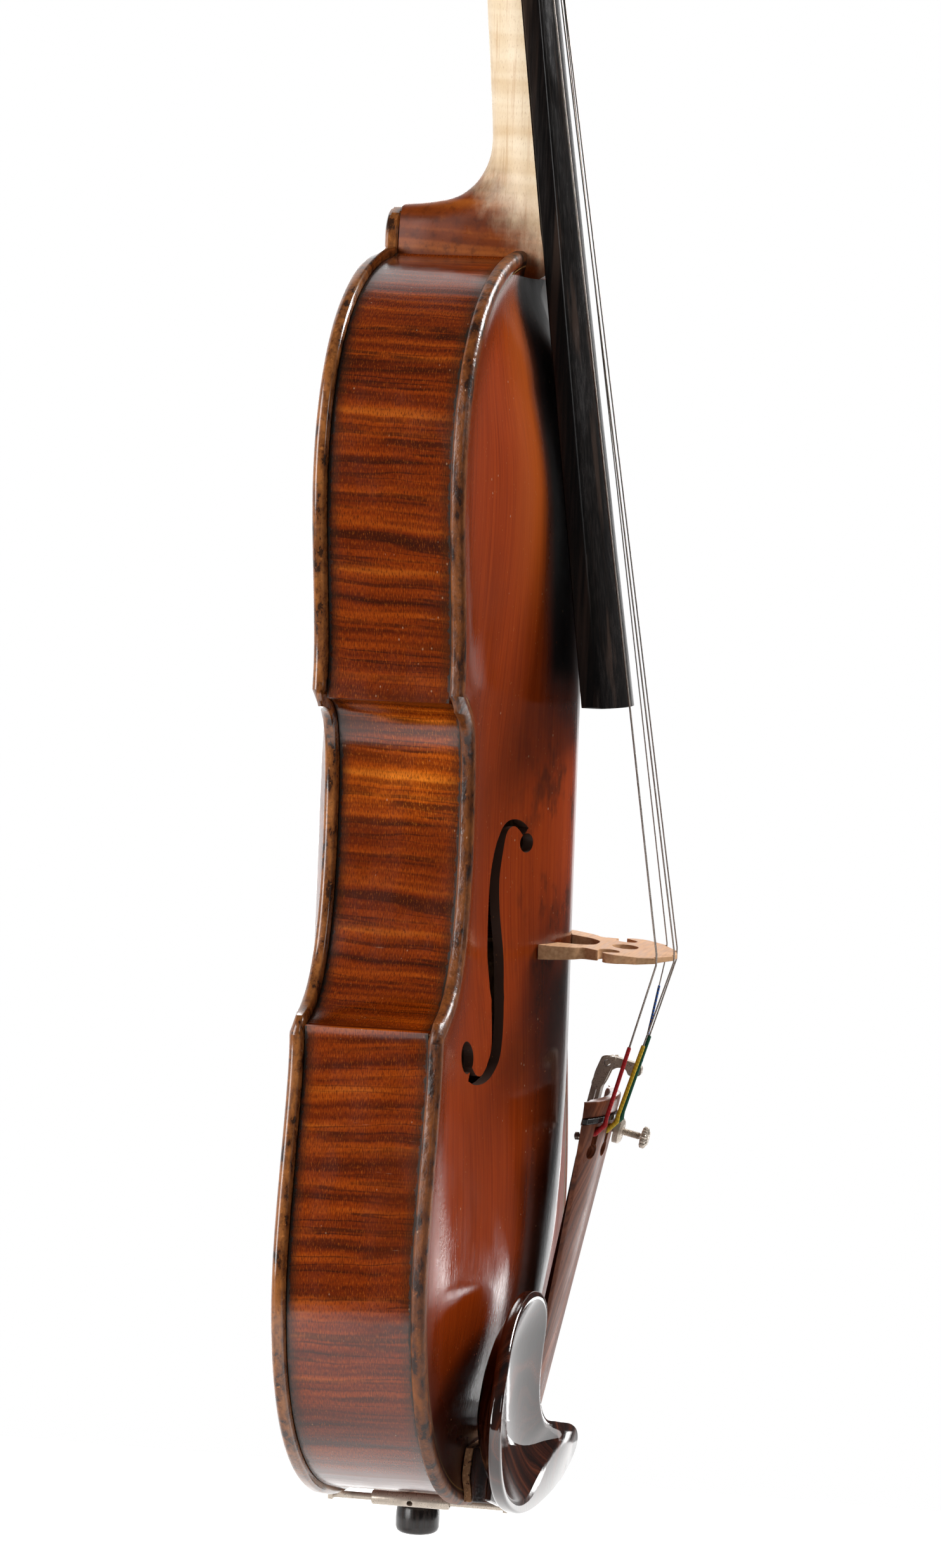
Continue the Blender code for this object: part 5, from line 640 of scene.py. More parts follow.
class Form:
    """Mesh put together from simple shapes, with numbers kept at its points."""

    def __init__(self):
        self.verts, self.faces, self.marks = [], [], {}

    def add(self, verts, faces, **marks):
        start = len(self.verts)
        self.verts.extend(tuple(v) for v in verts)
        self.faces.extend(tuple(start + i for i in face) for face in faces)
        for name in set(marks) | set(self.marks):
            kept = self.marks.setdefault(name, [0.0] * start)
            kept.extend(marks.get(name, [0.0] * len(verts)))

    def skin(self, rings, caps=True, **marks):
        """Skin over rings of equal length, closed at both ends."""
        count = len(rings[0])
        verts = [p for ring in rings for p in ring]
        faces = []
        for k in range(len(rings) - 1):
            a, b = k * count, (k + 1) * count
            for i in range(count):
                j = (i + 1) % count
                faces.append((a + i, a + j, b + j, b + i))
        if caps:
            last = (len(rings) - 1) * count
            faces.append(tuple(reversed(range(count))))
            faces.append(tuple(range(last, last + count)))
        self.add(verts, faces, **marks)

    def turned(self, profile, start, direction, sides=32, lobes=0, depth=0.0):
        """Round shape from (distance along the axis, radius), with lobes round its rim."""
        turn = Vector(direction).normalized().to_track_quat("Z", "Y")
        rings = []
        for along, radius in profile:
            ring = []
            for i in range(sides):
                a = 2 * math.pi * i / sides
                size = radius - (depth * (0.5 + 0.5 * math.cos(lobes * a)) ** 2 if lobes else 0.0)
                ring.append(tuple(Vector(start) + turn @ Vector((size * math.cos(a), size * math.sin(a), along))))
            rings.append(ring)
        self.skin(rings)

    def tube(self, points, radii, sides=12, **marks):
        """Round tube along points."""
        points = [Vector(p) for p in points]
        steps = [(b - a).normalized() for a, b in zip(points[:-1], points[1:])]
        ways = [steps[0]] + [(a + b).normalized() for a, b in zip(steps[:-1], steps[1:])] + [steps[-1]]
        side = ways[0].orthogonal().normalized()
        rings, along, round_ = [], [], []
        length = 0.0
        for k, (point, way, radius) in enumerate(zip(points, ways, radii)):
            side = (side - way * side.dot(way)).normalized()
            other = way.cross(side)
            length += (point - points[k - 1]).length if k else 0.0
            ring = []
            for i in range(sides):
                a = 2 * math.pi * i / sides
                ring.append(tuple(point + side * radius * math.cos(a) + other * radius * math.sin(a)))
                along.append(length)
                round_.append(i / sides)
            rings.append(ring)
        spread = {name: [v for v in values for _ in range(sides)] for name, values in marks.items()}
        self.skin(rings, True, along=along, round=round_, **spread)

    def mesh(self, name, shift=True):
        made = bpy.data.meshes.new(name)
        base = ORIGIN if shift else Vector()
        made.from_pydata([tuple(Vector(v) + base) for v in self.verts], [], self.faces)
        for mark, values in self.marks.items():
            made.attributes.new(mark, "FLOAT", "POINT").data.foreach_set("value", values)
        work = bmesh.new()
        work.from_mesh(made)
        bmesh.ops.recalc_face_normals(work, faces=work.faces)
        work.to_mesh(made)
        work.free()
        return made


def new_piece(name, mesh, node, material=None, angle=40.0, bevel=0.0, smooth=True):
    """A mesh that stands for a node, with the node's material and body."""
    mesh.materials.clear()
    mesh.materials.append(material or MATERIALS[SLOT_OF[node]])
    if smooth:
        mesh.shade_smooth()
        mesh.set_sharp_from_angle(angle=math.radians(angle))
    piece = bpy.data.objects.new(name, mesh)
    bpy.context.scene.collection.objects.link(piece)
    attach(piece, BODY_OF[node])
    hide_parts(node)
    if bevel:
        step = piece.modifiers.new("eased", "BEVEL")
        step.width = bevel
        step.segments = 3
        step.limit_method = "ANGLE"
        step.angle_limit = math.radians(angle)
        step.harden_normals = True
    return piece


def carved(mesh, cutters, operation="DIFFERENCE"):
    """Mesh after Boolean work with other meshes, which don't stay in the scene."""
    piece = bpy.data.objects.new("carved", mesh)
    bpy.context.scene.collection.objects.link(piece)
    others = []
    for cutter in cutters:
        other = bpy.data.objects.new("cutter", cutter)
        bpy.context.scene.collection.objects.link(other)
        step = piece.modifiers.new("cut", "BOOLEAN")
        step.operation = operation
        step.object = other
        step.solver = "EXACT"
        others.append(other)
    bpy.context.view_layer.update()
    made = bpy.data.meshes.new_from_object(piece.evaluated_get(bpy.context.evaluated_depsgraph_get()))
    for item in others + [piece]:
        bpy.data.objects.remove(item, do_unlink=True)
    return made


def refined(node, angle=40.0, bevel=0.0, material=None, marks=None):
    """The node's own shape, welded, shaded smooth and with its edges eased."""
    work = bmesh.new()
    work.from_mesh(NODES[node].data)
    bmesh.ops.remove_doubles(work, verts=work.verts, dist=2e-6)
    mesh = bpy.data.meshes.new(node + "_fine")
    mesh.from_pydata([v.co.copy() for v in work.verts], [], [[v.index for v in f.verts] for f in work.faces])
    work.free()
    if marks:
        points = np.array([v.co for v in mesh.vertices])
        for name, values in marks(points).items():
            mesh.attributes.new(name, "FLOAT", "POINT").data.foreach_set("value", values)
    return new_piece(node + "_fine", mesh, node, material, angle, bevel)


def bezier(a, b, c, d, steps):
    t = (np.arange(1, steps + 1) / steps)[:, None]
    a, b, c, d = (np.array(p, float) for p in (a, b, c, d))
    return (1 - t) ** 3 * a + 3 * (1 - t) ** 2 * t * b + 3 * (1 - t) * t * t * c + t ** 3 * d


def smooth_path(points, steps):
    """Smooth curve through points (Catmull-Rom)."""
    pts = [np.array(p, float) for p in points]
    ends = [2 * pts[0] - pts[1]] + pts + [2 * pts[-1] - pts[-2]]
    out = []
    for i in range(1, len(ends) - 2):
        a, b, c, d = ends[i - 1:i + 3]
        for k in range(steps):
            t = k / steps
            out.append(0.5 * (2 * b + (c - a) * t + (2 * a - 5 * b + 4 * c - d) * t ** 2
                              + (3 * b - a - 3 * c + d) * t ** 3))
    out.append(ends[-2])
    return out


def closed_path(points, steps):
    """Smooth closed curve through points."""
    pts = [np.array(p, float) for p in points]
    count = len(pts)
    out = []
    for i in range(count):
        a, b, c, d = (pts[(i + k) % count] for k in (-1, 0, 1, 2))
        for k in range(steps):
            t = k / steps
            out.append(0.5 * (2 * b + (c - a) * t + (2 * a - 5 * b + 4 * c - d) * t ** 2
                              + (3 * b - a - 3 * c + d) * t ** 3))
    return out


def garland():
    """Outer line of the ribs of the treble half: lower, C and upper run of (x, z)."""
    low, waist, up = (width / 2 - OVERHANG for width in (LOWER_BOUT, WAIST, UPPER_BOUT))
    bottom, top = OVERHANG, BODY_LENGTH - OVERHANG
    lh, wh, uh = LOWER_BOUT_HEIGHT, WAIST_HEIGHT, UPPER_BOUT_HEIGHT
    lx, lz = LOWER_CORNER / 2, LOWER_CORNER_HEIGHT
    ux, uz = UPPER_CORNER / 2, UPPER_CORNER_HEIGHT
    lower = np.vstack([[(0.0, bottom)],
                       bezier((0, bottom), (0.60 * low, bottom), (low, lh - 0.62 * lh), (low, lh), 9 * FINE),
                       bezier((low, lh), (low, lh + 0.33 * (lz - lh)),
                              (lx - 0.0050, lz - 0.20 * (lz - lh)), (lx, lz), 7 * FINE)])
    centre = np.vstack([[(lx, lz)],
                        bezier((lx, lz), (lx - 0.66 * (lx - waist), lz + 0.0024),
                               (waist, lz + 0.385 * (wh - lz)), (waist, wh), 8 * FINE),
                        bezier((waist, wh), (waist, wh + 0.75 * (uz - wh)),
                               (ux - 0.80 * (ux - waist), uz - 0.0016), (ux, uz), 7 * FINE)])
    upper = np.vstack([[(ux, uz)],
                       bezier((ux, uz), (ux - 0.006, uz + 0.24 * (uh - uz)),
                              (up, uh - 0.33 * (uh - uz)), (up, uh), 6 * FINE),
                       bezier((up, uh), (up, uh + 0.645 * (top - uh)), (0.61 * up, top), (0, top), 9 * FINE)])
    return lower, centre, upper


def offset(run, distance):
    """Run moved outwards."""
    step = np.empty_like(run)
    step[1:-1] = run[2:] - run[:-2]
    step[0], step[-1] = run[1] - run[0], run[-1] - run[-2]
    step /= np.linalg.norm(step, axis=1)[:, None]
    return run + distance * np.column_stack([step[:, 1], -step[:, 0]])


def trimmed(run, at_start, at_end):
    """Shorten a run by the cut of a corner."""
    run = run.copy()
    if at_end:
        while np.linalg.norm(run[-1] - run[-2]) < CORNER_CUT:
            run = np.delete(run, -2, axis=0)
        run[-1] -= (run[-1] - run[-2]) / np.linalg.norm(run[-1] - run[-2]) * CORNER_CUT
    if at_start:
        while np.linalg.norm(run[1] - run[0]) < CORNER_CUT:
            run = np.delete(run, 1, axis=0)
        run[0] += (run[1] - run[0]) / np.linalg.norm(run[1] - run[0]) * CORNER_CUT
    return run


def plate_runs():
    """Edge of a plate, treble half, in its three runs."""
    lower, centre, upper = garland()
    lower = offset(lower, OVERHANG)
    lower[0] = (0.0, 0.0)
    upper = offset(upper, OVERHANG)
    upper[-1] = (0.0, BODY_LENGTH)
    return (trimmed(lower, False, True), trimmed(offset(centre, OVERHANG), True, True), trimmed(upper, True, False))


def back_plane(z):
    """Inner face of the back: the ribs taper towards the top."""
    return BELLY_PLANE + RIB_BOTTOM - (RIB_BOTTOM - RIB_TOP) * z / BODY_LENGTH


def distance_to(line, points):
    """Least distance of each point from a broken line."""
    start, span = line[:-1], np.diff(line, axis=0)
    size = (span ** 2).sum(1)
    best = np.full(len(points), 9.0)
    for k in range(0, len(points), 2000):
        p = points[k:k + 2000, None, :]
        share = np.clip(((p - start) * span).sum(2) / size, 0, 1)
        best[k:k + 2000] = np.sqrt(((start + span * share[:, :, None] - p) ** 2).sum(2)).min(1)
    return best


class Arching:
    """Height of a plate's faces over the plane of the ribs."""

    def __init__(self, rise):
        self.rise = rise
        self.runs = plate_runs()
        self.line = np.vstack(self.runs)

    def edge(self, points):
        return distance_to(self.line, np.column_stack([np.abs(points[:, 0]), points[:, 1]]))

    def soft_edge(self, points):
        """Edge distance that rounds the ridges that come in from the corners."""
        flat = np.column_stack([np.abs(points[:, 0]), points[:, 1]])
        near = distance_to(self.runs[0], flat)
        for run in self.runs[1:]:
            other = distance_to(run, flat)
            least = np.minimum(near, other)
            reach = np.maximum(0.8 * (least - EDGE_LAND), 1e-6)
            share = np.maximum(reach - np.abs(near - other), 0.0) / reach
            near = least - share * share * reach / 4
        return near

    def outer(self, points):
        edge = self.soft_edge(points)
        dip = np.clip((edge - EDGE_LAND) / (CHANNEL - EDGE_LAND), 0.0, 1.0)
        height = PLATE_EDGE - CHANNEL_DIP * dip * dip * (3 - 2 * dip)
        spine = np.clip(points[:, 1], SPINE_MARGIN, BODY_LENGTH - SPINE_MARGIN)
        away = np.hypot(points[:, 0], points[:, 1] - spine)
        beyond = np.maximum(edge - CHANNEL, 0.0)
        share = beyond / np.maximum(beyond + away, 1e-9)
        end = np.minimum(np.minimum(spine, BODY_LENGTH - spine) / LONG_ARCH_REACH, 1.0)
        long_arch = 1 - (1 - end) ** LONG_ARCH_POWER
        return height + (self.rise + CHANNEL_DIP) * long_arch * np.sin(np.pi * share / 2) ** ARCH_POWER

    def inner(self, points):
        ramp = np.clip((self.edge(points) - GLUE_LAND) / 0.006, 0.0, 1.0)
        return np.maximum(self.outer(points) - PLATE_WALL, 0.0) * ramp


def plate_mesh(name, arching, plane, side):
    """Arched plate with a rounded bead along its edge."""
    line = arching.line
    count = len(line)
    spine = np.column_stack([np.zeros(count), SPINE_MARGIN + (BODY_LENGTH - 2 * SPINE_MARGIN) * line[:, 1] / BODY_LENGTH])
    span = spine - line

    def share_at(target):
        low, high = np.zeros(count), np.full(count, 0.6)
        for _ in range(16):
            middle = (low + high) / 2
            short = arching.edge(line + span * middle[:, None]) < target
            low, high = np.where(short, middle, low), np.where(short, high, middle)
        return (low + high) / 2

    def at(share):
        return line + span * share[:, None]

    wide, tall = 0.0021, 0.0018
    rings = []
    land = share_at(EDGE_LAND)
    for drop, height in ((0.0012, 0.0), (0.0005, 0.0003), (0.0001, 0.0007)):
        rings.append((at(share_at(drop)), np.full(count, height)))
    rings.append((line, np.full(count, 0.0012)))
    rings.append((line, np.full(count, PLATE_EDGE - tall)))
    shares = [np.zeros(count)]
    for k in range(1, 7):
        inset = wide * (1 - math.cos(math.pi / 2 * k / 6))
        share = np.maximum(share_at(inset), shares[-1] + 1e-5)
        shares.append(share)
        rings.append((at(share), np.full(count, PLATE_EDGE - tall + tall * math.sin(math.pi / 2 * k / 6))))
    land = np.maximum(land, shares[-1] + 1e-5)
    for q in (0.0, 0.018, 0.036, 0.056, 0.08, 0.11, 0.15, 0.20, 0.26, 0.33, 0.41, 0.50, 0.60, 0.70, 0.80, 0.90):
        points = at(land + (1 - land) * q)
        rings.append((points, arching.outer(points)))
    top_spine = arching.outer(spine)
    low_spine = arching.inner(spine)
    inner = []
    for q in (0.85, 0.66, 0.48, 0.32, 0.20, 0.11):
        points = at(np.full(count, q))
        inner.append((points, arching.inner(points)))
    verts, faces = [], []

    def add(points, heights, mirror):
        start = len(verts)
        for (x, z), height in zip(points, heights):
            verts.append((mirror * x, plane(z) + side * height, z))
        return list(range(start, start + len(points)))

    def add_ring(points, heights):
        right = add(points, heights, 1)
        left = add(points, heights, -1)
        left[0], left[-1] = right[0], right[-1]
        return right, left

    def bridge(first, second):
        for a, b in zip(first, second):
            for k in range(count - 1):
                faces.append((a[k], a[k + 1], b[k + 1], b[k]))

    loops = [add_ring(*ring) for ring in rings]
    top = add(spine, top_spine, 1)
    low = add(spine, low_spine, 1)
    chain = loops + [(top, top)]
    for first, second in zip(chain[:-1], chain[1:]):
        bridge(first, second)
    under = [(low, low)] + [add_ring(*ring) for ring in inner] + [loops[0]]
    for first, second in zip(under[:-1], under[1:]):
        bridge(first, second)
    form = Form()
    form.add(verts, faces)
    work = bmesh.new()
    work.from_mesh(form.mesh(name, False))
    loose = [v for v in work.verts if not v.link_faces]
    bmesh.ops.delete(work, geom=loose, context="VERTS")
    made = bpy.data.meshes.new(name)
    work.to_mesh(made)
    work.free()
    return made


def keep_normals(mesh, source):
    """Shade a carved plate as it was shaded before the carving."""
    tree = BVHTree.FromPolygons([v.co for v in source.vertices], [p.vertices for p in source.polygons])
    before = [v.normal.copy() for v in source.vertices]
    places = [v.co.copy() for v in source.vertices]
    kept = []
    for vertex in mesh.vertices:
        _, _, index, _ = tree.find_nearest(vertex.co)
        total = Vector()
        for i in source.polygons[index].vertices:
            total += before[i] / max((places[i] - vertex.co).length, 1e-7) ** 2
        kept.append(total.normalized())
    normals = [None] * len(mesh.loops)
    for polygon in mesh.polygons:
        flat = polygon.normal
        like = all(flat.dot(kept[i]) > 0.75 for i in polygon.vertices)
        for loop, vertex in zip(polygon.loop_indices, polygon.vertices):
            normals[loop] = kept[vertex] if like else flat
    mesh.shade_smooth()
    mesh.normals_split_custom_set([tuple(n) for n in normals])


def prism_mesh(outline, low, high, name="guide"):
    """Outline in the x-z plane swept along y."""
    form = Form()
    form.skin([[(x, depth, z) for x, z in outline] for depth in (low, high)])
    return form.mesh(name, False)


def f_outline(sign):
    """Stem of an f-hole as a closed line."""
    path = np.array(smooth_path([(sign * x, z, width / 2) for x, z, width in F_STEM], 5))
    way = np.gradient(path[:, :2], axis=0)
    way /= np.linalg.norm(way, axis=1)[:, None]
    side = np.column_stack([way[:, 1], -way[:, 0]]) * path[:, 2:3]
    return [tuple(p) for p in path[:, :2] + side] + [tuple(p) for p in (path[:, :2] - side)[::-1]]


def circle(x, z, radius, count=40):
    return [(x + radius * math.cos(2 * math.pi * k / count), z + radius * math.sin(2 * math.pi * k / count))
            for k in range(count)]


def heel_notch():
    half = BUTTON_WIDTH / 2 + HEEL_FLARE + SEAT
    low = BODY_LENGTH - MORTISE - SEAT
    return [(-half, low), (half, low), (half, BODY_LENGTH + 0.02), (-half, BODY_LENGTH + 0.02)]


def place_marks(mesh, arching, side):
    """Edge distance, flame coordinates and bare inner faces of a plate."""
    points = np.empty(len(mesh.vertices) * 3)
    mesh.vertices.foreach_get("co", points)
    points = points.reshape(-1, 3)
    flat = points[:, (0, 2)]
    edge = arching.edge(flat)
    beyond = flat[:, 1] > BODY_LENGTH
    edge[beyond] = np.minimum(edge[beyond], 0.0005)
    for name, values in (("edge", edge), ("along", flat[:, 1] + 0.30 * np.abs(flat[:, 0])), ("high", flat[:, 0])):
        mesh.attributes.new(name, "FLOAT", "POINT").data.foreach_set("value", values)
    bare = []
    for polygon in mesh.polygons:
        inward = polygon.normal.y * side
        x, _, z = polygon.center
        near = min(edge[i] for i in polygon.vertices)
        bare.append(1.0 if near > 0.006 and inward < 0.35 else 0.0)
    mesh.attributes.new("bare", "FLOAT", "FACE").data.foreach_set("value", bare)
    for vertex in mesh.vertices:
        vertex.co += ORIGIN


def make_plates():
    belly_form, back_form = Arching(BELLY_ARCH), Arching(BACK_ARCH)
    whole = plate_mesh("belly_fine", belly_form, lambda z: BELLY_PLANE, -1)
    cutters = []
    for sign in (-1, 1):
        cutters.append(prism_mesh(f_outline(sign), -0.055, -0.012))
        cutters += [prism_mesh(circle(sign * x, z, radius), -0.055, -0.012) for x, z, radius in F_EYES]
    half, deep = SADDLE_WIDTH / 2 + SEAT, SADDLE_DEPTH + SEAT
    cutters.append(prism_mesh(heel_notch(), -0.06, 0.0))
    cutters.append(prism_mesh([(-half, -deep), (half, -deep), (half, deep), (-half, deep)], -0.05, 0.0))
    belly = carved(whole, cutters)
    keep_normals(belly, whole)
    place_marks(belly, belly_form, -1)
    new_piece("belly_fine", belly, "belly", smooth=False)
    whole = plate_mesh("back_fine", back_form, back_plane, 1)
    top, half = BODY_LENGTH + BUTTON_RISE, BUTTON_WIDTH / 2
    outline = [(-half, BODY_LENGTH - 0.006), (half, BODY_LENGTH - 0.006)]
    outline += [(half * math.cos(math.pi * k / 32), top - half * 0.8 + half * 0.8 * math.sin(math.pi * k / 32))
                for k in range(33)]
    low = back_plane(BODY_LENGTH)
    form = Form()
    middle = (0.0, BODY_LENGTH + 0.004)
    for depth, share in ((0.0001, 0.965), (0.0007, 1.0), (PLATE_EDGE - 0.0012, 1.0), (PLATE_EDGE - 0.0004, 0.975),
                         (PLATE_EDGE, 0.92)):
        form.verts += [(middle[0] + (x - middle[0]) * share, low + depth, middle[1] + (z - middle[1]) * share)
                       for x, z in outline]
    count = len(outline)
    button = Form()
    button.skin([form.verts[k * count:(k + 1) * count] for k in range(5)])
    back = carved(whole, [button.mesh("button", False)], "UNION")
    keep_normals(back, whole)
    place_marks(back, back_form, 1)
    new_piece("back_fine", back, "back", smooth=False)
    return belly_form


def rib_runs():
    """Runs of the ribs: the C ribs and upper ribs stop against the ribs they meet."""
    lower, centre, upper = garland()
    gap = RIB_WALL + 2 * SEAT
    for other in (lower, upper):
        centre = centre[distance_to(other, centre) >= gap]
    heel = BUTTON_WIDTH / 2 + HEEL_FLARE + 2 * SEAT
    upper = np.vstack([upper[upper[:, 0] > heel], [(heel, BODY_LENGTH - OVERHANG)]])
    return lower, centre, upper


def rib_piece(name, run, sign):
    """Wall along a run, with the distance along it and from the plates at its points."""
    inner = offset(run, -RIB_WALL)
    length = np.concatenate([[0.0], np.cumsum(np.linalg.norm(np.diff(run, axis=0), axis=1))])
    form = Form()
    rings, along, high, seam = [], [], [], []
    steps = 8
    for (ax, az), (bx, bz), way in zip(run, inner, length):
        ring = []
        for k in range(steps + 1):
            share = k / steps
            y = BELLY_PLANE + SEAT + (back_plane(az) - BELLY_PLANE - 2 * SEAT) * share
            ring.append((sign * ax, y, az))
            high.append(y - BELLY_PLANE)
            seam.append(min(y - BELLY_PLANE, back_plane(az) - y))
        ring += [(sign * bx, back_plane(bz) - SEAT, bz), (sign * bx, BELLY_PLANE + SEAT, bz)]
        high += [0.0, 0.0]
        seam += [0.02, 0.02]
        along += [way + (0.5 if sign > 0 else 0.0)] * len(ring)
        rings.append(ring)
    form.skin(rings, True, along=along, high=high, seam=seam)
    new_piece(name + "_fine", form.mesh(name + "_fine"), name, RIB, 50.0)


def make_ribs():
    lower, centre, upper = rib_runs()
    whole = np.vstack([(lower * (-1, 1))[::-1][:-1], lower])
    inner_form = Form()
    length = np.concatenate([[0.0], np.cumsum(np.linalg.norm(np.diff(whole, axis=0), axis=1))])
    inner = offset(whole, -RIB_WALL)
    rings, along, high, seam = [], [], [], []
    steps = 8
    for (ax, az), (bx, bz), way in zip(whole, inner, length):
        ring = []
        for k in range(steps + 1):
            y = BELLY_PLANE + SEAT + (back_plane(az) - BELLY_PLANE - 2 * SEAT) * k / steps
            ring.append((ax, y, az))
            high.append(y - BELLY_PLANE)
            seam.append(min(y - BELLY_PLANE, back_plane(az) - y))
        ring += [(bx, back_plane(bz) - SEAT, bz), (bx, BELLY_PLANE + SEAT, bz)]
        high += [0.0, 0.0]
        seam += [0.02, 0.02]
        along += [way + 1.3] * len(ring)
        rings.append(ring)
    inner_form.skin(rings, True, along=along, high=high, seam=seam)
    mesh = inner_form.mesh("lower_rib_fine")
    hole = Form()
    hole.turned([(-0.002, 0.0048), (0.010, 0.0048)], (0, 0, 0), (0, 0, 1), 32)
    new_piece("lower_rib_fine", carved(mesh, [hole.mesh("hole")]), "lower_rib", RIB, 50.0)
    for side, sign in (("treble", 1), ("bass", -1)):
        rib_piece(f"c_rib_{side}", centre, sign)
        rib_piece(f"upper_rib_{side}", upper, sign)


def sag(x, radius):
    return radius - math.sqrt(radius * radius - x * x)


def board_width(z):
    share = (NUT_HEIGHT - z) / (NUT_HEIGHT - BOARD_END_HEIGHT)
    return (BOARD_NUT_WIDTH + (BOARD_END_WIDTH - BOARD_NUT_WIDTH) * share) / 2


def board_under(z):
    return -BOARD_UNDER_AT_EDGE + BOARD_SLOPE * (z - BODY_LENGTH)


def board_top(x, z):
    crown = board_under(z) - BOARD_SIDE - sag(board_width(z), BOARD_RADIUS)
    return crown + sag(x, BOARD_RADIUS)


def make_fingerboard():
    """Board with an eased upper edge, hollow underneath."""
    form = Form()
    heights = [BOARD_END_HEIGHT, BOARD_END_HEIGHT + 0.0004, BOARD_END_HEIGHT + 0.03, BOARD_END_HEIGHT + 0.06,
               BODY_LENGTH - 0.06, BODY_LENGTH - 0.03, BODY_LENGTH - MORTISE - 0.001, BODY_LENGTH + 0.05,
               NUT_HEIGHT - SEAT]
    rings = []
    for z in heights:
        half = board_width(z) - (0.0003 if z == BOARD_END_HEIGHT else 0.0)
        hollow = BOARD_HOLLOW if z < BODY_LENGTH - MORTISE - 0.01 else 0.0
        under = board_under(z)
        side = under - BOARD_SIDE
        ring = [(-half + 0.0004, under, z), (-half, under - 0.0004, z), (-half, side + 0.0008, z),
                (-half + 0.00015, side + 0.0003, z)]
        inset = half - 0.0006
        for k in range(33):
            x = -inset + 2 * inset * k / 32
            ring.append((x, board_top(x, z), z))
        ring += [(half - 0.00015, side + 0.0003, z), (half, side + 0.0008, z), (half, under - 0.0004, z),
                 (half - 0.0004, under, z)]
        for k in range(1, 16):
            share = k / 16
            ring.append(((half - 0.0004) * (1 - 2 * share), under - hollow * math.sin(math.pi * share), z))
        rings.append(ring)
    form.skin(rings)
    new_piece("fingerboard_fine", form.mesh("fingerboard_fine"), "fingerboard", BOARD, 32.0)


def at_rise(table, z):
    return float(np.interp(z - NUT_HEIGHT, [p[0] for p in table], [p[1] for p in table]))


def head_front(z):
    return board_under(NUT_HEIGHT) + at_rise(HEAD_FRONT, z)


def head_back(z):
    return board_under(NUT_HEIGHT) + at_rise(HEAD_BACK, z)


def head_half(z):
    return at_rise(HEAD_HALF_WIDTH, z)


def eye():
    return board_under(NUT_HEIGHT) + EYE_SETBACK, NUT_HEIGHT + EYE_RISE


def neck_back(z):
    return -NECK_BACK_AT_HEEL + NECK_BACK_SLOPE * (z - BODY_LENGTH - 0.034)


def section_ring(front, back, half, square, flute=0.0, steps=56):
    """U-shaped section between a front and a back point; square 1 is an ellipse."""
    ring = []
    for k in range(steps + 1):
        a = math.pi * k / steps
        x = -half * math.copysign(abs(math.cos(a)) ** square, math.cos(a))
        deep = math.sin(a) ** square
        if flute and abs(x) < 0.86 * half:
            deep -= flute * math.sin(math.pi * abs(x) / (0.86 * half)) ** 2
        ring.append((x, front[0] + (back[0] - front[0]) * deep, front[1] + (back[1] - front[1]) * deep))
    return ring


def neck_rings():
    root, top = BODY_LENGTH - MORTISE, BODY_LENGTH + HEEL_RISE
    half = BUTTON_WIDTH / 2 + HEEL_FLARE
    face = back_plane(BODY_LENGTH) - SEAT
    deep = face - board_under(root)
    items = [((face, root), (face, top), BUTTON_WIDTH / 2, 0.45)]
    for k, (share, back, rise, square) in enumerate(HEEL_CURVE):
        items.append(((face - share * deep, root), (back, top + rise), half - (0.002, 0.001, 0.0, 0.0)[k], square))
    items.append(((board_under(root) + SEAT, root),
                  (neck_back(BODY_LENGTH + 0.031), BODY_LENGTH + 0.031), half, 0.85))
    for front, back, square in ((BODY_LENGTH + 0.006, BODY_LENGTH + 0.040, 0.92),
                                (BODY_LENGTH + 0.034, BODY_LENGTH + 0.060, 0.96),
                                (BODY_LENGTH + 0.084, BODY_LENGTH + 0.094, 1.0),
                                (NUT_HEIGHT - 0.016, NUT_HEIGHT - 0.014, 0.96)):
        wide = min(half, board_width(front)) - 0.0002
        items.append(((board_under(front) + SEAT, front), (neck_back(back), back), wide, square))
    z, nut_front = NUT_HEIGHT, board_under(NUT_HEIGHT) + SEAT
    items.append(((nut_front, z - 0.001), (neck_back(z) + 0.0010, z - 0.002), BOARD_NUT_WIDTH / 2, 0.72))
    z = NUT_HEIGHT + NUT_THICK + SEAT
    items.append(((nut_front, z), (nut_front + 0.0166, z - 0.0015), head_half(z), 0.45))
    for rise, flute in ((0.0110, 0.04), (0.0200, 0.06), (0.0340, 0.07), (0.0480, 0.07),
                        (0.0620, 0.07), (0.0740, 0.07), (0.0830, 0.07)):
        z = NUT_HEIGHT + rise
        items.append(((head_front(z), z), (head_back(z), z), head_half(z), 0.28, flute))
    y, z = eye()
    items.append(((y + 0.006, z), (y + SCROLL_RADIUS - 0.0004, z), head_half(z) - 0.0002, 0.28, 0.07))
    return [section_ring(*item) for item in items]


def scroll_radius(turn):
    return SCROLL_RADIUS * SCROLL_SHRINK ** turn


def scroll_half_width(turn):
    turns, widths = zip(*SCROLL_HALF_WIDTH)
    return float(np.interp(turn, turns, widths))


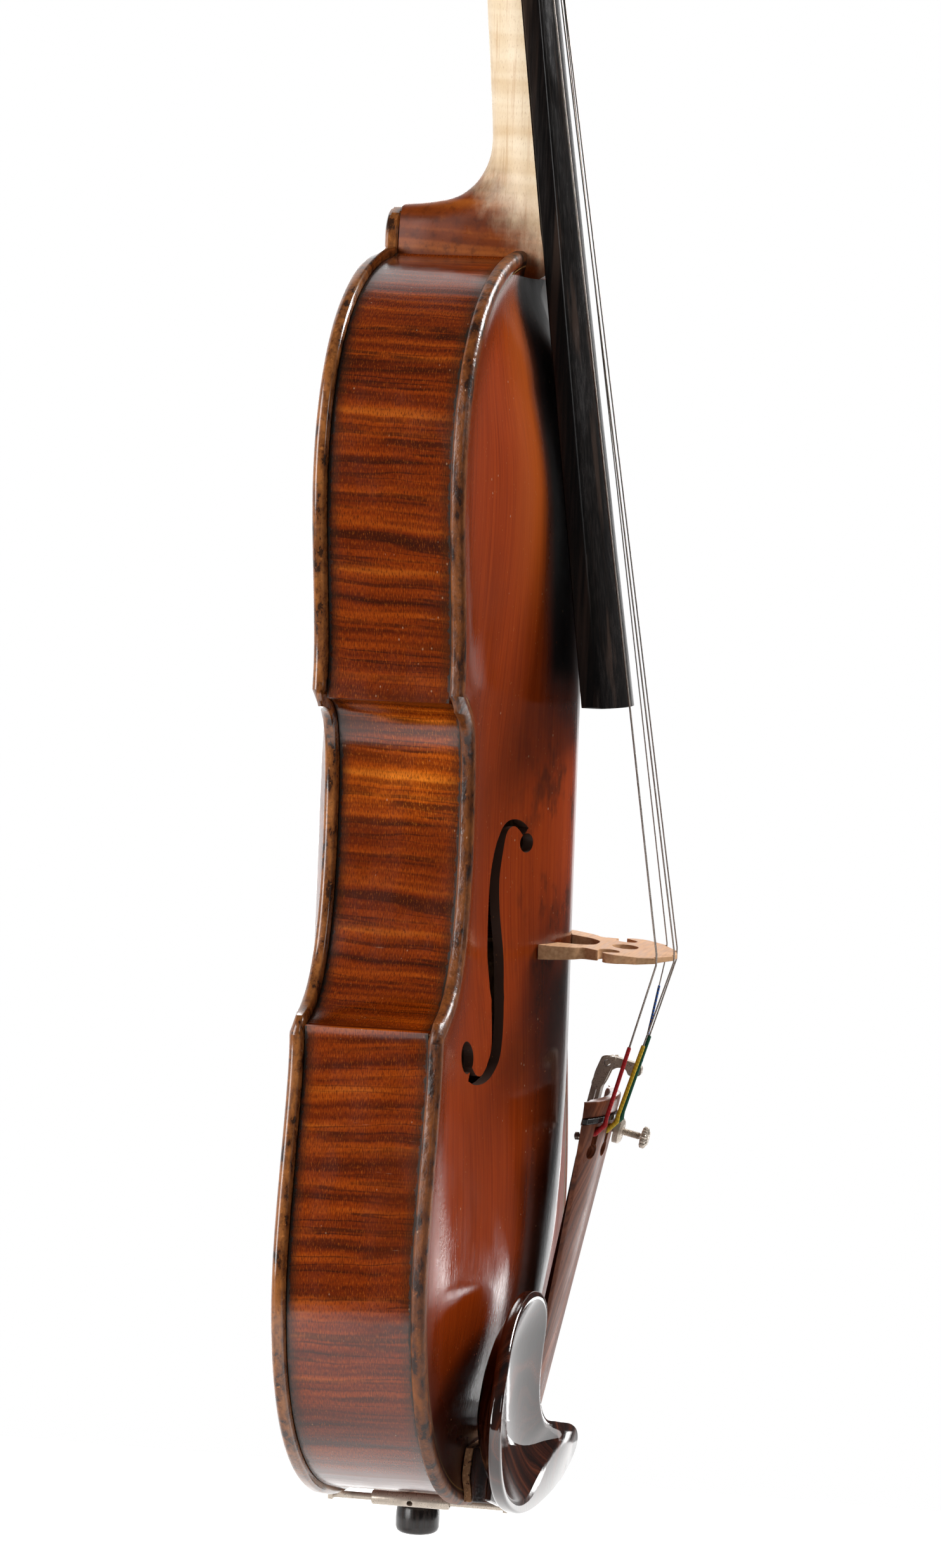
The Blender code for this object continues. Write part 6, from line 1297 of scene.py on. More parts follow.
def scroll_mesh(steps=72):
    """Volute with a sloping step between its turns and a fluted outer face."""
    verts, faces = [], []
    total = int(SCROLL_TURNS * steps)
    eye_y, eye_z = eye()

    def point(turn, radius, x):
        a = 2 * math.pi * turn
        verts.append((x, eye_y + radius * math.cos(a), eye_z + radius * math.sin(a)))
        return len(verts) - 1

    rims, feet = {}, {}
    for sign in (1, -1):
        rims[sign], feet[sign] = [], []
        for k in range(total + 1):
            turn = k / steps
            half = scroll_half_width(turn)
            rims[sign].append(point(turn, scroll_radius(turn), sign * half))
            if k + steps <= total:
                feet[sign].append(point(turn, scroll_radius(turn + 1) + 0.0002, sign * (half - SCROLL_STEP)))
        rim, foot = rims[sign], feet[sign]
        for k in range(total - steps):
            faces.append((rim[k], rim[k + 1], foot[k + 1], foot[k]))
            faces.append((foot[k], foot[k + 1], rim[k + 1 + steps], rim[k + steps]))
        last = total - steps
        centre = point(0.0, 0.0, sign * (scroll_half_width(SCROLL_TURNS) + 0.0006))
        for k in range(last, total):
            faces.append((rim[k], rim[k + 1], centre))
        faces.append((rim[total], foot[last], centre))
        faces.append((foot[last], rim[last], centre))
    curve = np.array(smooth_path([(-1.0, 0.0), (-0.86, -0.0001), (-0.62, -0.0009), (-0.34, -0.0011), (0.0, -0.0001),
                                  (0.34, -0.0011), (0.62, -0.0009), (0.86, -0.0001), (1.0, 0.0)], 3))[1:-1]
    rows = []
    for k in range(steps + 1):
        turn = k / steps
        half = scroll_half_width(turn)
        row = [rims[-1][k]]
        row += [point(turn, scroll_radius(turn) + deep, share * half) for share, deep in curve]
        rows.append(row + [rims[1][k]])
    for a, b in zip(rows[:-1], rows[1:]):
        for i in range(len(a) - 1):
            faces.append((a[i], a[i + 1], b[i + 1], b[i]))
    faces.append(tuple(rows[0] + [feet[1][0]] + rows[-1][::-1] + [feet[-1][0]]))
    form = Form()
    form.add(verts, faces)
    return form.mesh("scroll", False)


def make_neck():
    rings = neck_rings()
    tracks = np.array([smooth_path([ring[i] for ring in rings], 4) for i in range(len(rings[0]))])
    first, last = HEEL_EASED
    for _ in range(14):
        part = tracks[1:-1, first:last]
        part += 0.5 * ((tracks[1:-1, first - 1:last - 1] + tracks[1:-1, first + 1:last + 1]) / 2 - part)
        part += 0.3 * ((tracks[:-2, first:last] + tracks[2:, first:last]) / 2 - part)
    form = Form()
    form.skin([[tuple(track[k]) for track in tracks] for k in range(tracks.shape[1])])
    cutter = Form()
    rings = []
    for k in range(13):
        z = NUT_HEIGHT + 0.0130 + (0.0740 - 0.0130) * k / 12
        half = head_half(z) - HEAD_WALL
        floor, front = head_back(z) - HEAD_FLOOR, head_front(z) - 0.012
        rings.append([(-half, front, z), (half, front, z), (half * 0.88, floor, z), (-half * 0.88, floor, z)])
    cutter.skin(rings)
    cutters = [cutter.mesh("pegbox", False)]
    for name, sign, along, _ in PEGS:
        y, z = peg_centre(along)
        hole = Form()
        hole.turned(peg_profile(head_half(z), PEG_CLEARANCE), (0, y, z), (sign, 0, 0), 32)
        cutters.append(hole.mesh("peg_hole", False))
    eye_y, eye_z = eye()
    wide, small = scroll_half_width(SCROLL_TURNS) + 0.0014, scroll_radius(SCROLL_TURNS) * 1.06
    boss = Form()
    boss.turned([(0.0, small - 0.0009), (0.0002, small - 0.0004), (0.0007, small), (2 * wide - 0.0007, small),
                 (2 * wide - 0.0002, small - 0.0004), (2 * wide, small - 0.0009)], (-wide, eye_y, eye_z), (1, 0, 0), 48)
    mesh = carved(form.mesh("neck", False), [scroll_mesh(), boss.mesh("boss", False)], "UNION")
    mesh = carved(mesh, cutters)
    points = np.array([v.co for v in mesh.vertices])
    for name, values in (("along", points[:, 2] + 2.0), ("high", points[:, 0] + 0.6 * points[:, 1])):
        mesh.attributes.new(name, "FLOAT", "POINT").data.foreach_set("value", values)
    for vertex in mesh.vertices:
        vertex.co += ORIGIN
    new_piece("neck_fine", mesh, "neck_and_scroll", MATERIALS["bare_maple"], 38.0, 0.00035)


def peg_centre(along):
    z = NUT_HEIGHT + along
    return 0.56 * head_front(z) + 0.44 * head_back(z), z


def peg_profile(half, clearance=0.0):
    return [(-half - PEG_TAIL, PEG_RADIUS - PEG_TAPER / 2 + clearance),
            (half + PEG_NECK, PEG_RADIUS + PEG_TAPER / 2 + clearance)]


def make_pegs():
    for name, sign, along, tilt in PEGS:
        y, z = peg_centre(along)
        half = head_half(z)
        (low, thin), (high, thick) = peg_profile(half)
        shape = [(low, thin * 0.90, thin * 0.90), (low + 0.0005, thin, thin), (high, thick, thick),
                 (high + 0.0001, 0.0050, 0.0050), (high + 0.0004, 0.0056, 0.0056), (high + 0.0014, 0.0056, 0.0056),
                 (high + 0.0018, 0.0052, 0.0052), (high + 0.0020, 0.0038, 0.0038)]
        head = smooth_path([(high + 0.0022, 0.0036, 0.0036), (high + 0.0060, 0.0040, 0.0036),
                            (high + 0.0090, 0.0082, 0.0040), (high + 0.0140, 0.0112, 0.0038),
                            (high + 0.0190, 0.0108, 0.0034), (high + 0.0235, 0.0072, 0.0028),
                            (high + 0.0250, 0.0026, 0.0022)], 5)
        shape += [tuple(p) for p in head]
        shape += [(high + 0.0252, 0.0019, 0.0019), (high + 0.0257, 0.0022, 0.0022), (high + 0.0262, 0.0019, 0.0019),
                  (high + 0.0265, 0.0010, 0.0010)]
        rings = []
        for distance, wide, flat in shape:
            ring = []
            for k in range(32):
                a = 2 * math.pi * k / 32
                u, v = wide * math.cos(a), flat * math.sin(a)
                ring.append((sign * distance, y + u * math.sin(tilt) + v * math.cos(tilt),
                             z + u * math.cos(tilt) - v * math.sin(tilt)))
            rings.append(ring)
        form = Form()
        form.skin(rings)
        new_piece(name + "_fine", form.mesh(name + "_fine"), name, None, 35.0)


def string_x(index, spread):
    return spread * (index - 1.5) / 3


def nut_string_y(x):
    return board_top(0, NUT_HEIGHT) - STRING_OVER_BOARD + sag(x, NUT_RADIUS)


def bridge_top_y(x):
    """Crown of the bridge, lower under the thinner strings."""
    lean = BRIDGE_LEAN * (max(0.0, x + 0.0059) / 0.02365) ** 1.35
    return board_top(0, BRIDGE_HEIGHT) - BRIDGE_LIFT + sag(x, BRIDGE_RADIUS) + lean


def tail_half(z):
    share = (TAIL_TOP_HEIGHT - z) / TAIL_LENGTH
    return (TAIL_TOP_WIDTH + (TAIL_END_WIDTH - TAIL_TOP_WIDTH) * share ** 0.85) / 2


def tail_top(x, z):
    half = TAIL_TOP_WIDTH / 2
    radius = (half * half + TAIL_SAG * TAIL_SAG) / (2 * TAIL_SAG)
    return -TAIL_CROWN_Y - TAIL_SLOPE * (z - TAIL_TOP_HEIGHT) + sag(x, radius)


def tuner_point(out, up):
    slope = math.atan(TAIL_SLOPE)
    c, s = math.cos(slope), math.sin(slope)
    pin_y, pin_z = TUNER_PIN_SINK - TAIL_CROWN_Y, TAIL_TOP_HEIGHT + TUNER_PIN_RISE
    return (pin_y - c * out - s * up, pin_z - s * out + c * up)


def make_strings():
    for index, (name, peg, thick, start) in enumerate(STRINGS):
        sign, along = {p[0]: p[1:3] for p in PEGS}[peg]
        y, z = peg_centre(along)
        half = head_half(z)
        pitch = thick + 0.00045
        points = []
        for k in range(76):
            turn = k / 30
            x = start + pitch * turn
            share = (x + half + PEG_TAIL) / (2 * half + PEG_TAIL + PEG_NECK)
            radius = PEG_RADIUS + PEG_TAPER * (share - 0.5) + SEAT + 0.0001 + thick / 2
            a = 2 * math.pi * turn
            points.append((sign * x, y - radius * math.cos(a), z + radius * math.sin(a)))
        points = points[::-1]
        wound = len(points)
        nut_x, bridge_x = string_x(index, STRING_SPREAD_NUT), string_x(index, STRING_SPREAD_BRIDGE)
        tail_x = string_x(index, TAIL_STRING_SPREAD)
        nut_y, bridge_y = nut_string_y(nut_x), bridge_top_y(bridge_x)
        first = Vector(points[-1]).lerp(Vector((nut_x, nut_y, NUT_HEIGHT + NUT_THICK + 0.0006)), 0.8)
        points.append(tuple(first))
        points.append((nut_x, nut_y, NUT_HEIGHT + NUT_THICK + 0.0006))
        points.append((nut_x, nut_y, NUT_HEIGHT - 0.0006))
        points.append((bridge_x, bridge_y, BRIDGE_HEIGHT + 0.0006))
        points.append((bridge_x, bridge_y, BRIDGE_HEIGHT - BRIDGE_FOOT_THICK / 2 - 0.0006))
        shown = STRING_SHOWN * thick / 2
        radii = [shown] * len(points)
        silk = [1.0] * (wound + 1) + [0.0] * (len(points) - wound - 1)
        if index == 3:
            hook = tuner_point(TUNER_ARM, 0.0030)
            ends = [(tail_x, hook[0], hook[1])]
        else:
            z = TAIL_TOP_HEIGHT - TAIL_FRET_DROP
            rest = tail_top(tail_x, z) - 0.0010 - SILK_DIAMETER / 2 - SEAT
            low = TAIL_TOP_HEIGHT - TAIL_SLIT_DROP
            ends = [(tail_x, rest, z + 0.0006), (tail_x, rest + 0.0004, z - 0.0016),
                    (tail_x, tail_top(tail_x, low) + 0.0006, low - 0.0012),
                    (tail_x, tail_top(tail_x, low) + TAIL_WALL + 0.0014, low - 0.0022)]
        begin = Vector(points[-1])
        way = Vector(ends[0]) - begin
        share = (0.53, 0.54, 0.50, 0.29)[index]
        points += [tuple(begin + way * share), tuple(begin + way * (share + 0.006)), tuple(begin + way * (share + 0.01))]
        silk_radius = SILK_SHOWN * SILK_DIAMETER / 2 * (0.62 if index == 3 else 1.0)
        radii += [shown, silk_radius * 0.85, silk_radius]
        silk += [0.0, 1.0, 1.0]
        points += ends
        radii += [silk_radius * (1.25 if 0 < k < 3 else 1.0) for k in range(len(ends))]
        silk += [1.0] * len(ends)
        if index < 3:
            x, y, z = points[-1]
            points += [(x, y + 0.0003, z), (x, y + 0.0014, z), (x, y + 0.0017, z)]
            radii += [0.0013, 0.0013, 0.0007]
            silk[-1] = 0.0
            silk += [0.0, 0.0, 0.0]
        form = Form()
        form.tube(points, radii, 12, silk=silk, twist=[1.0 if index == 3 else 0.0] * len(points))
        mesh = form.mesh(name + "_fine")
        dye = mesh.attributes.new("dye", "FLOAT_COLOR", "POINT")
        dye.data.foreach_set("color", [c for _ in mesh.vertices for c in (*SILKS[name], 1.0)])
        new_piece(name + "_fine", mesh, name, None, 60.0)


def make_bridge(belly_form):
    """Bridge with smooth kidneys and a heart."""
    def belly_y(x):
        reach = BRIDGE_FOOT_THICK / 2
        rows = np.array([(x, BRIDGE_HEIGHT + dz) for dz in (-reach, reach)])
        return BELLY_PLANE - float(belly_form.outer(rows).max()) - SEAT

    base = belly_y(0)
    foot, half = BRIDGE_FEET / 2, BRIDGE_TOP_WIDTH / 2
    arch = smooth_path([(0.0, base - 0.0095), (0.0050, base - 0.0090), (0.0095, base - 0.0058),
                        (0.0118, belly_y(0.0118) - 0.0022), (0.0128, belly_y(0.0128))], 5)
    feet = [(foot * s, belly_y(foot * s)) for s in (0.60, 0.68, 0.76, 0.84, 0.92, 1.0)]
    side = smooth_path([(foot - 0.0002, belly_y(foot) - 0.0032), (foot - 0.0045, base - 0.0048),
                        (foot - 0.0078, base - 0.0075), (foot - 0.0068, base - 0.0105),
                        (foot - 0.0060, base - 0.0128), (foot - 0.0096, base - 0.0126),
                        (foot - 0.0122, base - 0.0140), (foot - 0.0128, base - 0.0168),
                        (foot - 0.0108, base - 0.0190), (foot - 0.0075, base - 0.0192),
                        (foot - 0.0052, base - 0.0172), (foot - 0.0030, base - 0.0150),
                        (foot - 0.0008, base - 0.0165), (foot + 0.0002, base - 0.0200),
                        (half, bridge_top_y(half) + 0.0015)], 4)
    right = [tuple(p) for p in arch] + feet + [tuple(p) for p in side]
    top = []
    for k in range(4):
        x, deep = string_x(3 - k, STRING_SPREAD_BRIDGE), STRINGS[3 - k][2] / 2 + SEAT
        y = bridge_top_y(x)
        if k == 2:
            top.append((0.0, bridge_top_y(0)))
        top += [(x + deep + STRING_GROOVE, y), (x + deep, y + deep), (x - deep, y + deep),
                (x - deep - STRING_GROOVE, y)]
    left = [(-x, y) for x, y in right[1:]][::-1]
    left[0] = (-half, bridge_top_y(-half) + 0.0015)
    outline = right + top + left
    lowest = max(y for _, y in outline)
    form = Form()
    rings = []
    for face in (0, 1):
        ring = []
        for x, y in outline:
            share = (lowest - y) / (lowest - bridge_top_y(0))
            thick = BRIDGE_FOOT_THICK + (BRIDGE_TOP_THICK - BRIDGE_FOOT_THICK) * share
            ring.append((x, y, BRIDGE_HEIGHT - BRIDGE_FOOT_THICK / 2 + thick * face))
        rings.append(ring)
    form.skin(rings)
    crown = bridge_top_y(0)
    down, wide, high, dip = (share * (base - crown) for share in BRIDGE_HEART)
    heart = []
    for k in range(48):
        a = 2 * math.pi * k / 48
        heart.append((wide * math.sin(a) * (1.0 - 0.25 * math.cos(a)),
                      crown + down - high * math.cos(a) - dip * abs(math.sin(a))))
    hole = Form()
    hole.skin([[(x, y, BRIDGE_HEIGHT + depth) for x, y in heart] for depth in (-0.01, 0.01)])
    mesh = carved(form.mesh("bridge_fine"), [hole.mesh("heart")])
    new_piece("bridge_fine", mesh, "bridge", BRIDGE, 35.0, 0.00022)


def key_hole(x):
    low, half = TAIL_TOP_HEIGHT - TAIL_HOLE_DROP, SILK_DIAMETER / 2 + 2 * SEAT
    top = TAIL_TOP_HEIGHT - TAIL_SLIT_DROP + 0.0012
    first = math.asin(half / TAIL_HOLE_RADIUS)
    outline = [(x + half, top), (x - half, top)]
    for k in range(33):
        a = first + (2 * math.pi - 2 * first) * k / 32
        outline.append((x - TAIL_HOLE_RADIUS * math.sin(a), low + TAIL_HOLE_RADIUS * math.cos(a)))
    return outline


def screw_start():
    y, z = tuner_point(SEAT - TUNER_TAIL, -TUNER_SCREW_OFFSET)
    return (string_x(3, TAIL_STRING_SPREAD), y, z)


def screw_way():
    slope = math.atan(TAIL_SLOPE)
    return (0, -math.cos(slope), -math.sin(slope))


def fret_rings(grow, tall=TAIL_FRET_HALF, inset=0.0022):
    rings = []
    z = TAIL_TOP_HEIGHT - TAIL_FRET_DROP
    for at in (z - tall - grow, z + tall + grow):
        half = tail_half(at) - inset + grow
        xs = [half * (-1 + 2 * k / 32) for k in range(33)]
        rings.append([(x, tail_top(x, at) - 0.0010 - grow, at) for x in xs]
                     + [(x, tail_top(x, at) + 0.0010 + grow, at) for x in xs[::-1]])
    return rings


def make_tailpiece():
    """Arched shell with key holes, solid at its lower end."""
    shares = [0.0, 0.003, 0.01, 0.04] + [0.04 + 0.84 * k / 20 for k in range(1, 21)] + [0.94, 0.985, 0.996, 1.0]
    widths = {0.0: 0.975, 0.003: 0.992, 0.985: 0.94, 0.996: 0.90, 1.0: 0.86, 0.94: 0.985}
    rings = []
    for share in shares:
        z = TAIL_TOP_HEIGHT - share * TAIL_LENGTH
        half = tail_half(z) * widths.get(share, 1.0)
        deep = TAIL_WALL + (TAIL_END_DEPTH - TAIL_WALL) * min(max((share - 0.78) / 0.08, 0.0), 1.0)
        ease = 0.0006 if share in (0.0, 1.0) else (0.0002 if share in (0.003, 0.996) else 0.0)
        ring = []
        for k in range(41):
            x = half * (-1 + 2 * k / 40)
            lip = max(0.0, abs(x) / half - 0.95) / 0.05
            ring.append((x, tail_top(x, z) + ease + 0.0006 * lip * lip, z))
        for k in range(1, 24):
            x = (half - 0.0012) * (1 - 2 * k / 24)
            lip = min(1.0, 4 * (1 - abs(x) / half))
            ring.append((x, tail_top(x, z) + max(deep * lip, 0.002) - ease, z))
        rings.append(ring)
    form = Form()
    form.skin(rings)
    cutters = []
    for k in range(4):
        x = string_x(k, TAIL_STRING_SPREAD)
        centre = tail_top(x, TAIL_TOP_HEIGHT - TAIL_HOLE_DROP)
        cutters.append(prism_mesh(key_hole(x), centre - 0.010, centre + 0.014))
    seat = Form()
    seat.skin(fret_rings(SEAT, 0.0009, 0.0004))
    cutters.append(seat.mesh("seat", False))
    gut_z = TAIL_END_HEIGHT + TAIL_GUT_RISE
    bore = TAILGUT_DIAMETER / 2 + SEAT
    for sign in (-1, 1):
        hole = Form()
        hole.turned([(-0.02, bore), (0.02, bore)],
                    (sign * TAIL_GUT_SPREAD / 2, tail_top(0, gut_z) + TAIL_GUT_DEPTH, gut_z), (0, 0, 1), 24)
        cutters.append(hole.mesh("gut_hole", False))
    hole = Form()
    hole.turned([(0.0005, 0.0020), (0.03, 0.0020)], screw_start(), screw_way(), 24)
    cutters.append(hole.mesh("screw_hole", False))
    mesh = carved(form.mesh("tailpiece_fine", False), cutters)
    for vertex in mesh.vertices:
        vertex.co += ORIGIN
    new_piece("tailpiece_fine", mesh, "tailpiece", TAIL, 38.0)
    fret = Form()
    fret.skin(fret_rings(0.0, 0.0009, 0.0004))
    new_piece("tailpiece_fret_fine", fret.mesh("tailpiece_fret_fine"), "tailpiece_fret", None, 35.0, 0.0002)


def rim_height(points):
    height = np.full(len(points), CHIN_RIM)
    for at_x, at_z, wide, tall, rise in CHIN_RISES:
        height += rise * np.exp(-(((points[:, 0] - at_x) / wide) ** 2 + ((points[:, 1] - at_z) / tall) ** 2))
    return height


def pad_rings(belly_form, gap, top, steps=9):
    rings = []
    for i in range(steps):
        x = CORK_SIDES[0] + (CORK_SIDES[1] - CORK_SIDES[0]) * i / (steps - 1)
        low, high = [], []
        for k in range(steps):
            z = CORK_ENDS[0] + (CORK_ENDS[1] - CORK_ENDS[0]) * k / (steps - 1)
            near = np.array([(x, z), (x, z + 0.0015)])
            y = BELLY_PLANE - float(belly_form.outer(near).max()) - SEAT - gap
            low.append((x, y, z))
            high.append((x, top if top < 0 else y - top, z))
        rings.append(low + high[::-1])
    return rings


def make_chinrest(belly_form):
    """Cup with a crisp rim, its lobe over the tailpiece, and the foot under it."""
    outline = np.array(closed_path(CHIN_LINE, 8))
    cup = np.array(closed_path(CUP_LINE, 8))
    centre = np.array(CUP_CENTRE)
    count = len(outline)
    way = cup - outline
    way /= np.linalg.norm(way, axis=1)[:, None]
    rings = []

    def ring(points, drop):
        drops = np.broadcast_to(drop, len(points))
        rings.append([(x, CREST - rise + deep, z) for (x, z), rise, deep in zip(points, rim_height(points), drops)])

    def in_cup(share):
        return centre + (cup - centre) * share

    loop = np.vstack([cup, cup[:1]])

    def bowl(share):
        inside = np.minimum(distance_to(loop, in_cup(share)) / BOWL_REACH, 1.0)
        deep = CHIN_BOWL * (1 - (1 - inside) ** 2.1)
        for _ in range(int(10 * (1 - share)) + 1):
            deep = (np.roll(deep, 1) + 2 * deep + np.roll(deep, -1)) / 4
        return deep

    for share in (0.12, 0.30, 0.45, 0.62, 0.78, 0.90):
        ring(in_cup(share), CHIN_WALL + bowl(share))
    ring(outline + way * 0.0014, CHIN_WALL)
    for k in range(1, 5):
        a = math.pi / 2 * k / 4
        ring(outline + way * 0.0014 * (1 - math.sin(a)), CHIN_WALL - 0.0014 * (1 - math.cos(a)))
    for k in range(5):
        a = math.pi / 2 * k / 4
        ring(outline + way * 0.0010 * (1 - math.cos(a)), 0.0010 * (1 - math.sin(a)))
    ring(cup - way * 0.0002, 0.0)
    ring(in_cup(0.996), 0.0001)
    for share in (0.985, 0.97, 0.95, 0.925, 0.895, 0.86, 0.82, 0.775, 0.725, 0.67, 0.61, 0.54, 0.46, 0.36, 0.24, 0.12):
        ring(in_cup(share), bowl(share))
    verts = [p for r in rings for p in r]
    faces = []
    for k in range(len(rings) - 1):
        a, b = k * count, (k + 1) * count
        for i in range(count):
            j = (i + 1) % count
            faces.append((a + i, a + j, b + j, b + i))
    middle = CREST - float(rim_height(centre[None])[0])
    low, high = len(verts), len(verts) + 1
    verts += [(centre[0], middle + CHIN_WALL + CHIN_BOWL, centre[1]), (centre[0], middle + CHIN_BOWL, centre[1])]
    last = (len(rings) - 1) * count
    for i in range(count):
        j = (i + 1) % count
        faces.append((j, i, low))
        faces.append((last + i, last + j, high))
    form = Form()
    form.add(verts, faces)
    new_piece("chinrest_fine", form.mesh("chinrest_fine"), "chinrest", None, 50.0)
    foot = Form()
    under = CREST - BRACKET_RISE - BRACKET_WALL / 2 - SEAT
    path = closed_path(CHIN_FOOT, 1)
    left = Form()
    block = [p for p in path]
    left.skin([[(x, depth, z) for x, z in block] for depth in (CREST - CHIN_RIM + CHIN_WALL + 0.0030, under)])
    new_piece("chinrest_foot", left.mesh("chinrest_foot"), "chinrest", None, 35.0, 0.0006)
    foot.skin(pad_rings(belly_form, CHIN_CORK + SEAT, under - 0.001))
    new_piece("chinrest_pad", foot.mesh("chinrest_pad"), "chinrest", None, 35.0, 0.0004)
    cork = Form()
    cork.skin(pad_rings(belly_form, 0.0, CHIN_CORK))
    new_piece("chinrest_cork_fine", cork.mesh("chinrest_cork_fine"), "chinrest_cork", None, 35.0, 0.0001)


def threaded(length, radius, pitch, depth):
    """Profile of a rod with thread grooves."""
    profile = [(0.0, radius - depth)]
    k = 0
    while (k + 1) * pitch < length:
        profile += [((k + 0.25) * pitch, radius), ((k + 0.5) * pitch, radius), ((k + 0.8) * pitch, radius - depth)]
        k += 1
    profile.append((length, radius - depth))
    return profile


def make_clamp():
    """Brackets, and barrels with bores and key holes."""
    low, rise, half = -CLAMP_DROP, BARREL_LENGTH / 2, BRACKET_WALL / 2
    centre = (BELLY_PLANE + back_plane(0)) / 2 - BARREL_OFFSET
    for name, plate_y, side in (("clamp_top", CREST - BRACKET_RISE, -1),
                                ("clamp_foot", back_plane(0) + PLATE_EDGE + half + SEAT, 1)):
        refined(name, 35.0, 0.0003)
    for label, sign in (("bass", -1), ("treble", 1)):
        x = sign * CLAMP_SPREAD / 2
        form = Form()
        profile = [(0.0, BARREL_RADIUS - 0.0006), (0.0002, BARREL_RADIUS - 0.0002), (0.0006, BARREL_RADIUS),
                   (BARREL_LENGTH - 0.0006, BARREL_RADIUS), (BARREL_LENGTH - 0.0002, BARREL_RADIUS - 0.0002),
                   (BARREL_LENGTH, BARREL_RADIUS - 0.0006)]
        form.turned(profile, (x, centre - rise, low), (0, 1, 0), 40)
        bore, key = Form(), Form()
        bore.turned([(-0.001, ROD_RADIUS + SEAT), (BARREL_LENGTH + 0.001, ROD_RADIUS + SEAT)],
                    (x, centre - rise, low), (0, 1, 0), 24)
        key.turned([(-0.006, BARREL_KEY), (0.006, BARREL_KEY)], (x, centre, low),
                   (math.cos(0.4), 0, math.sin(0.4)), 24)
        mesh = carved(form.mesh("barrel"), [bore.mesh("bore"), key.mesh("key")])
        new_piece(f"clamp_barrel_{label}_fine", mesh, f"clamp_barrel_{label}", None, 35.0, 0.00008)


def rounded(points, reach, steps=5):
    """Closed outline of (out, up) points with round corners, as (y, z) points of the tuner."""
    made = []
    for before, here, after in zip(points[-1:] + points[:-1], points, points[1:] + points[:1]):
        corner = Vector(here)
        back, on = Vector(before) - corner, Vector(after) - corner
        cut = min(reach, 0.45 * back.length, 0.45 * on.length)
        start, end = corner + back.normalized() * cut, corner + on.normalized() * cut
        for k in range(steps + 1):
            t = k / steps
            made.append(tuner_point(*(start * (1 - t) ** 2 + corner * 2 * t * (1 - t) + end * t * t)))
    return made


def slab(outline, low, high):
    """Plate across the instrument from an outline of (y, z) points."""
    form = Form()
    form.skin([[(x, y, z) for y, z in outline] for x in (low, high)])
    return form


def make_tuner():
    """Fine tuner: frame, lever, pin, and thumb screw with its thread and scalloped head."""
    middle, half = string_x(3, TAIL_STRING_SPREAD), TUNER_WIDTH / 2
    reach = TUNER_SCREW_OFFSET + 0.0035
    ear = rounded([(0.0026, 0.0030), (-0.0022, 0.0010), (-0.0036, -0.0085), (-0.0006, -0.0100), (0.0008, -0.0064)],
                  0.0016)
    base = rounded([(0.0, -0.0060), (-TUNER_BASE, -0.0060), (-TUNER_BASE, -reach), (0.0, -reach)], 0.0003)
    pin_y, pin_z = tuner_point(0, 0)
    pin_start = (middle - half - 0.0004, pin_y, pin_z)
    bore, thread = Form(), Form()
    bore.turned([(-0.002, TUNER_PIN_RADIUS + SEAT), (TUNER_WIDTH + 0.0028, TUNER_PIN_RADIUS + SEAT)],
                pin_start, (1, 0, 0), 32)
    hole = TUNER_SCREW_RADIUS + SEAT + 0.0001
    thread.turned([(-0.003, hole), (0.006, hole)], screw_start(), screw_way(), 24)
    frame = slab(base, middle - half, middle + half).mesh("tuner_frame_fine")
    ears = [slab(ear, low, low + TUNER_WALL).mesh("ear") for low in (middle - half, middle + half - TUNER_WALL)]
    frame = carved(carved(frame, ears, "UNION"), [bore.mesh("bore"), thread.mesh("thread")])
    new_piece("tuner_frame_fine", frame, "tuner_frame", None, 35.0)
    lever_half = half - TUNER_WALL - SEAT - 0.0001
    tail = -TUNER_TAIL
    arm = rounded([(-0.0024, 0.0016), (-0.0004, 0.0024), (TUNER_ARM - 0.0010, 0.0021),
                   (TUNER_ARM + 0.0008, 0.0012), (TUNER_ARM + 0.0010, -0.0016), (TUNER_ARM - 0.0030, -0.0026),
                   (TUNER_ARM - 0.0042, -0.0006), (0.0034, -0.0008), (0.0018, -0.0024),
                   (tail + 0.0002, -0.0044), (tail, -TUNER_LEVER), (2 * tail, -TUNER_LEVER), (-0.0034, -0.0040)],
                  0.0011)
    lever = carved(slab(arm, middle - lever_half, middle + lever_half).mesh("tuner_lever_fine"), [bore.mesh("bore")])
    new_piece("tuner_lever_fine", lever, "tuner_lever", None, 35.0)
    form = Form()
    long = TUNER_WIDTH + 0.0008
    form.turned([(0.0, TUNER_PIN_RADIUS - 0.0001), (0.0001, TUNER_PIN_RADIUS), (long - 0.0001, TUNER_PIN_RADIUS),
                 (long, TUNER_PIN_RADIUS - 0.0001)], pin_start, (1, 0, 0), 32)
    new_piece("tuner_pin_fine", form.mesh("tuner_pin_fine"), "tuner_pin", None, 35.0)
    start, way = screw_start(), screw_way()
    form = Form()
    form.turned(threaded(TUNER_SCREW_LENGTH, TUNER_SCREW_RADIUS, 0.0005, 0.0002), start, way, 20)
    new_piece("tuner_screw_fine", form.mesh("tuner_screw_fine"), "tuner_screw", None, 25.0)
    form = Form()
    high = TUNER_SCREW_LENGTH
    profile = [(high + SEAT, 0.0022), (high + 0.0004, 0.0032), (high + 0.0007, 0.0036), (high + 0.0019, 0.0036),
               (high + 0.0022, 0.0033), (high + 0.0024, 0.0026), (high + 0.0028, 0.0022)]
    form.turned(profile, start, way, 96, 12, 0.0005)
    new_piece("tuner_screw_head_fine", form.mesh("tuner_screw_head_fine"), "tuner_screw_head", None, 35.0)
    refined("tuner_ring_nut", 40.0)


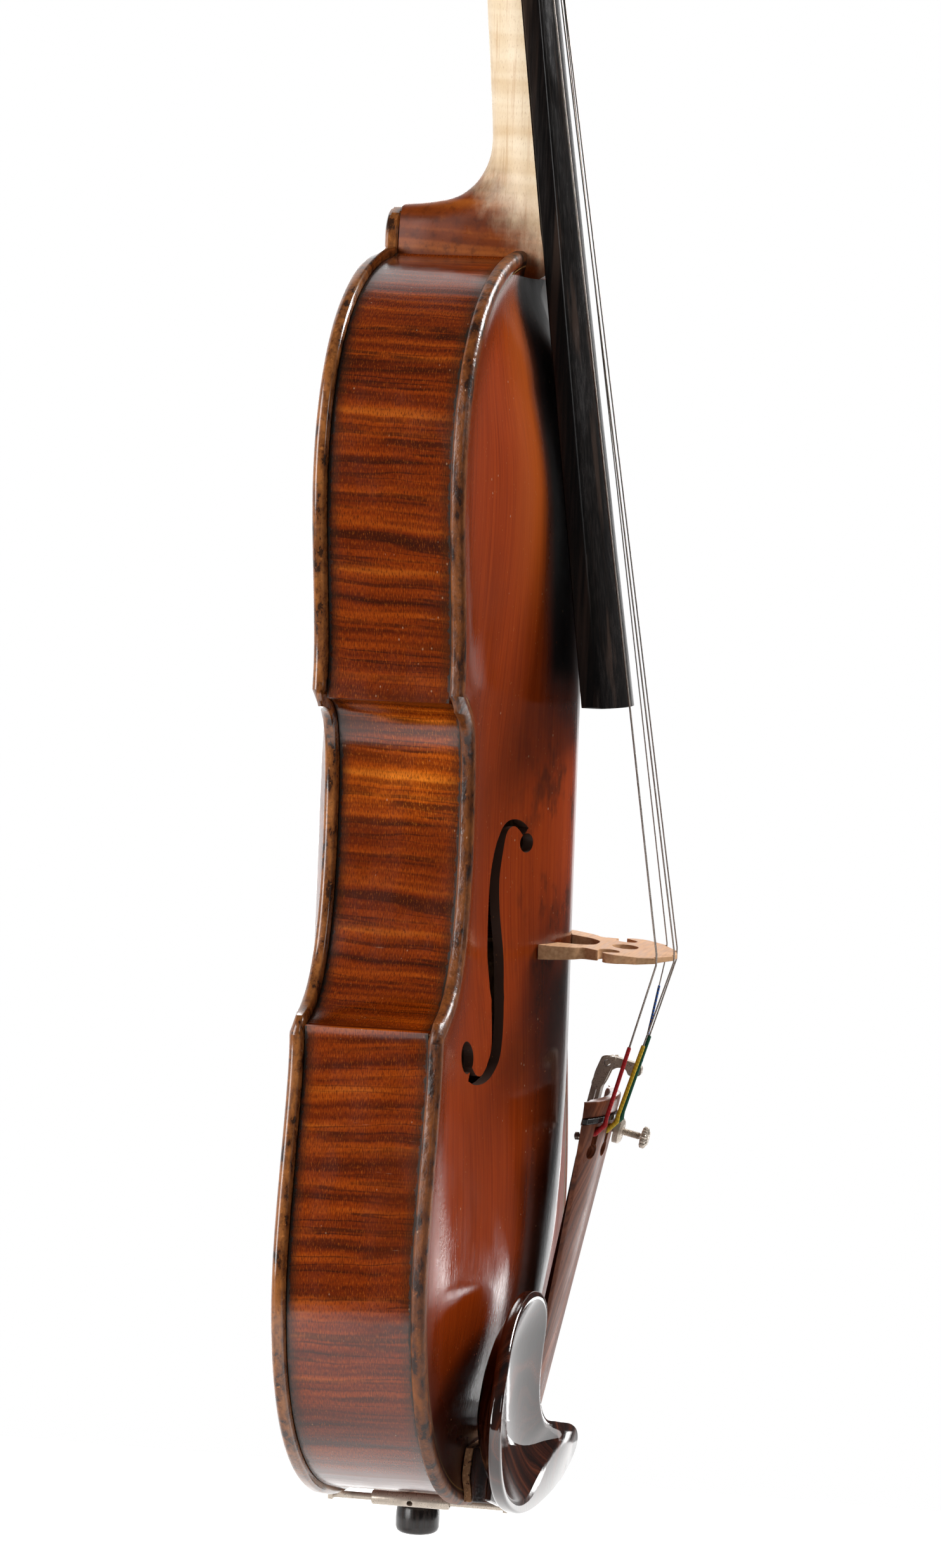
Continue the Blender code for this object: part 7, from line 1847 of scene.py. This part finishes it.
def make_end():
    """End button, turned smooth."""
    neck = 0.0050
    shape = [(0.018, 0.0036), (OVERHANG, 0.0042), (OVERHANG - SEAT, 0.0068), (0.0012, 0.0070),
             (0.0004, neck), (-0.0040, neck)]
    curve = smooth_path([(-0.0040, neck), (-0.0056, 0.0066), (-0.0090, BUTTON_RADIUS), (-0.0130, BUTTON_RADIUS)], 6)
    shape += [tuple(p) for p in curve[1:]]
    shape += [(-0.0142, 0.0068), (-BUTTON_END + 0.0002, 0.0060), (-BUTTON_END, 0.0054)]
    form = Form()
    form.turned([(-z, radius) for z, radius in shape], (0, 0, 0), (0, 0, -1), 48)
    new_piece("end_button_fine", form.mesh("end_button_fine"), "end_button", None, 40.0)
    gut_z = TAIL_END_HEIGHT + TAIL_GUT_RISE
    gut_y = tail_top(0, gut_z) + TAIL_GUT_DEPTH
    radius, x = TAILGUT_DIAMETER / 2, TAIL_GUT_SPREAD / 2
    around = neck + radius + SEAT
    saddle_y = CREST - SADDLE_RISE - radius - 3 * SEAT
    bend = -0.0018
    one = [(x, gut_y, gut_z + 0.006), (x, gut_y, gut_z - 0.004), (x, gut_y, gut_z - 0.0085),
           (x + 0.0004, saddle_y, 0.0045), (x + 0.0006, saddle_y - 0.0001, 0.0014),
           (x + 0.0008, CREST - 0.0024, -0.0016), (around, -0.012, bend)]
    loop = [(around * math.cos(math.pi * k / 24), around * math.sin(math.pi * k / 24), bend) for k in range(25)]
    other = [(-x, y, z) for x, y, z in one][::-1]
    form = Form()
    path = one + loop + other
    form.tube(path, [radius] * len(path), 16)
    new_piece("tailgut_fine", form.mesh("tailgut_fine"), "tailgut", None, 60.0)


def camera_basis():
    azimuth, elevation, roll = (math.radians(a) for a in (CAMERA_AZIMUTH, CAMERA_ELEVATION, CAMERA_ROLL))
    back = Vector((-math.cos(azimuth) * math.cos(elevation), -math.sin(azimuth) * math.cos(elevation),
                   math.sin(elevation)))
    level = Vector((math.sin(azimuth), -math.cos(azimuth), 0))
    upward = back.cross(level)
    right = level * math.cos(roll) + upward * math.sin(roll)
    up = upward * math.cos(roll) - level * math.sin(roll)
    return right, up, back


def facing(location, basis):
    made = Matrix(basis).transposed().to_4x4()
    made.translation = location
    return made


def make_camera():
    right, up, back = camera_basis()
    data = bpy.data.cameras.new("camera")
    data.lens = CAMERA_LENS
    data.sensor_width = 36.0
    data.clip_start, data.clip_end = 0.05, 50.0
    camera = bpy.data.objects.new("camera", data)
    bpy.context.scene.collection.objects.link(camera)
    camera.matrix_world = facing(Vector(CAMERA_TARGET) + back * CAMERA_DISTANCE, (right, up, back))
    bpy.context.scene.camera = camera


def make_lamp(name, direction, distance, size, power):
    """Soft lamp that looks at the body from a direction."""
    data = bpy.data.lights.new(name, "AREA")
    data.shape = "RECTANGLE"
    data.size, data.size_y = size
    data.energy = power
    lamp = bpy.data.objects.new(name, data)
    bpy.context.scene.collection.objects.link(lamp)
    away = Vector(direction).normalized()
    lamp.location = Vector(CAMERA_TARGET) + away * distance
    lamp.rotation_euler = away.to_track_quat("Z", "Y").to_euler()


def white_ray(tree, *more):
    """1 for rays that see white: from the camera, through glass and by the ways named."""
    rays = tree.nodes.new("ShaderNodeLightPath")
    seen = rays.outputs["Is Camera Ray"]
    for name in ("Is Transmission Ray", *more):
        step = tree.nodes.new("ShaderNodeMath")
        step.operation = "MAXIMUM"
        tree.links.new(seen, step.inputs[0])
        tree.links.new(rays.outputs[name], step.inputs[1])
        seen = step.outputs[0]
    return seen


def make_studio():
    make_lamp("key", (-0.85, 0.80, 0.28), 1.8, (0.9, 1.7), 38.0)
    make_lamp("front", (0.60, -0.66, 0.66), 1.8, (0.6, 0.6), 46.0)
    make_lamp("strip", (0.860, -0.400, -0.345), 1.8, (0.22, 0.38), 2.1)
    make_lamp("left", (-0.85, -1.0, 0.60), 2.2, (0.7, 0.9), 6.0)
    make_lamp("behind", (1.0, 0.26, 0.05), 1.8, (0.5, 1.7), 10.0)
    world = bpy.data.worlds.new("studio")
    world.use_nodes = True
    bpy.context.scene.world = world
    tree = world.node_tree
    soft = tree.nodes["Background"]
    soft.inputs["Color"].default_value = (1.0, 1.0, 1.0, 1.0)
    soft.inputs["Strength"].default_value = 0.07
    white = tree.nodes.new("ShaderNodeBackground")
    white.inputs["Color"].default_value = (1.0, 1.0, 1.0, 1.0)
    white.inputs["Strength"].default_value = 1.0
    # Mirrors see the white backdrop where it stands, beyond the object, and a dark studio elsewhere.
    way = tree.nodes.new("ShaderNodeTexCoord")
    toward = tree.nodes.new("ShaderNodeVectorMath")
    toward.operation = "DOT_PRODUCT"
    toward.inputs[1].default_value = BACKDROP_WAY
    tree.links.new(way.outputs["Generated"], toward.inputs[0])
    share = tree.nodes.new("ShaderNodeMapRange")
    share.interpolation_type = "SMOOTHSTEP"
    share.inputs["From Min"].default_value, share.inputs["From Max"].default_value = 0.50, 0.68
    tree.links.new(toward.outputs["Value"], share.inputs["Value"])
    rays = tree.nodes.new("ShaderNodeLightPath")
    seen = tree.nodes.new("ShaderNodeMath")
    seen.operation = "MULTIPLY"
    tree.links.new(rays.outputs["Is Glossy Ray"], seen.inputs[0])
    tree.links.new(share.outputs["Result"], seen.inputs[1])
    either = tree.nodes.new("ShaderNodeMath")
    either.operation = "MAXIMUM"
    tree.links.new(white_ray(tree), either.inputs[0])
    tree.links.new(seen.outputs[0], either.inputs[1])
    blend = tree.nodes.new("ShaderNodeMixShader")
    tree.links.new(either.outputs[0], blend.inputs["Fac"])
    tree.links.new(soft.outputs[0], blend.inputs[1])
    tree.links.new(white.outputs[0], blend.inputs[2])
    tree.links.new(blend.outputs[0], tree.nodes["World Output"].inputs["Surface"])
    bpy.context.scene.view_settings.view_transform = "Standard"


def make_floor():
    low = CAD_BOX[0].z - FLOOR_DROP
    mesh = bpy.data.meshes.new("floor")
    half = 0.55
    mesh.from_pydata([(-half, -half, low), (half, -half, low), (half, half, low), (-half, half, low)], [],
                     [(0, 1, 2, 3)])
    floor = bpy.data.objects.new("floor", mesh)
    bpy.context.scene.collection.objects.link(floor)
    m = Shade("pale_floor")
    tone = m.noise(m.place(), 3.0, 3.0)
    mesh.materials.append(m.finish(m.mix(tone, (0.60, 0.60, 0.60), (0.64, 0.64, 0.63)), 0.9,
                                   Specular_IOR_Level=0.0, Emission_Color=(1.0, 1.0, 1.0, 1.0),
                                   Emission_Strength=0.0))
    split = m.node("ShaderNodeSeparateXYZ")
    m.join(m.place(), split.inputs[0])
    away = m.math("ADD", m.math("POWER", split.outputs[0], 2.0), m.math("POWER", split.outputs[1], 2.0))
    lift = m.math("MULTIPLY", white_ray(m.tree, "Is Glossy Ray"), m.span(m.math("SQRT", away), 0.12, 0.50, 0.62, 1.0))
    m.join(lift, m.shader.inputs["Emission Strength"])


MADE = {"belly", "back", "lower_rib", "c_rib_treble", "c_rib_bass", "upper_rib_treble", "upper_rib_bass",
        "fingerboard", "neck_and_scroll", "peg_c", "peg_g", "peg_d", "peg_a", "string_c", "string_g", "string_d",
        "string_a", "bridge", "tailpiece", "tailpiece_fret", "chinrest", "chinrest_cork", "clamp_top", "clamp_foot",
        "clamp_barrel_bass", "clamp_barrel_treble", "tuner_screw", "tuner_screw_head", "tuner_frame", "tuner_lever",
        "tuner_pin", "tuner_ring_nut", "end_button", "tailgut"}

belly_shape = make_plates()
make_ribs()
make_fingerboard()
make_neck()
make_pegs()
make_strings()
make_bridge(belly_shape)
make_tailpiece()
make_chinrest(belly_shape)
make_clamp()
make_tuner()
make_end()
for node in sorted(set(NODES) - MADE):
    refined(node, 45.0, 0.0 if SLOT_OF[node] == "bare_spruce" else 0.0003)
make_camera()
make_studio()
make_floor()
